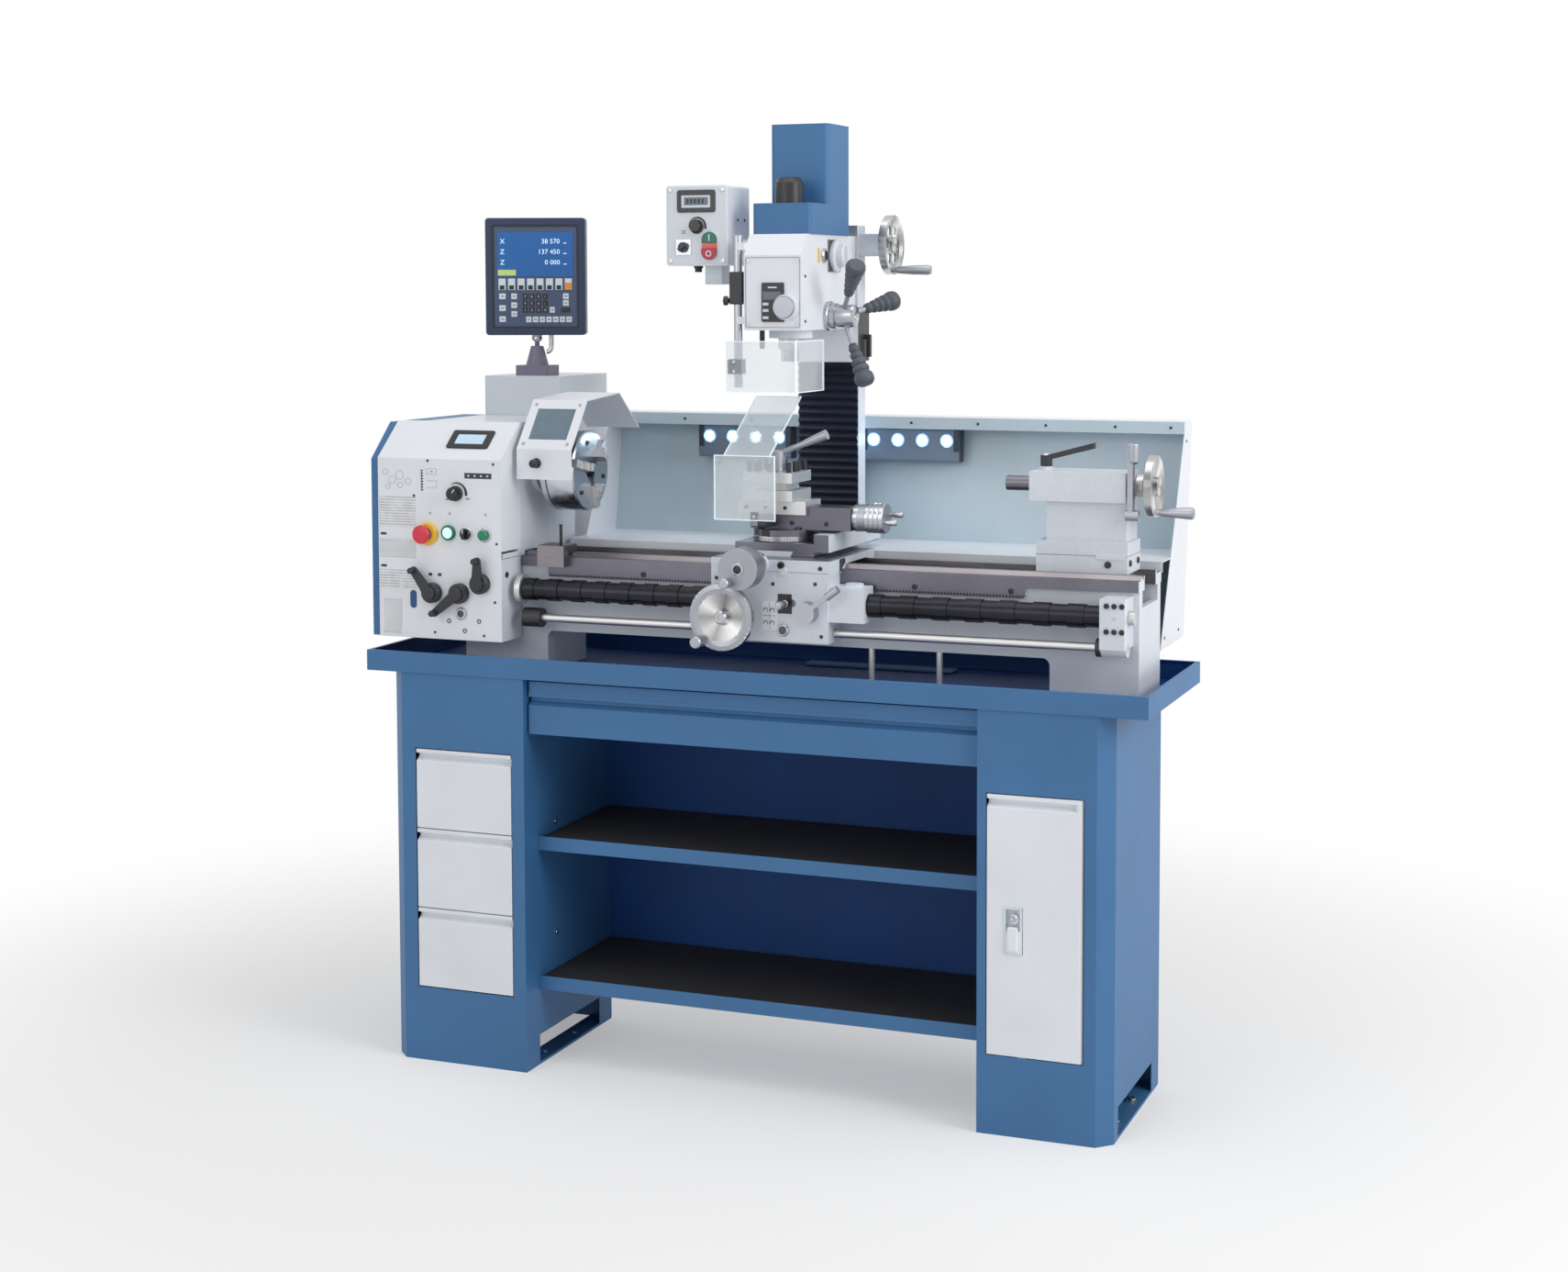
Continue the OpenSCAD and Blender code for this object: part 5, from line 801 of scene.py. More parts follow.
def dress(item: Shape, finish: Finish, body: str, *replaced: str, smooth: float = 35.0) -> Shape:
    """Give a piece its finish, its shading and the body it moves with.

    Args:
        item: the piece.
        finish: its finish.
        body: name of the body that carries it.
        replaced: names of the modelled nodes that it stands for.
        smooth: angle under which edges shade smoothly.

    Returns:
        The piece.
    """
    item.data.materials.clear()
    item.data.materials.append(finish.material())
    pick(item)
    bpy.ops.object.shade_smooth_by_angle(angle=math.radians(smooth))
    fair = item.modifiers.new("fair", "WEIGHTED_NORMAL")
    fair.keep_sharp = True
    bpy.ops.object.modifier_apply(modifier=fair.name)
    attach(item, body)
    if replaced:
        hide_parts(*replaced)
    return item


Zone = tuple[Callable[[Vector, Vector], bool], Finish]


@dataclass
class Fittings:
    """Shared shapes and the frame they are fitted to.

    Attributes:
        frame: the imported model's frame.
        count: number of pieces made.
    """

    frame: dict
    count: int = 0

    def casting(self, node: str, finish: Finish, body: str, width: float = 0.8, zones: Sequence[Zone] = (),
                segments: int = 2) -> Shape:
        """Copy a node's shape, ease its edges and give its zones their finishes.

        Args:
            node: name of the modelled node.
            finish: main finish.
            body: body that carries it.
            width: width of the eased edges in millimetres.
            zones: tests on a face's centre in millimetres and its normal, each with a finish.
            segments: steps across each eased edge.

        Returns:
            The dressed copy, which stands for the node.
        """
        source = self.frame["nodes"][node]
        item = bpy.data.objects.new(f"{node}_shape", source.data.copy())
        bpy.context.collection.objects.link(item)
        edit(item, "VERT")
        bpy.ops.mesh.select_all(action="SELECT")
        bpy.ops.mesh.remove_doubles(threshold=WELD)
        bpy.ops.mesh.dissolve_limited(angle_limit=math.radians(FLAT))
        done(item)
        if width:
            round_edges(item, width, segments, 30.0)
        dress(item, finish, body, node)
        for _, zone_finish in zones:
            item.data.materials.append(zone_finish.material())
        for face in item.data.polygons:
            centre = Vector(face.center) / MM
            for index, (test, _) in enumerate(zones):
                if test(centre, face.normal):
                    face.material_index = index + 1
                    break
        self.count += 1
        return item

    def piece(self, item: Shape, finish: Finish, body: str, *replaced: str) -> Shape:
        """Dress a new piece and count it."""
        self.count += 1
        return dress(item, finish, body, *replaced)

    def screws(self, name: str, finish: Finish, body: str, places: Sequence[Point], axis: Vector,
               radius: float, height: float, socket: float = 0.5) -> Shape:
        """Fit socket-head screws: one is modelled and the rest are copies.

        Args:
            name: name of the piece.
            finish: finish of the heads.
            body: body that carries them.
            places: centres of the heads' seats in millimetres.
            axis: direction that the heads face.
            radius: radius of a head.
            height: height of a head above its seat.
            socket: radius of the socket as a share of the head's.

        Returns:
            The screws as one piece.
        """
        r, h = radius, height
        first = turned(f"{name}_one", (0, 0, 0), axis,
                       [(0, -0.4), (r, -0.4), (r, 0.8 * h), (0.88 * r, h), (socket * r, h),
                        (socket * r, 0.35 * h), (0, 0.3 * h)], 20)
        parts = [copy_of(first, p) for p in places]
        bpy.data.objects.remove(first)
        return self.piece(join(name, parts), finish, body)

    def skin(self, node: str, finish: Finish) -> Shape:
        """Give a modelled node its finish and leave its shape as it is."""
        item = self.frame["nodes"][node]
        item.data.materials.clear()
        item.data.materials.append(finish.material())
        self.count += 1
        return item


# Sub-assemblies


@dataclass
class Stand:
    """Two cabinets with drawers, a door, a wide drawer, two shelves and the chip tray.

    Attributes:
        fit: shared shapes.
        latch_at: lower left corner of the door's latch.
        screw_rows: places of the screws on the left cabinet's inner side, as (y, z).
    """

    fit: Fittings
    latch_at: Point = (539.0, -190.0, 337.0)
    screw_rows: tuple[tuple[float, float], ...] = ((-60.0, 474.0), (60.0, 438.0), (-60.0, 249.0),
                                                   (60.0, 142.0))

    def build(self) -> None:
        """Build the stand from the floor up."""
        fit = self.fit
        # Inner faces, the back panel, shelf undersides, the tray's inside and the wide drawer's box take the
        # blue darkened as painted shade.
        fit.casting("left_cabinet", BLUE, "stand", 1.2, [
            (lambda c, n: -733 < c.x < -437 and -187 < c.y < 187 and c.z > 10 and c.x + c.y > -896.5,
             BLUE_PAINTED_SHADE)])
        fit.casting("right_cabinet", BLUE, "stand", 1.2, [
            (lambda c, n: 487 < c.x < 733 and -187 < c.y < 187 and c.z > 10 and c.y - c.x > -896.5,
             BLUE_PAINTED_SHADE)])
        fit.casting("shelves", BLUE, "stand", 0.8, [
            (lambda c, n: n.z > 0.9 and c.y > -132 and -423 < c.x < 475, MAT),
            (lambda c, n: c.y > 180 or n.z < -0.9, BLUE_PAINTED_SHADE)])
        fit.casting("chip_tray", BLUE, "stand", 1.4, [
            (lambda c, n: c.z < 790 and n.z > 0.9, BLUE_PAINTED_SHADE),
            (lambda c, n: c.z > 784 and abs(n.z) < 0.5 and c.x * n.x + c.y * n.y < -1, BLUE_PAINTED_SHADE)])
        for node in ("drawer_bottom", "drawer_middle", "drawer_top"):
            fit.casting(node, WHITE, node, 1.0)
        fit.casting("wide_drawer", BLUE, "wide_drawer", 1.0, [(lambda c, n: c.y > -158, BLUE_PAINTED_SHADE)])
        fit.piece(block("wide_drawer_lip", (-431, -175.6, 750), (483, -160.4, 775), 1.0, 2), BLUE,
                  "wide_drawer")
        fit.casting("cabinet_door", WHITE, "cabinet_door", 1.0, [
            (lambda c, n: c.z < 148.6 or c.z > 627.4, BRIGHT),
            (lambda c, n: c.y > -189.4 and 538 < c.x < 574 and 336 < c.z < 424 and c.y < -170, KEY)])
        self.small_parts()

    def small_parts(self) -> None:
        """Fit the latch's paddle and lock, the cabinet screws, the anchor screws and the tray's stiffener."""
        x, y, z = self.latch_at
        paddle = block("latch_paddle", (x + 5, y - 6, z + 6), (x + 25, y + 3, z + 50), 3.0, 4)
        self.fit.piece(paddle, WHITE, "cabinet_door")
        frame = outline("latch_rim", rounded_outline(x - 3, z - 3, x + 33, z + 87, 5, y - 1.5),
                        (0, 1.6, 0), 0.5)
        hole = block("latch_hole", (x + 2, y - 5, z + 2), (x + 28, y + 5, z + 82), 0)
        self.fit.piece(cut(frame, hole), PALE, "cabinet_door")
        barrel = turned("latch_lock", (x + 15, y + 8, z + 66), FRONT,
                        [(0, 0), (8, 0), (8, 8), (6.5, 9.4), (3, 9.4), (2.4, 8.6), (0, 8.6)], 32)
        self.fit.piece(barrel, BRIGHT, "cabinet_door")
        self.fit.screws("cabinet_screws", BRIGHT, "stand", [(-436, yy, zz) for yy, zz in self.screw_rows],
                        RIGHT, 5, 3.2)
        self.fit.screws("anchor_screws", BRIGHT, "stand",
                        [(s * 712, yy, 4) for s in (-1, 1) for yy in (-65, 65)], UP, 10, 6)
        rib = outline("tray_rib", [(20, 150, 782.5), (330, 150, 782.5), (330, 190, 782.5), (20, 190, 782.5)],
                      (0, 0, 6), 2.0)
        self.fit.piece(rib, BLUE, "stand")


@dataclass
class Bed:
    """Bed casting with its ways, rack, end bracket and screws.

    Attributes:
        fit: shared shapes.
        way_z: height of the ground ways.
        rack_screws: places of the rack's screws along the bed.
    """

    fit: Fittings
    way_z: float = 1010.0
    rack_screws: tuple[float, ...] = (-223.0, 55.0, 333.0, 519.0)

    def build(self) -> None:
        """Build the bed, its screws and its end bracket."""
        fit, z = self.fit, self.way_z
        fit.casting("bed", CAST, "stand", 1.2, [
            (lambda c, n: c.z > z + 23.5 and -446 < c.x < -384, GLOSS_BLACK),
            (lambda c, n: self.on_stop(c) and n.y < -0.5, WAYS), (lambda c, n: self.on_stop(c), PALE),
            (lambda c, n: z - 20.8 < c.z < z + 9 and c.x < 758, WAYS),
            (lambda c, n: -91 < c.y < -83.5 and z - 41 < c.z < z - 19 and -430 < c.x < 545, SLIDE),
            (lambda c,
             n: min(abs(c.x - 242), abs(c.x - 376)) < 6.6 and -92 < c.y < -60 and c.z < 905, GROUND)])
        fit.casting("leadscrew", GROUND, "leadscrew", 0.6)
        fit.casting("feed_rod", GROUND, "feed_rod", 0.8, [
            (lambda c, n: c.x < -424 and abs(c.y + 122) < 20 and (n.x < -0.5 or c.x > -464), BLACK),
            (lambda c, n: 660 < c.x < 695 and (abs(c.y + 122) > 9 or abs(c.z - 893) > 9), BLACK)])
        fit.skin("screw_cover_left", SPRING)
        fit.skin("screw_cover_right", SPRING)
        out, end = FRONT, RIGHT
        fit.screws("rack_screws", BLACK, "stand", [(x, -90, z - 27) for x in self.rack_screws], out, 5.2, 2.4)
        fit.screws("bracket_screws", BLACK, "stand",
                   [(x, -150, zz) for x in (713, 727, 741) for zz in (926, 972)], out, 5, 2.6)
        fit.piece(rod("bracket_pin", (727, -149, 950), (727, -151, 950), 3, 0.4), BRIGHT, "stand")
        fit.screws("stop_screws", BLACK, "stand", [(-386, -80, z + 8)], end, 6, 3)
        fit.screws("foot_bolts", BRIGHT, "stand",
                   [(x, y, 794) for x in (-582, -474, 629, 719) for y in (-48, 48)], UP, 11, 9, 0.4)

    def on_stop(self, c: Vector) -> bool:
        """Tell whether a face centre lies on the stop block of the front way."""
        high_or_front = c.z > self.way_z + 9.5 or c.y < -91
        return -446 < c.x < -384 and c.y < -20 and c.z > self.way_z - 19 and high_or_front


@dataclass
class Headstock:
    """Headstock, its operating panel with controls, gear cover and electrics cabinet.

    Attributes:
        fit: shared shapes.
        face: place of the panel's front along Y.
        tilt: turn of the sloping part of the panel about X, in degrees.
        dial: place of the speed knob as (x, z).
    """

    fit: Fittings
    face: float = -172.0
    tilt: float = -49.4
    dial: tuple[float, float] = (-589.0, 1137.0)

    def build(self) -> None:
        """Build the headstock and everything on its panel."""
        fit = self.fit
        fit.casting("headstock", PALE, "stand", 1.6)
        fit.casting("front_panel", WHITE, "stand", 0.9)
        fit.casting("gear_cover", BLUE, "gear_cover", 1.2)
        fit.casting("electrics_cabinet", PALE, "stand", 1.0, [
            (lambda c, n: c.z > 1356.5 and abs(c.x + 597) < 45 and abs(c.y - 190) < 35, PILLAR)])
        self.display()
        self.prints()
        self.buttons()
        self.lever("gear_lever_left", (-643, 939), 56, 37)
        self.lever("gear_lever_middle", (-582, 940), 62, 129)
        self.lever("gear_lever_right", (-535, 961), 46, 0)
        self.trim()

    def display(self) -> None:
        """Fit the pale display on the slope."""
        frame = outline("lathe_display_frame", rounded_outline(-46.5, -25, 46.5, 25, 5, -3), (0, 5, 0), 1.2)
        frame = cut(frame, block("lathe_display_hole", (-32, -6, -14), (32, -1.2, 14), 0))
        glass = block("lathe_display_glass", (-32, -1.8, -14), (32, 0, 14), 0.4)
        cells = join("lathe_display_cells",
                     [tile(-24 + i * 9, -5, -18 + i * 9, 5, -2.1, 0.4) for i in range(6)])
        for item, finish in ((frame, GLOSS_BLACK), (glass, LCD), (cells, PALE)):
            move(turn_about(item, (0, 0, 0), Axis.X, self.tilt), (-578, -130, 1240))
            self.fit.piece(item, finish, "stand")

    def prints(self) -> None:
        """Print the generic charts, scales and ports on the panel."""
        y, (dx, dz) = self.face - 0.3, self.dial
        sheets = [(-763, 1067, -680, 1127), (-763, 1006, -680, 1044), (-763, 943, -680, 982),
                  (-757, 852, -715, 922)]
        self.fit.piece(join("printed_charts", [tile(*sheet, y) for sheet in sheets]), CHART, "stand")
        gears = [(-748, 1176, 6), (-733, 1160, 8), (-716, 1170, 9), (-715, 1150, 6), (-697, 1158, 7),
                 (-743, 1147, 5)]
        thin = [self.turn("gear_sketch", (x, z), [(r - 0.8, 0), (r - 0.8, 0.3), (r, 0.3), (r, 0)])
                for x, z, r in gears]
        thin += [tile(x, z, x + w, z + h, y) for x, z, w, h in
                 ((-655, 1173, 22, 0.7), (-655, 1184, 22, 0.7), (-655, 1146, 22, 0.7), (-655, 1160, 22, 0.7),
                  (-655.4, 1173, 0.7, 11.7), (-633, 1173, 0.7, 11.7), (-633, 1146, 0.7, 14.7),
                  (-646, 1177, 5, 3), (dx - 24, dz - 14, 7, 4), (dx + 22, dz - 12, 8, 4))]
        thin += [tile(x, 1094, x + 4, 1099, y) for x in (-650, -606, -526)]
        self.fit.piece(join("thin_marks", thin), THIN_INK, "stand")
        ink = [tile(-761, z, -748, z + 5, y) for z in (1050, 986)]
        ink += [tile(-666.4, 1140, -664.6, 1181, y)]
        ink += [tile(-669, 1141 + 5.6 * i, -662, 1142.4 + 5.6 * i, y) for i in range(8)]
        ink += [tile(-570, 1167, -510, 1178, y, r=1), tile(-653, 972, -645, 978, y),
                tile(-632, 972, -624, 978, y)]
        ink += [outline("speed_arc", ring_outline((dx, y, dz), 19.5, 25.5, -10, 120, 0.25), (0, 0.3, 0), 0)]
        ink += [self.turn("port", at, [(2.6, 0), (2.6, 0.5), (4.6, 0.5), (4.6, 0)])
                for at in ((-608, 884), (-573, 866), (-541, 886))]
        self.fit.piece(join("panel_marks", ink), INK, "stand")
        dots = [rod("dot", (-561 + 14 * i, y - 0.4, 1172.5), (-561 + 14 * i, y, 1172.5), 2, 0, 16)
                for i in range(4)]
        self.fit.piece(join("speed_dots", dots), KEY, "stand")

    def turn(self, name: str, at: tuple[float, float], profile: Profile) -> Shape:
        """Model a turned piece facing out of the panel at (x, z)."""
        return turned(name, (at[0], self.face, at[1]), FRONT, profile, 48)

    def buttons(self) -> None:
        """Fit the stop, lamp, selector, start button and speed knob."""
        fit, y, turn, (dx, dz) = self.fit, self.face, self.turn, self.dial
        fit.piece(turn("stop_ring", (-653, 1055), [(12, 0), (23, 0), (23, 2), (20, 7), (12, 7)]),
                  YELLOW, "stand")
        cap = turn("stop_cap", (-659, 1055),
                   [(0, 6), (10, 6), (12, 12), (17, 14), (18.8, 17), (18.8, 19), (17, 22),
                    (10, 23), (0, 23.4)])
        fit.piece(cap, RED, "emergency_stop", "emergency_stop")
        fit.piece(turn("lamp_ring", (-606, 1059), [(11, 0), (15, 0), (15, 6), (13, 8), (11, 8)]),
                  DARK_GREEN, "stand")
        fit.piece(turn("lamp_lens", (-606, 1059), [(0, 1), (11, 1), (11, 7), (8, 9.5), (0, 10.5)]),
                  LAMP_GREEN, "stand")
        fit.piece(turn("selector_ring", (-567, 1058), [(10, 0), (14, 0), (14, 2), (12.5, 3), (10, 3)]),
                  BRIGHT, "stand")
        body = turn("selector_knob", (-567, 1058), [(0, 0), (11.5, 0), (11.5, 7), (10, 9), (0, 9)])
        grip = block("selector_grip", (-570.5, y - 17, 1048), (-563.5, y - 8, 1069), 1.6, 3)
        fit.piece(join("selector", [body, grip]), GLOSS_BLACK, "stand")
        fit.piece(block("selector_mark", (-568, y - 17.3, 1060), (-566, y - 16.4, 1068), 0.2), KEY, "stand")
        collar = [(10.6, 0), (13.6, 0), (13.6, 4), (12.5, 5), (10.6, 5)]
        fit.piece(turn("start_ring", (-526, 1057), collar), BRIGHT, "stand")
        push = turn("start_cap", (-526, 1057), [(0, 1), (10.2, 1), (10.2, 12), (9, 13.6), (0, 14)])
        fit.piece(push, GREEN, "start_button", "start_button")
        knob = turn("speed_knob", self.dial,
                    [(0, 0.4), (15, 0.4), (15, 5), (12.6, 6.5), (12, 19), (10.8, 20.2), (0, 20.2)])
        ribs = [turn_about(block("rib", (dx - 1.1, y - 18.5, dz + 11.4), (dx + 1.1, y - 6.5, dz + 13.2), 0.5),
                           (dx, y, dz), Axis.Y, 20 * i) for i in range(18)]
        fit.piece(join("speed_knob", [knob, *ribs]), GLOSS_BLACK, "speed_dial", "speed_dial")
        mark = block("speed_mark", (dx - 1, y - 20.7, dz + 3), (dx + 1, y - 19.9, dz + 11), 0.2)
        fit.piece(turn_about(mark, (dx, y, dz), Axis.Y, 35), KEY, "speed_dial")

    def lever(self, name: str, at: tuple[float, float], length: float, turn: float) -> None:
        """Model one gear lever: a stepped hub, a tapering arm and its pin.

        Args:
            name: node and body that it stands for.
            at: place of the hub as (x, z).
            length: distance from hub to pin.
            turn: angle of the arm from upright, in degrees.
        """
        x, z = at
        out = FRONT
        hub = turned("hub", (x, self.face - 0.3, z), out,
                     [(0, 0), (20, 0), (20, 13), (18.5, 15), (14, 15.5), (13, 20.5),
                      (9, 21.8), (4, 21.8), (3.2, 20.2), (0, 20.2)], 56)
        wide, thin = 11.5, 7.6
        angles = [math.pi * i / 10 for i in range(11)]
        low = [(x - wide * math.cos(a), z - wide * math.sin(a)) for a in angles]
        high = [(x + thin * math.cos(a), z + length + thin * math.sin(a)) for a in angles]
        arm = outline("arm", [(px, self.face - 22.2, pz) for px, pz in low + high], (0, 8.6, 0), 1.8)
        pin = turned("pin", (x, self.face - 20, z + length), out,
                     [(0, 0), (6.2, 0), (5.4, 4), (6.6, 11), (5.8, 13.4), (0, 14)], 32)
        item = join(f"{name}_arm", [hub, arm, pin])
        turn_about(item, (x, self.face, z), Axis.Y, -turn)
        self.fit.piece(item, BLACK, name, name)

    def trim(self) -> None:
        """Fit the oil window, bare badge, screws and seam of the panel."""
        fit, y, out = self.fit, self.face, FRONT
        fit.piece(self.turn("oil_ring", (-580, 900), [(7, 0), (12, 0), (12, 3), (10, 4.4), (7, 4.4)]),
                  BRIGHT, "stand")
        fit.piece(self.turn("oil_glass", (-580, 900), [(0, 0), (7.2, 0), (7.2, 2.6), (0, 3.4)]), OIL, "stand")
        badge = [(-688 + 7.5 * math.cos(a), y - 0.5,
                  924 + math.copysign(10.5, math.sin(a) + 1e-9) + 7.5 * math.sin(a))
                 for a in (math.tau * i / 36 for i in range(36))]
        fit.piece(outline("nameless_badge", badge, (0, 0.6, 0), 0.2), BADGE_BLUE, "stand")
        places = [(-652, 1200), (-506, 1196), (-684, 1130), (-500, 1040), (-505, 925), (-640, 860),
                  (-530, 858)]
        fit.screws("panel_screws", INK, "stand", [(x, y, z) for x, z in places], out, 2.6, 1.2, 0.4)
        fit.piece(block("gearbox_side", (-494, -165.4, 1006), (-490.8, -86, 1020), 0.2), PALE, "stand")
        fit.piece(block("gearbox_seam", (-492, -165.6, 1009.6), (-490.5, -86, 1010.4), 0), INK, "stand")
        fit.screws("side_plug", BLACK, "stand", [(-491, -150, 978)], RIGHT, 6, 2)


@dataclass
class Readout:
    """Display of the digital readout on its pillar.

    Attributes:
        fit: shared shapes.
        foot: place of its turning axis at the display's bottom edge.
        turn: turn of the display about that axis, in degrees.
        size: width, depth and height of the display.
    """

    fit: Fittings
    foot: Point = (-597.0, 190.0, 1441.0)
    turn: float = 21.0
    size: Point = (209.0, 42.0, 244.0)

    def place(self, item: Shape, finish: Finish, *replaced: str) -> None:
        """Turn a piece modelled square onto the display and dress it."""
        move(turn_about(item, (0, 0, 0), Axis.Z, self.turn), self.foot)
        self.fit.piece(item, finish, "dro_display", *replaced)

    def build(self) -> None:
        """Build the housing, the screen with its figures and the keys."""
        w, d, h = (self.size[0] / 2, self.size[1] / 2, self.size[2])
        case = outline("readout_case", rounded_outline(-w, 0, w, h, 7, -d), (0, self.size[1], 0), 2.2)
        self.place(cut(case, block("recess", (-w + 14, -d - 4, 14), (w - 14, -d + 4, h - 14), 0)), CASE,
                   "dro_display")
        rim = outline("readout_bezel", rounded_outline(-w + 13, 13, w - 13, h - 13, 4, -d + 1.2),
                      (0, 4, 0), 0.8)
        self.place(cut(rim, block("bezel_hole", (-w + 18, -d - 4, 18), (w - 18, -d + 9, h - 18), 0)),
                   GLOSS_BLACK)
        self.place(block("readout_keypad", (-w + 17, -d + 2.8, 17), (w - 17, -d + 4.2, h - 17), 0.3), PAD)
        z0, y = h - 121.8, -d + 2.0
        self.place(block("readout_screen", (-w + 25, y, z0), (-w + 183, y + 1.4, h - 29.6), 0.3), SCREEN)
        lit: list[Shape] = []
        for z, value, axis in zip((h - 53.4, h - 75, h - 97), ("38 570", "137 450", "0 000"), "XZZ"):
            text = figures("value", value, 10.4, (0, y - 0.2, z))
            edge = max(v.co.x for v in text.data.vertices) / MM
            lit += [move(text, (-w + 155.6 - edge, 0, 0)), figures("axis", axis, 10.4, (-w + 31, y - 0.2, z)),
                    tile(-w + 163, z, -w + 170, z + 1.5, y - 0.4)]
        self.place(join("readout_figures", lit), DIGIT)
        self.place(block("readout_label", (-w + 26, y - 0.4, z0 + 2), (-w + 63.7, y + 0.4, z0 + 14), 0.2),
                   LIME)
        self.keys(-w, -d + 2.9, h)
        ball = turned("readout_socket", (0, 0, -14), UP, [(5.2, 0), (9, 1), (11.5, 6), (10.5, 11), (12.5, 15),
                                                          (5.2, 15)], 40)
        self.place(ball, BRIGHT)
        bend = [math.pi / 2 * i / 8 for i in range(9)]
        hose = [(30, 0, 1), (30, 0, -24)] + [(20 + 10 * math.cos(a), 0, -25 - 10 * math.sin(a)) for a in bend]
        self.place(tube("readout_hose", hose, 5.0), GROUND)
        rings = [turned("hose_ring", (30, 0, -23 + 2.6 * i), UP,
                        [(4.8, -0.7), (5.4, -0.4), (5.4, 0.4), (4.8, 0.7)], 24) for i in range(9)]
        self.place(join("hose_rings", rings), BRIGHT)

    def keys(self, x: float, y: float, h: float) -> None:
        """Lay out the soft keys, number keys and function keys.

        Args:
            x: left edge of the display.
            y: face of the keypad.
            h: height of the display's top edge.
        """
        def key(kx: float, kz: float, wide: float, high: float, proud: float = 1.4) -> Shape:
            """Model one key centred at kx from the left edge and kz below the top edge."""
            cx, cz = x + kx, h - kz
            return block("key", (cx - wide / 2, y - proud, cz - high / 2),
                         (cx + wide / 2, y + 0.2, cz + high / 2), 0.6)

        soft = [34.7 + 19.76 * i for i in range(8)]
        columns = [(35, z, 13.4) for z in (163, 187.6, 210.5)] + [(59.4, z, 12) for z in (163, 181.5, 199.7)]
        row = [(89.8 + 14.05 * i, 211.3, 11.5) for i in range(7)]
        side = [(139, 191.4, 10.5), (167.5, 163, 12), (167.5, 177, 12)]
        small = columns + row + side
        pale = [key(kx, 138, 14.8, 24) for kx in soft] + [key(kx, kz, wide, 12) for kx, kz, wide in small]
        self.place(join("pale_keys", pale), KEY)
        self.place(key(soft[7], 142.5, 14, 15, 1.7), ORANGE)
        numbers = [(82.5 + 14 * i, 163.4 + 14 * j) for j in range(3) for i in range(4)]
        dark = [key(kx, 144.6, 10, 9, 1.8) for kx in soft[:7]] + [key(kx, kz, 10.5, 11) for kx, kz in numbers]
        dark.append(key(167, 191.9, 19, 9))
        self.place(join("dark_keys", dark), GLOSS_BLACK)
        digits = [figures("digit", value, 5.2, (x + kx - 1.8, y - 1.45, h - kz - 2.6), depth=0.1)
                  for (kx, kz), value in zip(numbers, "789/456-1230")]
        self.place(join("key_digits", digits), KEY)
        inked = [tile(x + kx - 3, h - kz - 0.8, x + kx + 3, h - kz + 0.8, y - 1.6) for kx, kz, _ in small]
        self.place(join("key_ink", inked), INK)


@dataclass
class ChuckAndGuard:
    """Spindle, three-jaw chuck and the hinged hood with its window.

    Attributes:
        fit: shared shapes.
        centre: height of the spindle.
    """

    fit: Fittings
    centre: float = 1175.0

    def build(self) -> None:
        """Build the chuck with its jaws and the guard."""
        fit, axis = self.fit, RIGHT
        fit.casting("spindle", GROUND, "spindle", 0.8)
        fit.casting("chuck_body", CHUCK, "spindle", 1.4, segments=3)
        for i in (1, 2, 3):
            fit.casting(f"chuck_jaw_{i}", GROUND, f"jaw_{i}", 0.8)
        seat, top = (-380.2, 0, self.centre + 58), (-377.4, 0, self.centre + 58)
        bolts = [turn_about(rod("bolt", seat, top, 4.4, 0.4, 24), (0, 0, self.centre), Axis.X, a)
                 for a in (15, 135, 255)]
        fit.piece(join("chuck_face_screws", bolts), BLACK, "spindle")
        groove = [(80.25, 0), (80.45, 0.5), (80.45, 2.0), (80.25, 2.5)]
        fit.piece(turned("chuck_back_groove", (-441.5, 0, self.centre), axis, groove, 96),
                  GLOSS_BLACK, "spindle")
        fit.casting("chuck_guard", WHITE, "chuck_guard", 0.9, [
            (lambda c, n: self.in_window(c), SMOKED), (lambda c, n: c.y < -124.6, BLACK)])
        places = [(x, -125 + 73 * t, 1224 + 94 * t) for x in (-468, -372) for t in (0.11, 0.90)]
        fit.screws("window_screws", BRIGHT, "chuck_guard", places, Vector((0, -0.79, 0.61)), 3.2, 1.8, 0.4)
        knob = turned("guard_knob_skirt", (-436, -124, 1197), FRONT,
                      [(0, 0), (10, 0), (10, 2), (7.6, 3), (6.6, 9), (8.6, 13), (8.2, 17), (0, 18)], 36)
        fit.piece(knob, GLOSS_BLACK, "chuck_guard")

    @staticmethod
    def in_window(c: Vector) -> bool:
        """Tell whether a face centre lies on the window sheet behind the hood's opening."""
        foot_y, foot_z, rise_y, rise_z, length = -125.0, 1224.0, 73.0, 94.0, 119.0
        dy, dz = c.y - foot_y, c.z - foot_z
        along = (dy * rise_y + dz * rise_z) / (rise_y ** 2 + rise_z ** 2)
        behind = dy * rise_z / length - dz * rise_y / length
        return 0.1 < along < 0.92 and 1.9 < behind < 4.6


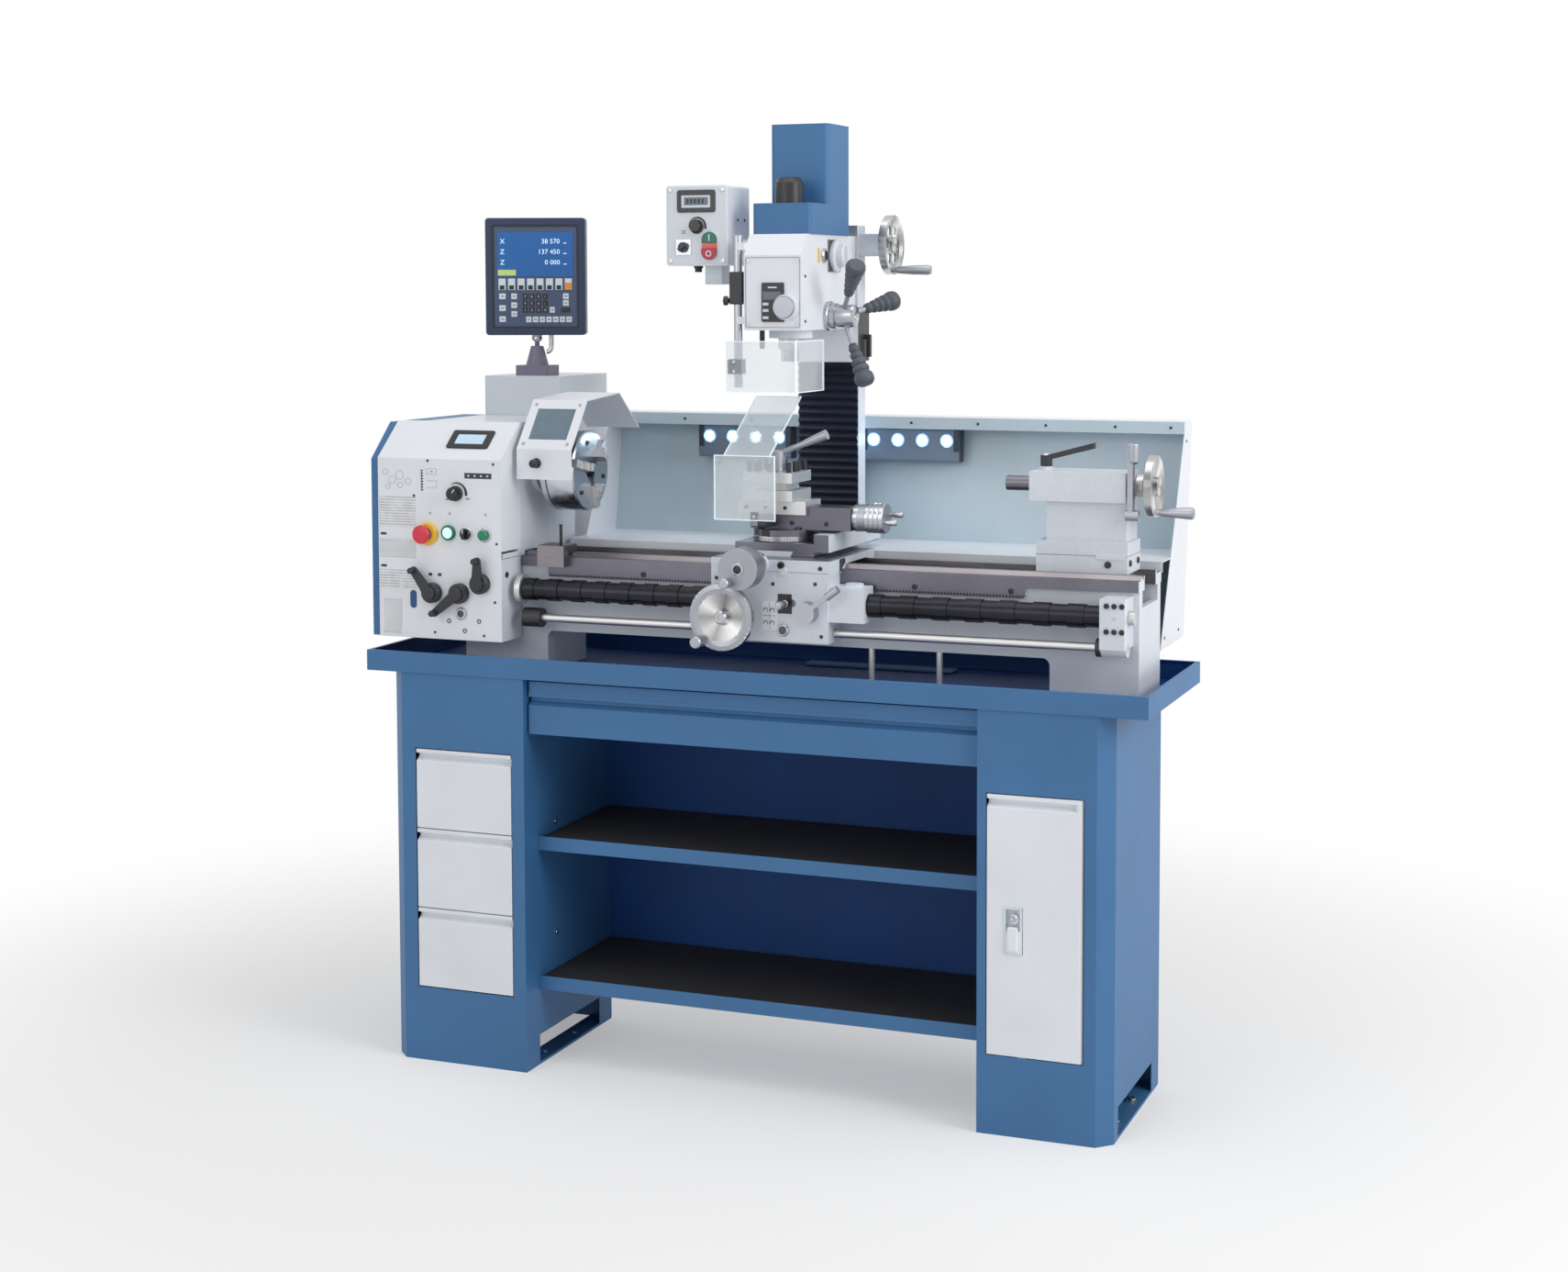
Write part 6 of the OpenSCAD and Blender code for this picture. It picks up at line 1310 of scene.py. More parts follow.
@dataclass
class Carriage:
    """Saddle and apron with the slides, handwheels, toolpost and tool guard.

    Attributes:
        fit: shared shapes.
        front: place of the apron's face along Y.
    """

    fit: Fittings
    front: float = -155.0

    def build(self) -> None:
        """Build the carriage from the bed up to the toolpost."""
        fit = self.fit
        fit.casting("carriage", CAST, "carriage", 1.6, [
            (lambda c, n: n.z > 0.7 and c.z > 1030, GROUND_Y),
            (lambda c, n: c.y < self.front - 0.4 and c.z < 1000 and 84 < c.x < 110, BLACK)])
        fit.casting("carriage_handwheel", CARRIAGE_WHEEL, "carriage_handwheel", 1.0, [
            (lambda c, n: c.y > -197, GROUND), (lambda c, n: c.y < -213, SATIN)])
        fit.casting("cross_handwheel", CROSS_WHEEL, "cross_handwheel", 0.8, [
            (lambda c, n: c.y < -249.6, SATIN), (lambda c, n: c.y > -209.4, GROUND)])
        fit.casting("cross_slide", GROUND_Y, "cross_slide", 0.8, [
            (lambda c, n: c.x > 136.4 and n.y > -0.5, PALE), (lambda c, n: n.y < -0.5, SLIDE)])
        fit.casting("compound_base", SLIDE, "compound_base", 1.0, [
            (lambda c, n: c.y < -70.4 and c.z < 1100.5 and 28 < c.x < 48, BLACK)])
        fit.casting("top_slide", GROUND, "top_slide", 0.8)
        fit.casting("toolpost", GROUND, "toolpost", 0.8, [
            (lambda c, n: c.z > 1188.6 or (n.z < 0.5 and self.on_bolt(c)), BLACK)])
        fit.casting("feed_lever", SATIN, "feed_lever", 1.2)
        fit.casting("compound_crank", SATIN, "compound_crank", 0.8, [(lambda c, n: c.x > 261.6, BRIGHT)])
        fit.casting("toolpost_lever", SATIN, "toolpost_lever", 0.8)
        fit.casting("tool_guard", CLEAR, "tool_guard", 0.0, [
            (lambda c, n: c.x > 30 and c.z < 1098, BRIGHT),
            (lambda c, n: c.z < 1098 or (12 < c.x < 30 and c.z < 1118 and c.y > -113), BLACK)])
        self.apron_details()
        self.slide_details()
        self.guard_rims()

    @staticmethod
    def on_bolt(c: Vector) -> bool:
        """Tell whether a face centre lies on one of the toolpost's clamping bolts."""
        bolts = [(x, y) for x in (-2, 38, 78) for y in (-80, -48, -32, 0)]
        return 1170 < c.z < 1189 and any(math.hypot(c.x - x, c.y - y) < 5.6 for x, y in bolts)

    def apron_details(self) -> None:
        """Fit the apron's lever, sight glass, plate, screws and wipers and its handwheels' grips."""
        fit, y, out = self.fit, self.front, FRONT
        ring = [(8, 0), (11.4, 0), (11.4, 3.6), (10, 5), (8, 5)]
        fit.piece(turned("apron_oil_ring", (96, y, 899), out, ring, 40), BRIGHT, "carriage")
        glass = [(0, 0), (8.2, 0), (8.2, 1.4), (0, 2.2)]
        fit.piece(turned("apron_oil_glass", (96, y - 2.6, 899), out, glass, 32), OIL, "carriage")
        lever = turned("half_nut_lever", (102, y - 4, 950), out,
                       [(0, 0), (6.6, 0), (6.6, 5), (4, 7), (4, 20), (7, 24),
                        (8.4, 34), (6, 39), (0, 40)], 36)
        fit.piece(lever, SATIN, "carriage")
        fit.piece(block("half_nut_plate", (85, y - 1.4, 930), (113, y + 0.4, 967), 0.8),
                  GLOSS_BLACK, "carriage")
        knob = turned("saddle_lock", (92, y, 1021), out, [(0, 0), (6.5, 0), (6.5, 5), (5.4, 7), (0, 7)], 32)
        fit.piece(knob, GLOSS_BLACK, "carriage")
        fit.piece(block("apron_seam", (62, y - 0.2, 1007.7), (186, y + 1, 1008.3), 0), INK, "carriage")
        places = [(-40, 992), (75, 985), (160, 988), (172, 890), (20, 884), (-38, 884)]
        fit.screws("apron_screws", INK, "carriage", [(x, y, z) for x, z in places], out, 3.6, 1.2)
        fit.screws("apron_side_screws", BLACK, "carriage", [(254, -124, 950)], RIGHT, 7, 3.4)
        fit.screws("saddle_screws", BLACK, "carriage", [(x, y, 1017) for x in (-30, 170)], out, 4.2, 1.4)
        plate = outline("apron_plate", rounded_outline(53, 898, 84, 952, 2, y - 0.5, 3), (0, 0.6, 0), 0.2)
        fit.piece(plate, WHITE, "carriage")
        marks = [outline("apron_mark",
                         ring_outline((61 + 13 * i, y - 0.7, 911 + 24 * j), 3.2, 5.2, 200, -60, 0.5),
                         (0, 0.3, 0), 0) for i in range(2) for j in range(2)]
        marks += [tile(55.5, 924.6, 81.5, 925.3, y - 0.7), tile(68.2, 900, 68.9, 950, y - 0.7)]
        fit.piece(join("apron_marks", marks), INK, "carriage")
        disc = [(8, 0), (12, 0), (12, 1.5), (10, 3), (8, 3), (8, 1.2)]
        fit.piece(turned("cross_hub", (43, -249, 1021), out, disc, 40), BRIGHT, "cross_handwheel")
        dark = turned("cross_hub_bolt", (43, -249, 1021), out,
                      [(0, 0), (8, 0), (8, 1.2), (5, 2.4), (0, 2.4)], 32)
        fit.piece(dark, BLACK, "cross_handwheel")
        grip = [(0, 2), (6.4, 2), (8.8, 5), (11.4, 20), (11.4, 43), (9.4, 45.6), (3, 45.6),
                (3, 44.6), (0, 44.6)]
        fit.piece(turned("carriage_grip", (-40.6, -212, 882), out, grip, 40), SATIN, "carriage_handwheel")
        short = [(0, 1), (6, 1), (8, 3), (10, 10), (10, 26.4), (8.4, 28.4), (2.6, 28.4),
                 (2.6, 27.6), (0, 27.6)]
        fit.piece(turned("cross_grip", (25.5, -249, 996.6), out, short, 40), SATIN, "cross_handwheel")
        hub = [(0, 0), (12.4, 0), (12.4, 2), (10.4, 4), (4, 4), (3.4, 2.6), (0, 2.6)]
        fit.piece(turned("carriage_hub", (-8, -212, 925), out, hub, 40), BRIGHT, "carriage_handwheel")
        corners = [(-52, -101, 1003.5), (-52, -101, 1030), (-52, -72, 1030), (-52, -72, 1021),
                   (-52, -90, 1011)]
        wiper = outline("saddle_wiper", corners, (0.9, 0, 0), 0)
        fit.piece(join("saddle_wipers", [wiper, copy_of(wiper, (240.2, 0, 0))]), INK, "carriage")

    def slide_details(self) -> None:
        """Fit screws, gib screws and dials on the slides."""
        fit, out, axis, up = self.fit, FRONT, RIGHT, UP
        fit.screws("gib_screws", INK, "cross_slide", [(135.8, -88, 1050)], axis, 3.4, 1.2)
        fit.screws("slide_screws", BLACK, "top_slide", [(x, -80.3, 1121) for x in (-10, 30, 70)],
                   out, 3.6, 1.6)
        fit.screws("base_screws", BLACK, "compound_base", [(x, -70, 1092) for x in (80, 150)], out, 4.4, 1.6)
        places = [(55 + 52 * math.cos(a), -40 + 52 * math.sin(a), 1079.6) for a in (-2.4, -0.75)]
        fit.screws("swivel_screws", BLACK, "compound_base", places, up, 5.5, 5)
        ring = turned("swivel_scale", (55, -40, 1058), up,
                      [(60.8, 0), (61.5, 0.6), (61.5, 9), (60.8, 9.6)], 96)
        fit.piece(ring, BRIGHT, "compound_base")
        ticks = [turn_about(block("tick", (54.6, -101.8, 1060), (55.4, -101.2, 1064 + 3 * (i % 5 == 0)), 0),
                            (55, -40, 0), Axis.Z, 5 * i) for i in range(-18, 19)]
        fit.piece(join("swivel_ticks", ticks), INK, "compound_base")
        self.dial("cross_dial", (43, -209, 1021), out, 30, 30, "cross_handwheel")
        self.dial("compound_dial", (199.3, -40, 1103.6), axis, 26, 24, "compound_crank")
        knurl = [turned("knurl", (224 + 9.5 * i, -40, 1103.6), axis,
                        [(27.9, 0), (28.5, 0.8), (28.5, 6.8), (27.9, 7.6)], 56)
                 for i in range(4)]
        fit.piece(join("crank_grip_bands", knurl), BRIGHT, "compound_crank")

    def dial(self, name: str, at: Point, axis: Vector, radius: float, length: float, body: str) -> None:
        """Model a graduated dial: a knurled rim and its ticks.

        Args:
            name: name of the piece.
            at: centre of its back face.
            axis: direction that it faces.
            radius: radius of the dial.
            length: length of the dial.
            body: body that carries it.
        """
        r = radius
        ring = turned(name, at, axis,
                      [(r - 1, 1), (r + 0.5, 1), (r + 0.5, 0.34 * length), (r + 0.2, 0.36 * length),
                       (r + 0.2, 0.4 * length), (r - 1, 0.42 * length)], 72)
        self.fit.piece(ring, BRIGHT, body)
        ticks = []
        for i in range(40):
            tall = 0.26 if i % 5 == 0 else 0.16
            tick = block("tick", (-0.35, r + 0.45, 0.06 * length),
                         (0.35, r + 0.62, (0.06 + tall) * length), 0)
            ticks.append(turn_about(tick, (0, 0, 0), Axis.Z, 9 * i))
        item = join(f"{name}_ticks", ticks)
        item.data.transform(Matrix.Translation(Vector(at) * MM)
                            @ axis.to_track_quat("Z", "Y").to_matrix().to_4x4())
        self.fit.piece(item, INK, body)

    def guard_rims(self) -> None:
        """Line the clear panes with rims that glow as a painted highlight of their cut edges, and fit their
        screws.
        """
        x0, x1, z0, z1, y0, y1 = -60.0, 65.0, 1098.3, 1222.0, -119.5, -116.1
        rims = [block("rim", *corners, 0) for corners in (
            ((x0, y0, z0), (x0 + 1.6, y1, z1)), ((x1 - 1.6, y0, z0), (x1, y1, z1)),
            ((x0, y0, z1 - 1.6), (x1, y1, z1)), ((x0, y0, z0), (x1, y1, z0 + 1.6)),
            ((-40, 43.8, 1325), (55, 45.2, 1328)))]
        for x in (-40.0, 53.4):
            corners = [(x, -119.3, 1219), (x, 45.2, 1325), (x, 45.2, 1328.2), (x, -119.3, 1222.2)]
            rims.append(outline("rim", corners, (1.6, 0, 0), 0))
        self.fit.piece(join("tool_guard_rims_painted_highlight", rims), CLEAR_EDGE_PAINTED_HIGHLIGHT, "tool_guard")
        places = [(22, -119.4, 1106), (-50, -119.4, 1210), (55, -119.4, 1210)]
        self.fit.screws("tool_guard_screws", BRIGHT, "tool_guard", places, FRONT, 3.4, 1.6)


@dataclass
class Tailstock:
    """Tailstock with its quill, handwheel and levers.

    Attributes:
        fit: shared shapes.
    """

    fit: Fittings

    def build(self) -> None:
        """Build the tailstock."""
        fit = self.fit
        fit.casting("tailstock", CAST, "tailstock", 2.2, [
            (lambda c, n: c.x > 722.6 and c.z > 1090, SATIN), (lambda c, n: c.z < 1019, GROUND)], segments=3)
        fit.casting("tailstock_quill", SLIDE, "tailstock_quill", 0.6)
        fit.casting("tailstock_handwheel", TAIL_WHEEL, "tailstock_handwheel", 1.0, [
            (lambda c, n: c.x < 746.5, GROUND), (lambda c, n: c.x > 774, SATIN)])
        fit.casting("quill_lock_lever", BLACK, "quill_lock_lever", 1.6, segments=3)
        self.details()

    def details(self) -> None:
        """Fit the screws, the seam, the dial, the scale, the grips and the lock lever's cap."""
        fit, out, axis = self.fit, FRONT, RIGHT
        fit.screws("tailstock_front_screws", BLACK, "tailstock", [(690, -50, 1034)], out, 6.5, 2.0)
        fit.screws("tailstock_body_screws", INK, "tailstock", [(x, -32, 1092) for x in (618, 690)], out, 3, 1)
        fit.piece(block("tailstock_seam", (554.6, -50.4, 1049.2), (726.4, 50.4, 1049.8), 0), INK, "tailstock")
        key = block("tailstock_key", (668, -51.2, 1043), (722, -49, 1052.5), 0.6)
        fit.piece(key, PALE, "tailstock")
        fit.screws("tailstock_end_screws", BLACK, "tailstock",
                   [(726, y, 1036) for y in (-30, 30)], axis, 6, 3)
        ring = turned("tail_dial", (722.4, 0, 1175), axis,
                      [(20, 0), (24, 0), (24, 9), (22.5, 11), (20, 11)], 56)
        fit.piece(ring, BRIGHT, "tailstock")
        marks = [block("quill_mark", (488 + 4 * i, -wide, 1188.9), (488.5 + 4 * i, wide, 1189.15), 0)
                 for i, wide in enumerate([1.8, 0.4, 0.4, 0.4, 0.4] * 2 + [1.8, 0.4, 0.4])]
        fit.piece(join("quill_scale", marks), INK, "tailstock_quill")
        grip = [(0, 5), (5.4, 5), (7, 9), (9, 30), (11.4, 62), (10, 66), (3, 66.6), (3, 65.6), (0, 65.6)]
        fit.piece(turned("tail_grip", (772, -8.2, 1128.7), axis, grip, 40), SATIN, "tailstock_handwheel")
        knob = [(0, 0), (6, 0), (10.2, 4), (10.6, 34), (9.6, 36), (0, 36)]
        fit.piece(turned("clamp_grip", (735, -46, 1218.6), UP, knob, 40), SATIN, "tailstock")
        cap = turned("lock_cap", (560, 0, 1228), UP, [(0, 0), (9, 0), (9, 1), (7, 3), (3, 3), (2.6, 2),
                                                      (0, 2)], 32)
        fit.piece(cap, BRIGHT, "quill_lock_lever")


@dataclass
class SplashGuard:
    """Splash guard behind the bed with its two lamps.

    Attributes:
        fit: shared shapes.
        lamps: left end of each lamp along X.
        lamp_length: length of a lamp.
        lights_z: height of the row of lights.
    """

    fit: Fittings
    lamps: tuple[float, ...] = (-276.0, 88.0)
    lamp_length: float = 208.0
    lights_z: float = 1230.0

    def build(self) -> None:
        """Build the guard, its rim screws and the lamps."""
        fit = self.fit
        ends = [x + along for x in self.lamps for along in (0.0, self.lamp_length)]
        # The guard's inner front faces take painted shade.
        fit.casting("splash_guard", WHITE, "stand", 0.7, [
            (lambda c, n: self.on_lamp(c) and min(abs(c.x - x) for x in ends) < 9, LAMP_DARK),
            (lambda c, n: self.on_lamp(c), LAMP_CASE),
            (lambda c, n: n.y < -0.7 and c.y > 200, GUARD_PAINTED_SHADE)])
        for index, x in enumerate(self.lamps):
            self.lamp(index, x)
        places = [(x, 283, 1266) for x in (-420, -300, -150, 200, 340, 480, 620, 730)]
        fit.screws("guard_rim_screws", INK, "stand", places, FRONT, 2.8, 1.2, 0.4)
        places = [(757, 120, 880), (757, 240, 880), (757, 300, 1240)]
        fit.screws("guard_side_screws", INK, "stand", places, RIGHT, 2.8, 1.2, 0.4)

    def on_lamp(self, c: Vector) -> bool:
        """Tell whether a face centre lies on one of the lamps."""
        beside = any(x - 1 < c.x < x + self.lamp_length + 1 for x in self.lamps)
        return beside and 298 < c.y < 332 and 1185 < c.z < 1276

    def lamp(self, index: int, x: float) -> None:
        """Fit one lamp's face, its end caps and its four lights in reflectors that glow with painted light.

        Args:
            index: number of the lamp.
            x: left end of the lamp.
        """
        fit, y, z, out, long = self.fit, 299.8, self.lights_z, FRONT, self.lamp_length
        face = outline("lamp_face", rounded_outline(x + 12, z - 18, x + long - 12, z + 18, 4, y),
                       (0, 1.0, 0), 0.3)
        fit.piece(face, LAMP_CASE, "stand")
        caps = [block("lamp_cap", (a, y - 1.6, z - 22), (a + 11, y + 1, z + 22), 1.2, 3)
                for a in (x + 1, x + long - 12)]
        fit.piece(join(f"lamp_caps_{index}", caps), LAMP_DARK, "stand")
        places = [(x + long * (i + 0.5) / 4, y, z) for i in range(4)]
        dish = [(13.8, 0), (14.2, 2.6), (12.8, 2.8), (9, 1.2), (6, 0.6)]
        fit.piece(join(f"lamp_dishes_painted_glow_{index}", [turned("dish", p, out, dish, 32) for p in places]),
                  DISH_PAINTED_GLOW, "stand")
        lens = [(0, 0), (6, 0), (6, 1.5), (4.4, 3.6), (0, 4.6)]
        fit.piece(join(f"lamp_lights_{index}", [turned("lens", p, out, lens, 28) for p in places]),
                  LED, "stand")


@dataclass
class Mill:
    """Milling column with its head, handles, guards and electrics box.

    Attributes:
        fit: shared shapes.
        front: place of the head's front along Y.
        side: place of the head's right side along X.
        face: place of the electrics box's front along Y.
        dial: place of the box's speed knob as (x, z).
    """

    fit: Fittings
    front: float = -92.0
    side: float = 108.0
    face: float = -60.0
    dial: tuple[float, float] = (-118.0, 1656.0)

    def build(self) -> None:
        """Build the column, the head and what the head carries."""
        fit = self.fit
        fit.casting("mill_column", CAST, "stand", 1.2, [(lambda c, n: c.y < 206.5 and c.z > 1016, GROUND)])
        fit.skin("way_bellows", BELLOWS)
        fit.casting("mill_head", WHITE, "mill_head", 1.2, [
            (lambda c, n: math.hypot(c.x + 25, c.y + 80) < 8.3 and c.z < 1637, BRIGHT),
            (lambda c, n: c.y < self.front - 0.4 and 28 < c.x < 76 and c.z < 1550, BLACK),
            (lambda c, n: c.x > 113 and 200 < c.y < 245 and 1380 < c.z < 1462, BLACK)])
        fit.casting("head_cover", BLUE, "mill_head", 1.2, [
            (lambda c, n: c.z > 1699.4 and math.hypot(c.x - 51, c.y + 6) < 27.6, CAP)])
        fit.casting("z_handwheel", LIFT_WHEEL, "z_handwheel", 1.0, [
            (lambda c, n: c.x > 181.6, SATIN), (lambda c, n: c.x < 165.8, GROUND)])
        fit.casting("mill_quill", GROUND, "mill_quill", 0.6)
        fit.casting("mill_spindle", BRIGHT, "mill_spindle", 0.8)
        fit.casting("spindle_guard", CLEAR, "spindle_guard", 0.0, [
            (lambda c, n: math.hypot(c.x + 25, c.y + 80) < 24 and 1374 < c.z < 1404 and c.y > -98.4, BLACK)])
        grip = [(0, 4), (5.4, 4), (7, 8), (9.4, 40), (9.9, 70), (8.4, 75), (3, 75.6), (3, 74.6), (0, 74.6)]
        fit.piece(turned("lift_grip", (181.2, 235, 1573), RIGHT, grip, 40), SATIN, "z_handwheel")
        self.front_plate()
        self.right_side()
        self.feed_handle()
        self.gear_knob()
        self.guard_edges()
        self.box()
        self.pills()

    def front_plate(self) -> None:
        """Fit the border, the depth display and the feed knob on the head's front."""
        fit, y, out, up = self.fit, self.front, FRONT, UP
        rim = outline("head_plate_rim", rounded_outline(-4.6, 1463, 106.6, 1596, 4, y - 0.6, 4),
                      (0, 0.8, 0), 0)
        rim = cut(rim, outline("rim_hole", rounded_outline(-3.4, 1464.2, 105.4, 1594.8, 3, y - 4, 4),
                               (0, 8, 0), 0))
        fit.piece(rim, THIN_INK, "mill_head")
        fit.screws("head_plate_screws", BRIGHT, "mill_head",
                   [(x, y, z) for x in (1.6, 100.4) for z in (1469.6, 1589.4)], out, 3.2, 1.4)
        fit.piece(tile(29, 1475.5, 74, 1547, y - 2.6, 1.2, 2), GLOSS_BLACK, "mill_head")
        fit.piece(block("depth_window", (32, y - 3.1, 1516), (68.6, y - 2.4, 1531), 0.2), GREY_LCD,
                  "mill_head")
        keys = [block("depth_key", (31.5, y - 3.4, z - 2.6), (43.5, y - 2.4, z + 2.6), 0.5)
                for z in (1507.7, 1495.6, 1482)]
        keys.append(block("depth_key", (42, y - 3, 1537.6), (60, y - 2.4, 1540.4), 0.2))
        fit.piece(join("depth_keys", keys), KEY, "mill_head")
        knob = turned("fine_feed_knob", (78, y - 1, 1501.5), out,
                      [(0, 0), (22.6, 0), (22.6, 3), (21.4, 4), (21.4, 13), (20, 15), (0, 15.4)], 64)
        fit.piece(knob, SATIN, "mill_head")
        clamp = block("post_clamp", (-38, y - 2, 1507), (-12, -66, 1569), 3.0, 3)
        small = turned("post_clamp_knob", (-36, -84, 1514), Vector((-0.9, -0.44, 0)),
                       [(0, 0), (4, 0), (4, 5), (8.6, 8), (9.4, 12), (8, 16), (0, 18)], 28)
        fit.piece(join("post_clamp", [clamp, small]), BLACK, "mill_head")
        stop = turned("depth_rod", (12, -50, 1450), up, [(0, -28), (4, -28), (5, -24), (5, 8), (0, 8)], 28)
        fit.piece(stop, BLACK, "mill_head")
        fit.piece(turned("post_cap", (-25, -80, 1634), up, [(0, 0), (9, 0), (9, 3), (6, 5), (0, 5)], 32),
                  BRIGHT, "mill_head")

    def right_side(self) -> None:
        """Fit the oil window, the bare yellow plate and the screws of the right side."""
        fit, x, out = self.fit, self.side, RIGHT
        ring = [(9, 0), (14, 0), (14, 3), (12, 5), (9, 5)]
        fit.piece(turned("head_oil_ring", (x, 29, 1600), out, ring, 44), BRIGHT, "mill_head")
        fit.piece(turned("head_oil_glass", (x, 29, 1600), out, [(0, 0), (9.2, 0), (9.2, 2.6), (0, 3.4)], 36),
                  OIL, "mill_head")
        fit.piece(block("bare_plate", (x - 0.2, -4, 1586), (x + 0.5, 9, 1614), 0.2), YELLOW, "mill_head")
        places = [(x, y, z) for y, z in ((-70, 1475), (-70, 1560), (150, 1475), (150, 1600))]
        fit.screws("head_side_screws", INK, "mill_head", places, out, 3, 1.4)

    def feed_handle(self) -> None:
        """Model the down-feed hub, its three rods and their ribbed grips."""
        fit, out = self.fit, RIGHT
        x, y, z = self.side + 3.3, 45.0, 1484.0
        hub = turned("feed_hub", (x, y, z), out,
                     [(0, 0), (28.6, 0), (28.6, 6.5), (27, 8), (21, 8.4), (21, 22), (22, 24),
                      (22, 52), (20, 56), (9, 57.6), (7.6, 54), (0, 54)], 72)
        fit.piece(hub, BRIGHT, "quill_handle", "quill_handle")
        ring = turned("feed_dial", (x + 8.5, y, z), out, [(21, 0), (24.5, 0), (24.5, 10), (21, 10)], 60)
        fit.piece(ring, BRIGHT, "quill_handle")
        profile = [(0, 62), (6, 62), (8.6, 64)]
        for k in range(4):
            low, size = 66 + 14.5 * k, 9.8 + 2 * k
            profile += [(size - 2.4, low), (size, low + 3.2), (size + 0.7, low + 6.8), (size, low + 10.6),
                        (size - 2.4, low + 13.2)]
        profile += [(15, 125), (18.6, 130), (19.5, 137), (18.4, 144), (14.6, 148.2), (0, 149.4)]
        rods, grips = [], []
        for i in range(3):
            place = (Matrix.Translation(Vector((x, y, z)) * MM)
                     @ Matrix.Rotation(math.radians(120 * i - 77), 4, "X")
                     @ Matrix.Translation(Vector((29, 0, 0)) * MM)
                     @ Matrix.Rotation(math.radians(25), 4, "Y"))
            rods.append(turned("feed_rod_bar", (0, 0, 0), UP, [(0, 12), (4.6, 12), (4.6, 70), (0, 70)], 28))
            grips.append(turned("feed_grip", (0, 0, 0), UP, profile, 40))
            for item in (rods[-1], grips[-1]):
                item.data.transform(place)
        fit.piece(join("feed_rods", rods), SATIN, "quill_handle")
        fit.piece(join("feed_grips", grips), GRIP, "quill_handle")

    def gear_knob(self) -> None:
        """Model the speed gear knob on its black plate."""
        fit, out = self.fit, RIGHT
        x, y, z = self.side + 3.3, 82.0, 1600.0
        disc = turned("gear_knob_disc", (x, y, z), out,
                      [(0, 0), (30, 0), (30.6, 2), (30.6, 7), (28, 9), (22, 9.4),
                       (21.4, 21), (19.6, 23), (0, 23)], 64)
        grip = block("gear_knob_grip", (x + 20, y - 5, z - 19.6), (x + 29.4, y + 5, z + 19.6), 3.0, 4)
        fit.piece(join("gear_knob_disc", [disc, grip]), PALE, "gear_knob", "gear_knob")
        plate = block("gear_plate", (self.side, y - 31.2, z - 31.2),
                      (self.side + 3.1, y + 31.2, z + 31.2), 0.8)
        plate = cut(plate, rod("plate_hole", (self.side - 5, y, z), (self.side + 9, y, z), 12, 0))
        fit.piece(plate, BLACK, "mill_head")

    def guard_edges(self) -> None:
        """Line the clear guard round the spindle with rims that glow as a painted highlight of its edges, and
        fit its screws.
        """
        z0, z1 = 1340.0, 1438.0
        rims = [block("edge", (-42, -102.2, z), (102, -98.8, z + 1.6), 0) for z in (z0, z1 - 1.6)]
        rims += [block("edge", (98.8, -102, z), (102.2, 45, z + 1.6), 0) for z in (z0, z1 - 1.6)]
        rims += [block("edge", (x0, y0, z0), (x1, y1, z1), 0) for x0, y0, x1, y1 in (
            (-42, -102.2, -40.4, -98.8), (99.5, -102.3, 102.3, -99.5), (98.8, 43.4, 102.2, 45))]
        self.fit.piece(join("spindle_guard_rims_painted_highlight", rims), CLEAR_EDGE_PAINTED_HIGHLIGHT, "spindle_guard")
        self.fit.screws("spindle_guard_screws", BRIGHT, "spindle_guard",
                        [(-25, -102.2, z) for z in (1380, 1398)], FRONT, 3.4, 1.8)

    def box(self) -> None:
        """Build the electrics box of the mill with its display, knob and selector."""
        fit, y, out, (dx, dz) = self.fit, self.face, FRONT, self.dial
        fit.casting("mill_box", WHITE, "mill_head", 1.2)
        plate = outline("box_plate", rounded_outline(-180, 1584, -58, 1732, 5, y - 1.6), (0, 1.8, 0), 0.5)
        fit.piece(plate, PALE, "mill_head")
        fit.screws("box_screws", BRIGHT, "mill_head",
                   [(x, y - 1.6, z) for x in (-174, -64) for z in (1590, 1726)], out, 4.4, 1.4)
        fit.screws("box_side_screws", INK, "mill_head", [(-55, sy, 1669) for sy in (-9, 24)], RIGHT, 2.6, 1.2)
        frame = outline("box_display_frame", rounded_outline(-159, 1683, -79, 1726, 5, y - 4),
                        (0, 2.6, 0), 0.8)
        frame = cut(frame, block("box_hole", (-150, y - 9, 1692), (-89, y - 2.6, 1716), 0))
        fit.piece(frame, GLOSS_BLACK, "mill_head")
        fit.piece(block("box_display_rim", (-150, y - 3.2, 1692), (-89, y - 2.2, 1716), 0.2), KEY,
                  "mill_head")
        fit.piece(block("box_display", (-144, y - 3.8, 1697), (-94, y - 3, 1712), 0.2), GREY_LCD, "mill_head")
        cells = [tile(-139 + 8 * i, 1700, -134.6 + 8 * i, 1709, y - 4) for i in range(5)]
        fit.piece(join("box_cells", cells), INK, "mill_head")
        arc = outline("box_arc", ring_outline((dx, y - 1.9, dz), 15.6, 20.6, -15, 190, 0.3), (0, 0.3, 0), 0)
        marks = [tile(x, dz - 13 + z, x + 8, dz - 11.6 + z, y - 1.9) for x in (dx - 32, dx + 22)
                 for z in (0, 4)]
        fit.piece(join("box_arc", [arc, *marks]), INK, "mill_head")
        skirt = [(0, 1.8), (14, 1.8), (14, 5), (11.4, 6.5), (10.8, 13), (9.6, 14.2), (0, 14.2)]
        knob = turned("mill_speed_knob", (dx, y, dz), out, skirt, 48)
        ribs = [turn_about(block("rib", (dx - 1, y - 13, dz + 10), (dx + 1, y - 6.8, dz + 11.8), 0.4),
                           (dx, y, dz), Axis.Y, 24 * i) for i in range(15)]
        fit.piece(join("mill_speed_knob", [knob, *ribs]), GLOSS_BLACK, "mill_dial", "mill_dial")
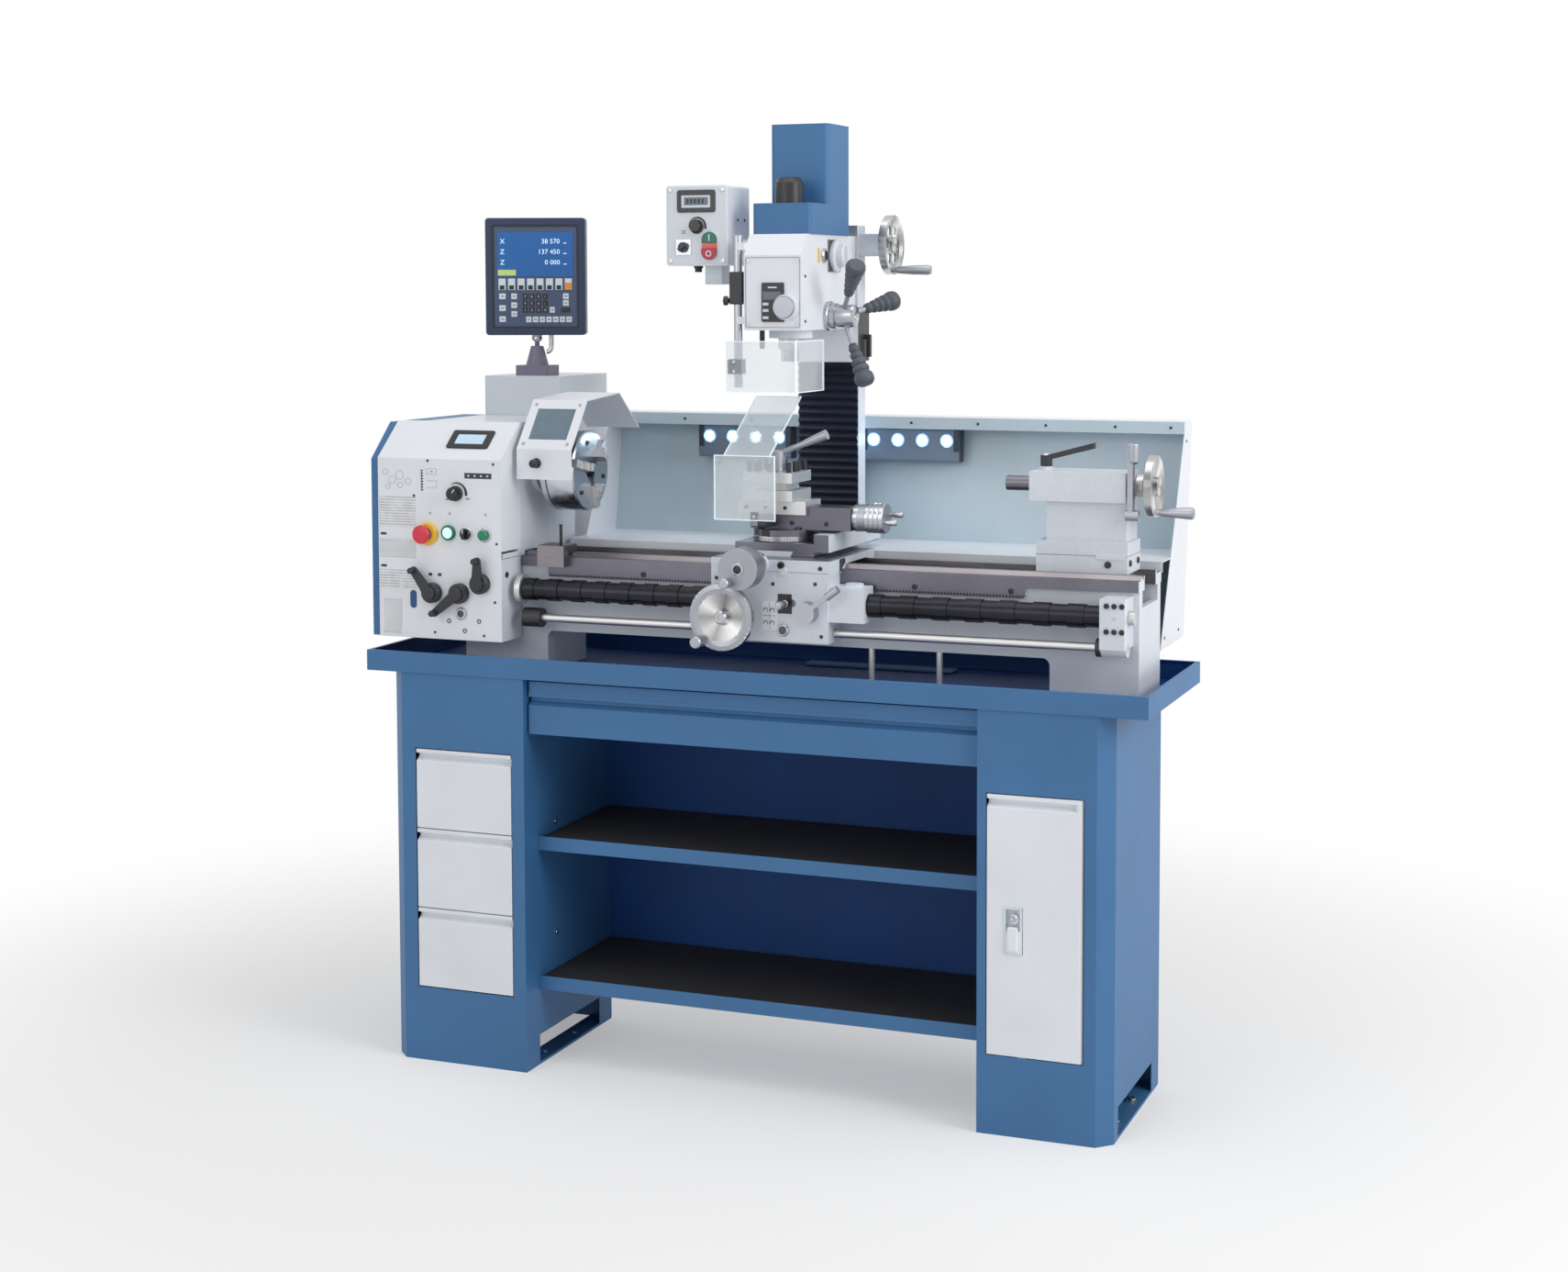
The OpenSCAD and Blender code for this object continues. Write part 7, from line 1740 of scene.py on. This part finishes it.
        square = outline("selector_square", rounded_outline(-162, 1601, -130, 1632, 2, y - 3.2),
                         (0, 2, 0), 0.6)
        fit.piece(square, BRIGHT, "mill_head")
        turn = turned("mill_selector", (-146, y - 3, 1616.5), out,
                      [(0, 0), (10, 0), (10, 4), (8.6, 5.6), (0, 5.6)], 36)
        grip = block("grip", (-150, y - 13, 1607), (-142, y - 8, 1626), 1.6, 3)
        turn_about(grip, (-146, y, 1616.5), Axis.Y, 55)
        fit.piece(join("mill_selector", [turn, grip]), GLOSS_BLACK, "mill_head")
        fit.piece(block("box_bracket", (-120, -20, 1545), (-84, 20, 1583), 1.6), PALE, "mill_head")
        gland = turned("cable_gland", (-140, -5, 1581), -UP, [(0, 0), (9, 0), (9, 4), (7, 5), (7, 12),
                                                              (0, 12)], 32)
        fit.piece(gland, BLACK, "mill_head")

    def pills(self) -> None:
        """Fit the green start pad, the lit band and the red stop button in their pill-shaped rim."""
        fit, y, x = self.fit, self.face, -91.0
        turns = [math.pi * i / 20 for i in range(21)]

        def half(name: str, r: float, centre: float, edge: float, front: float, deep: float) -> Shape:
            """Model one end of the pill, from its straight edge to its rounded end."""
            up = 1 if centre > edge else -1
            arc = [(x + r * math.cos(a), y - front, centre + up * r * math.sin(a)) for a in turns]
            return outline(name, [(x + r, y - front, edge), *arc, (x - r, y - front, edge)],
                           (0, deep, 0), 0.8)

        rim = join("pill_rim", [half("rim", 18, 1630, 1619, 3.8, 2.4), half("rim", 18, 1608, 1619, 3.8, 2.4)])
        fit.piece(rim, WHITE, "mill_head")
        fit.piece(half("mill_start_pad", 16, 1630, 1624.6, 6.4, 3), DARK_GREEN, "mill_head")
        fit.piece(block("pill_band", (x - 16, y - 5.6, 1613.8), (x + 16, y - 3.4, 1624.2), 0.6), CORAL,
                  "mill_head")
        fit.piece(half("mill_stop_pad", 16, 1608, 1613.4, 8.8, 5), DARK_RED, "mill_stop", "mill_stop")
        fit.piece(block("start_mark", (x - 1.2, y - 6.7, 1628), (x + 1.2, y - 6.2, 1641), 0.1), KEY,
                  "mill_head")
        ring = turned("stop_mark", (x, y - 8.7, 1604), FRONT, [(4, 0), (4, 0.5), (6, 0.5), (6, 0)], 32)
        fit.piece(ring, KEY, "mill_stop")


# Light, floor and camera


@dataclass
class Studio:
    """Plain pale studio with soft light and the camera.

    Attributes:
        eye: place of the camera in metres.
        yaw: turn to the left from straight along Y, in degrees.
        pitch: angle above level, in degrees.
        roll: turn about the line of sight, in degrees.
        lens: focal length in millimetres.
        sensor: width of the sensor in millimetres.
        shift: shift of the picture as a share of its width.
        ambient: strength of the world's light on the object.
        floor_radius: radius of the floor in metres.
        fade: distances from the middle between which the floor turns white, in metres.
        near_white: share of white in the floor nearer than that.
        lights: name, place, aim, size in metres and watts of each light panel.
    """

    eye: Point = (1.7429, -4.2639, 1.5378)
    yaw: float = 21.414
    pitch: float = -3.890
    roll: float = -0.140
    lens: float = 54.67
    sensor: float = 36.0
    shift: tuple[float, float] = (-0.0106, -0.1186)
    ambient: float = 0.46
    floor_radius: float = 40.0
    fade: tuple[float, float] = (1.0, 2.6)
    near_white: float = 0.35
    lights: tuple[tuple[str, Point, Point, tuple[float, float], float], ...] = (
        ("key", (4.4, -1.0, 3.0), (0.2, 0.0, 0.9), (2.6, 2.6), 108.0),
        ("fill", (-1.6, -4.4, 2.6), (0.0, 0.0, 1.0), (3.0, 2.4), 34.0),
        ("top", (0.2, -0.4, 4.2), (0.1, 0.0, 0.9), (3.2, 2.4), 34.0))

    def camera(self) -> None:
        """Place the camera."""
        data = bpy.data.cameras.new("camera")
        data.lens, data.sensor_width = self.lens, self.sensor
        data.sensor_fit = "HORIZONTAL"
        data.shift_x, data.shift_y = self.shift
        data.clip_end = 200.0
        item = bpy.data.objects.new("camera", data)
        turn = (Matrix.Rotation(math.radians(self.yaw), 4, "Z")
                @ Matrix.Rotation(math.radians(90 + self.pitch), 4, "X")
                @ Matrix.Rotation(math.radians(self.roll), 4, "Z"))
        item.matrix_world = Matrix.Translation(Vector(self.eye)) @ turn
        bpy.context.scene.collection.objects.link(item)
        bpy.context.scene.camera = item

    def panel(self, name: str, at: Point, aim: Point, size: tuple[float, float], power: float) -> None:
        """Hang a soft light panel.

        Args:
            name: name of the light.
            at: place in metres.
            aim: point that it faces.
            size: width and height in metres.
            power: watts.
        """
        data = bpy.data.lights.new(name, "AREA")
        data.shape = "RECTANGLE"
        data.size, data.size_y = size
        data.energy = power
        item = bpy.data.objects.new(name, data)
        item.location = at
        item.rotation_euler = (Vector(aim) - Vector(at)).to_track_quat("-Z", "Y").to_euler()
        bpy.context.scene.collection.objects.link(item)

    @staticmethod
    def seen(tree: bpy.types.NodeTree) -> bpy.types.NodeSocket:
        """Return a value that is 1 for camera, glossy and transmission rays and 0 for all others."""
        path = tree.nodes.new("ShaderNodeLightPath")
        value = path.outputs["Is Camera Ray"]
        for name in ("Is Glossy Ray", "Is Transmission Ray"):
            most = tree.nodes.new("ShaderNodeMath")
            most.operation = "MAXIMUM"
            tree.links.new(value, most.inputs[0])
            tree.links.new(path.outputs[name], most.inputs[1])
            value = most.outputs[0]
        return value

    def floor(self) -> None:
        """Lay the pale floor, which melts into the white background away from the object."""
        clear_selection()
        bpy.ops.mesh.primitive_circle_add(vertices=96, radius=self.floor_radius, fill_type="NGON",
                                          location=(0, 0, 0))
        item = bpy.context.object
        item.name = "studio_floor"
        sketch = NodeSketch("pale_floor")
        sketch.shader.inputs["Base Color"].default_value = (0.92, 0.92, 0.92, 1.0)
        sketch.set(roughness=0.9, specular_ior_level=0.0)
        tree = sketch.tree
        white = sketch.add("ShaderNodeEmission")
        white.inputs["Strength"].default_value = 1.0
        far = sketch.add("ShaderNodeVectorMath", operation="LENGTH")
        tree.links.new(sketch.place.outputs["Object"], far.inputs[0])
        fade = sketch.add("ShaderNodeMapRange", interpolation_type="SMOOTHSTEP")
        fade.inputs["From Min"].default_value, fade.inputs["From Max"].default_value = self.fade
        fade.inputs["To Min"].default_value = self.near_white
        tree.links.new(far.outputs["Value"], fade.inputs["Value"])
        share = sketch.add("ShaderNodeMath", operation="MULTIPLY")
        tree.links.new(fade.outputs["Result"], share.inputs[0])
        tree.links.new(self.seen(tree), share.inputs[1])
        mix = sketch.add("ShaderNodeMixShader")
        tree.links.new(share.outputs[0], mix.inputs[0])
        tree.links.new(sketch.shader.outputs[0], mix.inputs[1])
        tree.links.new(white.outputs[0], mix.inputs[2])
        output = next(n for n in tree.nodes if n.bl_idname == "ShaderNodeOutputMaterial")
        tree.links.new(mix.outputs[0], output.inputs["Surface"])
        item.data.materials.append(sketch.material)

    def world(self) -> None:
        """Light everything evenly and show white behind the object."""
        world = bpy.data.worlds.new("studio")
        world.use_nodes = True
        tree = world.node_tree
        back = tree.nodes["Background"]
        back.inputs["Color"].default_value = (1.0, 1.0, 1.0, 1.0)
        level = tree.nodes.new("ShaderNodeMapRange")
        level.inputs["To Min"].default_value = self.ambient
        level.inputs["To Max"].default_value = 1.0
        tree.links.new(self.seen(tree), level.inputs["Value"])
        tree.links.new(level.outputs["Result"], back.inputs["Strength"])
        bpy.context.scene.world = world

    def build(self) -> None:
        """Set up the camera, the floor, the world and the lights."""
        self.camera()
        self.floor()
        self.world()
        for light in self.lights:
            self.panel(*light)
        bpy.context.scene.view_settings.view_transform = "Standard"


def main() -> None:
    """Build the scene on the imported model."""
    logging.basicConfig(level=logging.INFO, format="%(message)s")
    clear_selection()
    Studio().build()
    fit = Fittings(frame)
    for part in (Stand(fit), Bed(fit), Headstock(fit), Readout(fit), ChuckAndGuard(fit), Carriage(fit),
                 Tailstock(fit), SplashGuard(fit), Mill(fit)):
        before = fit.count
        part.build()
        log.info("%s: %d pieces", type(part).__name__, fit.count - before)


if __name__ == "__main__":
    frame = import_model()
    main()
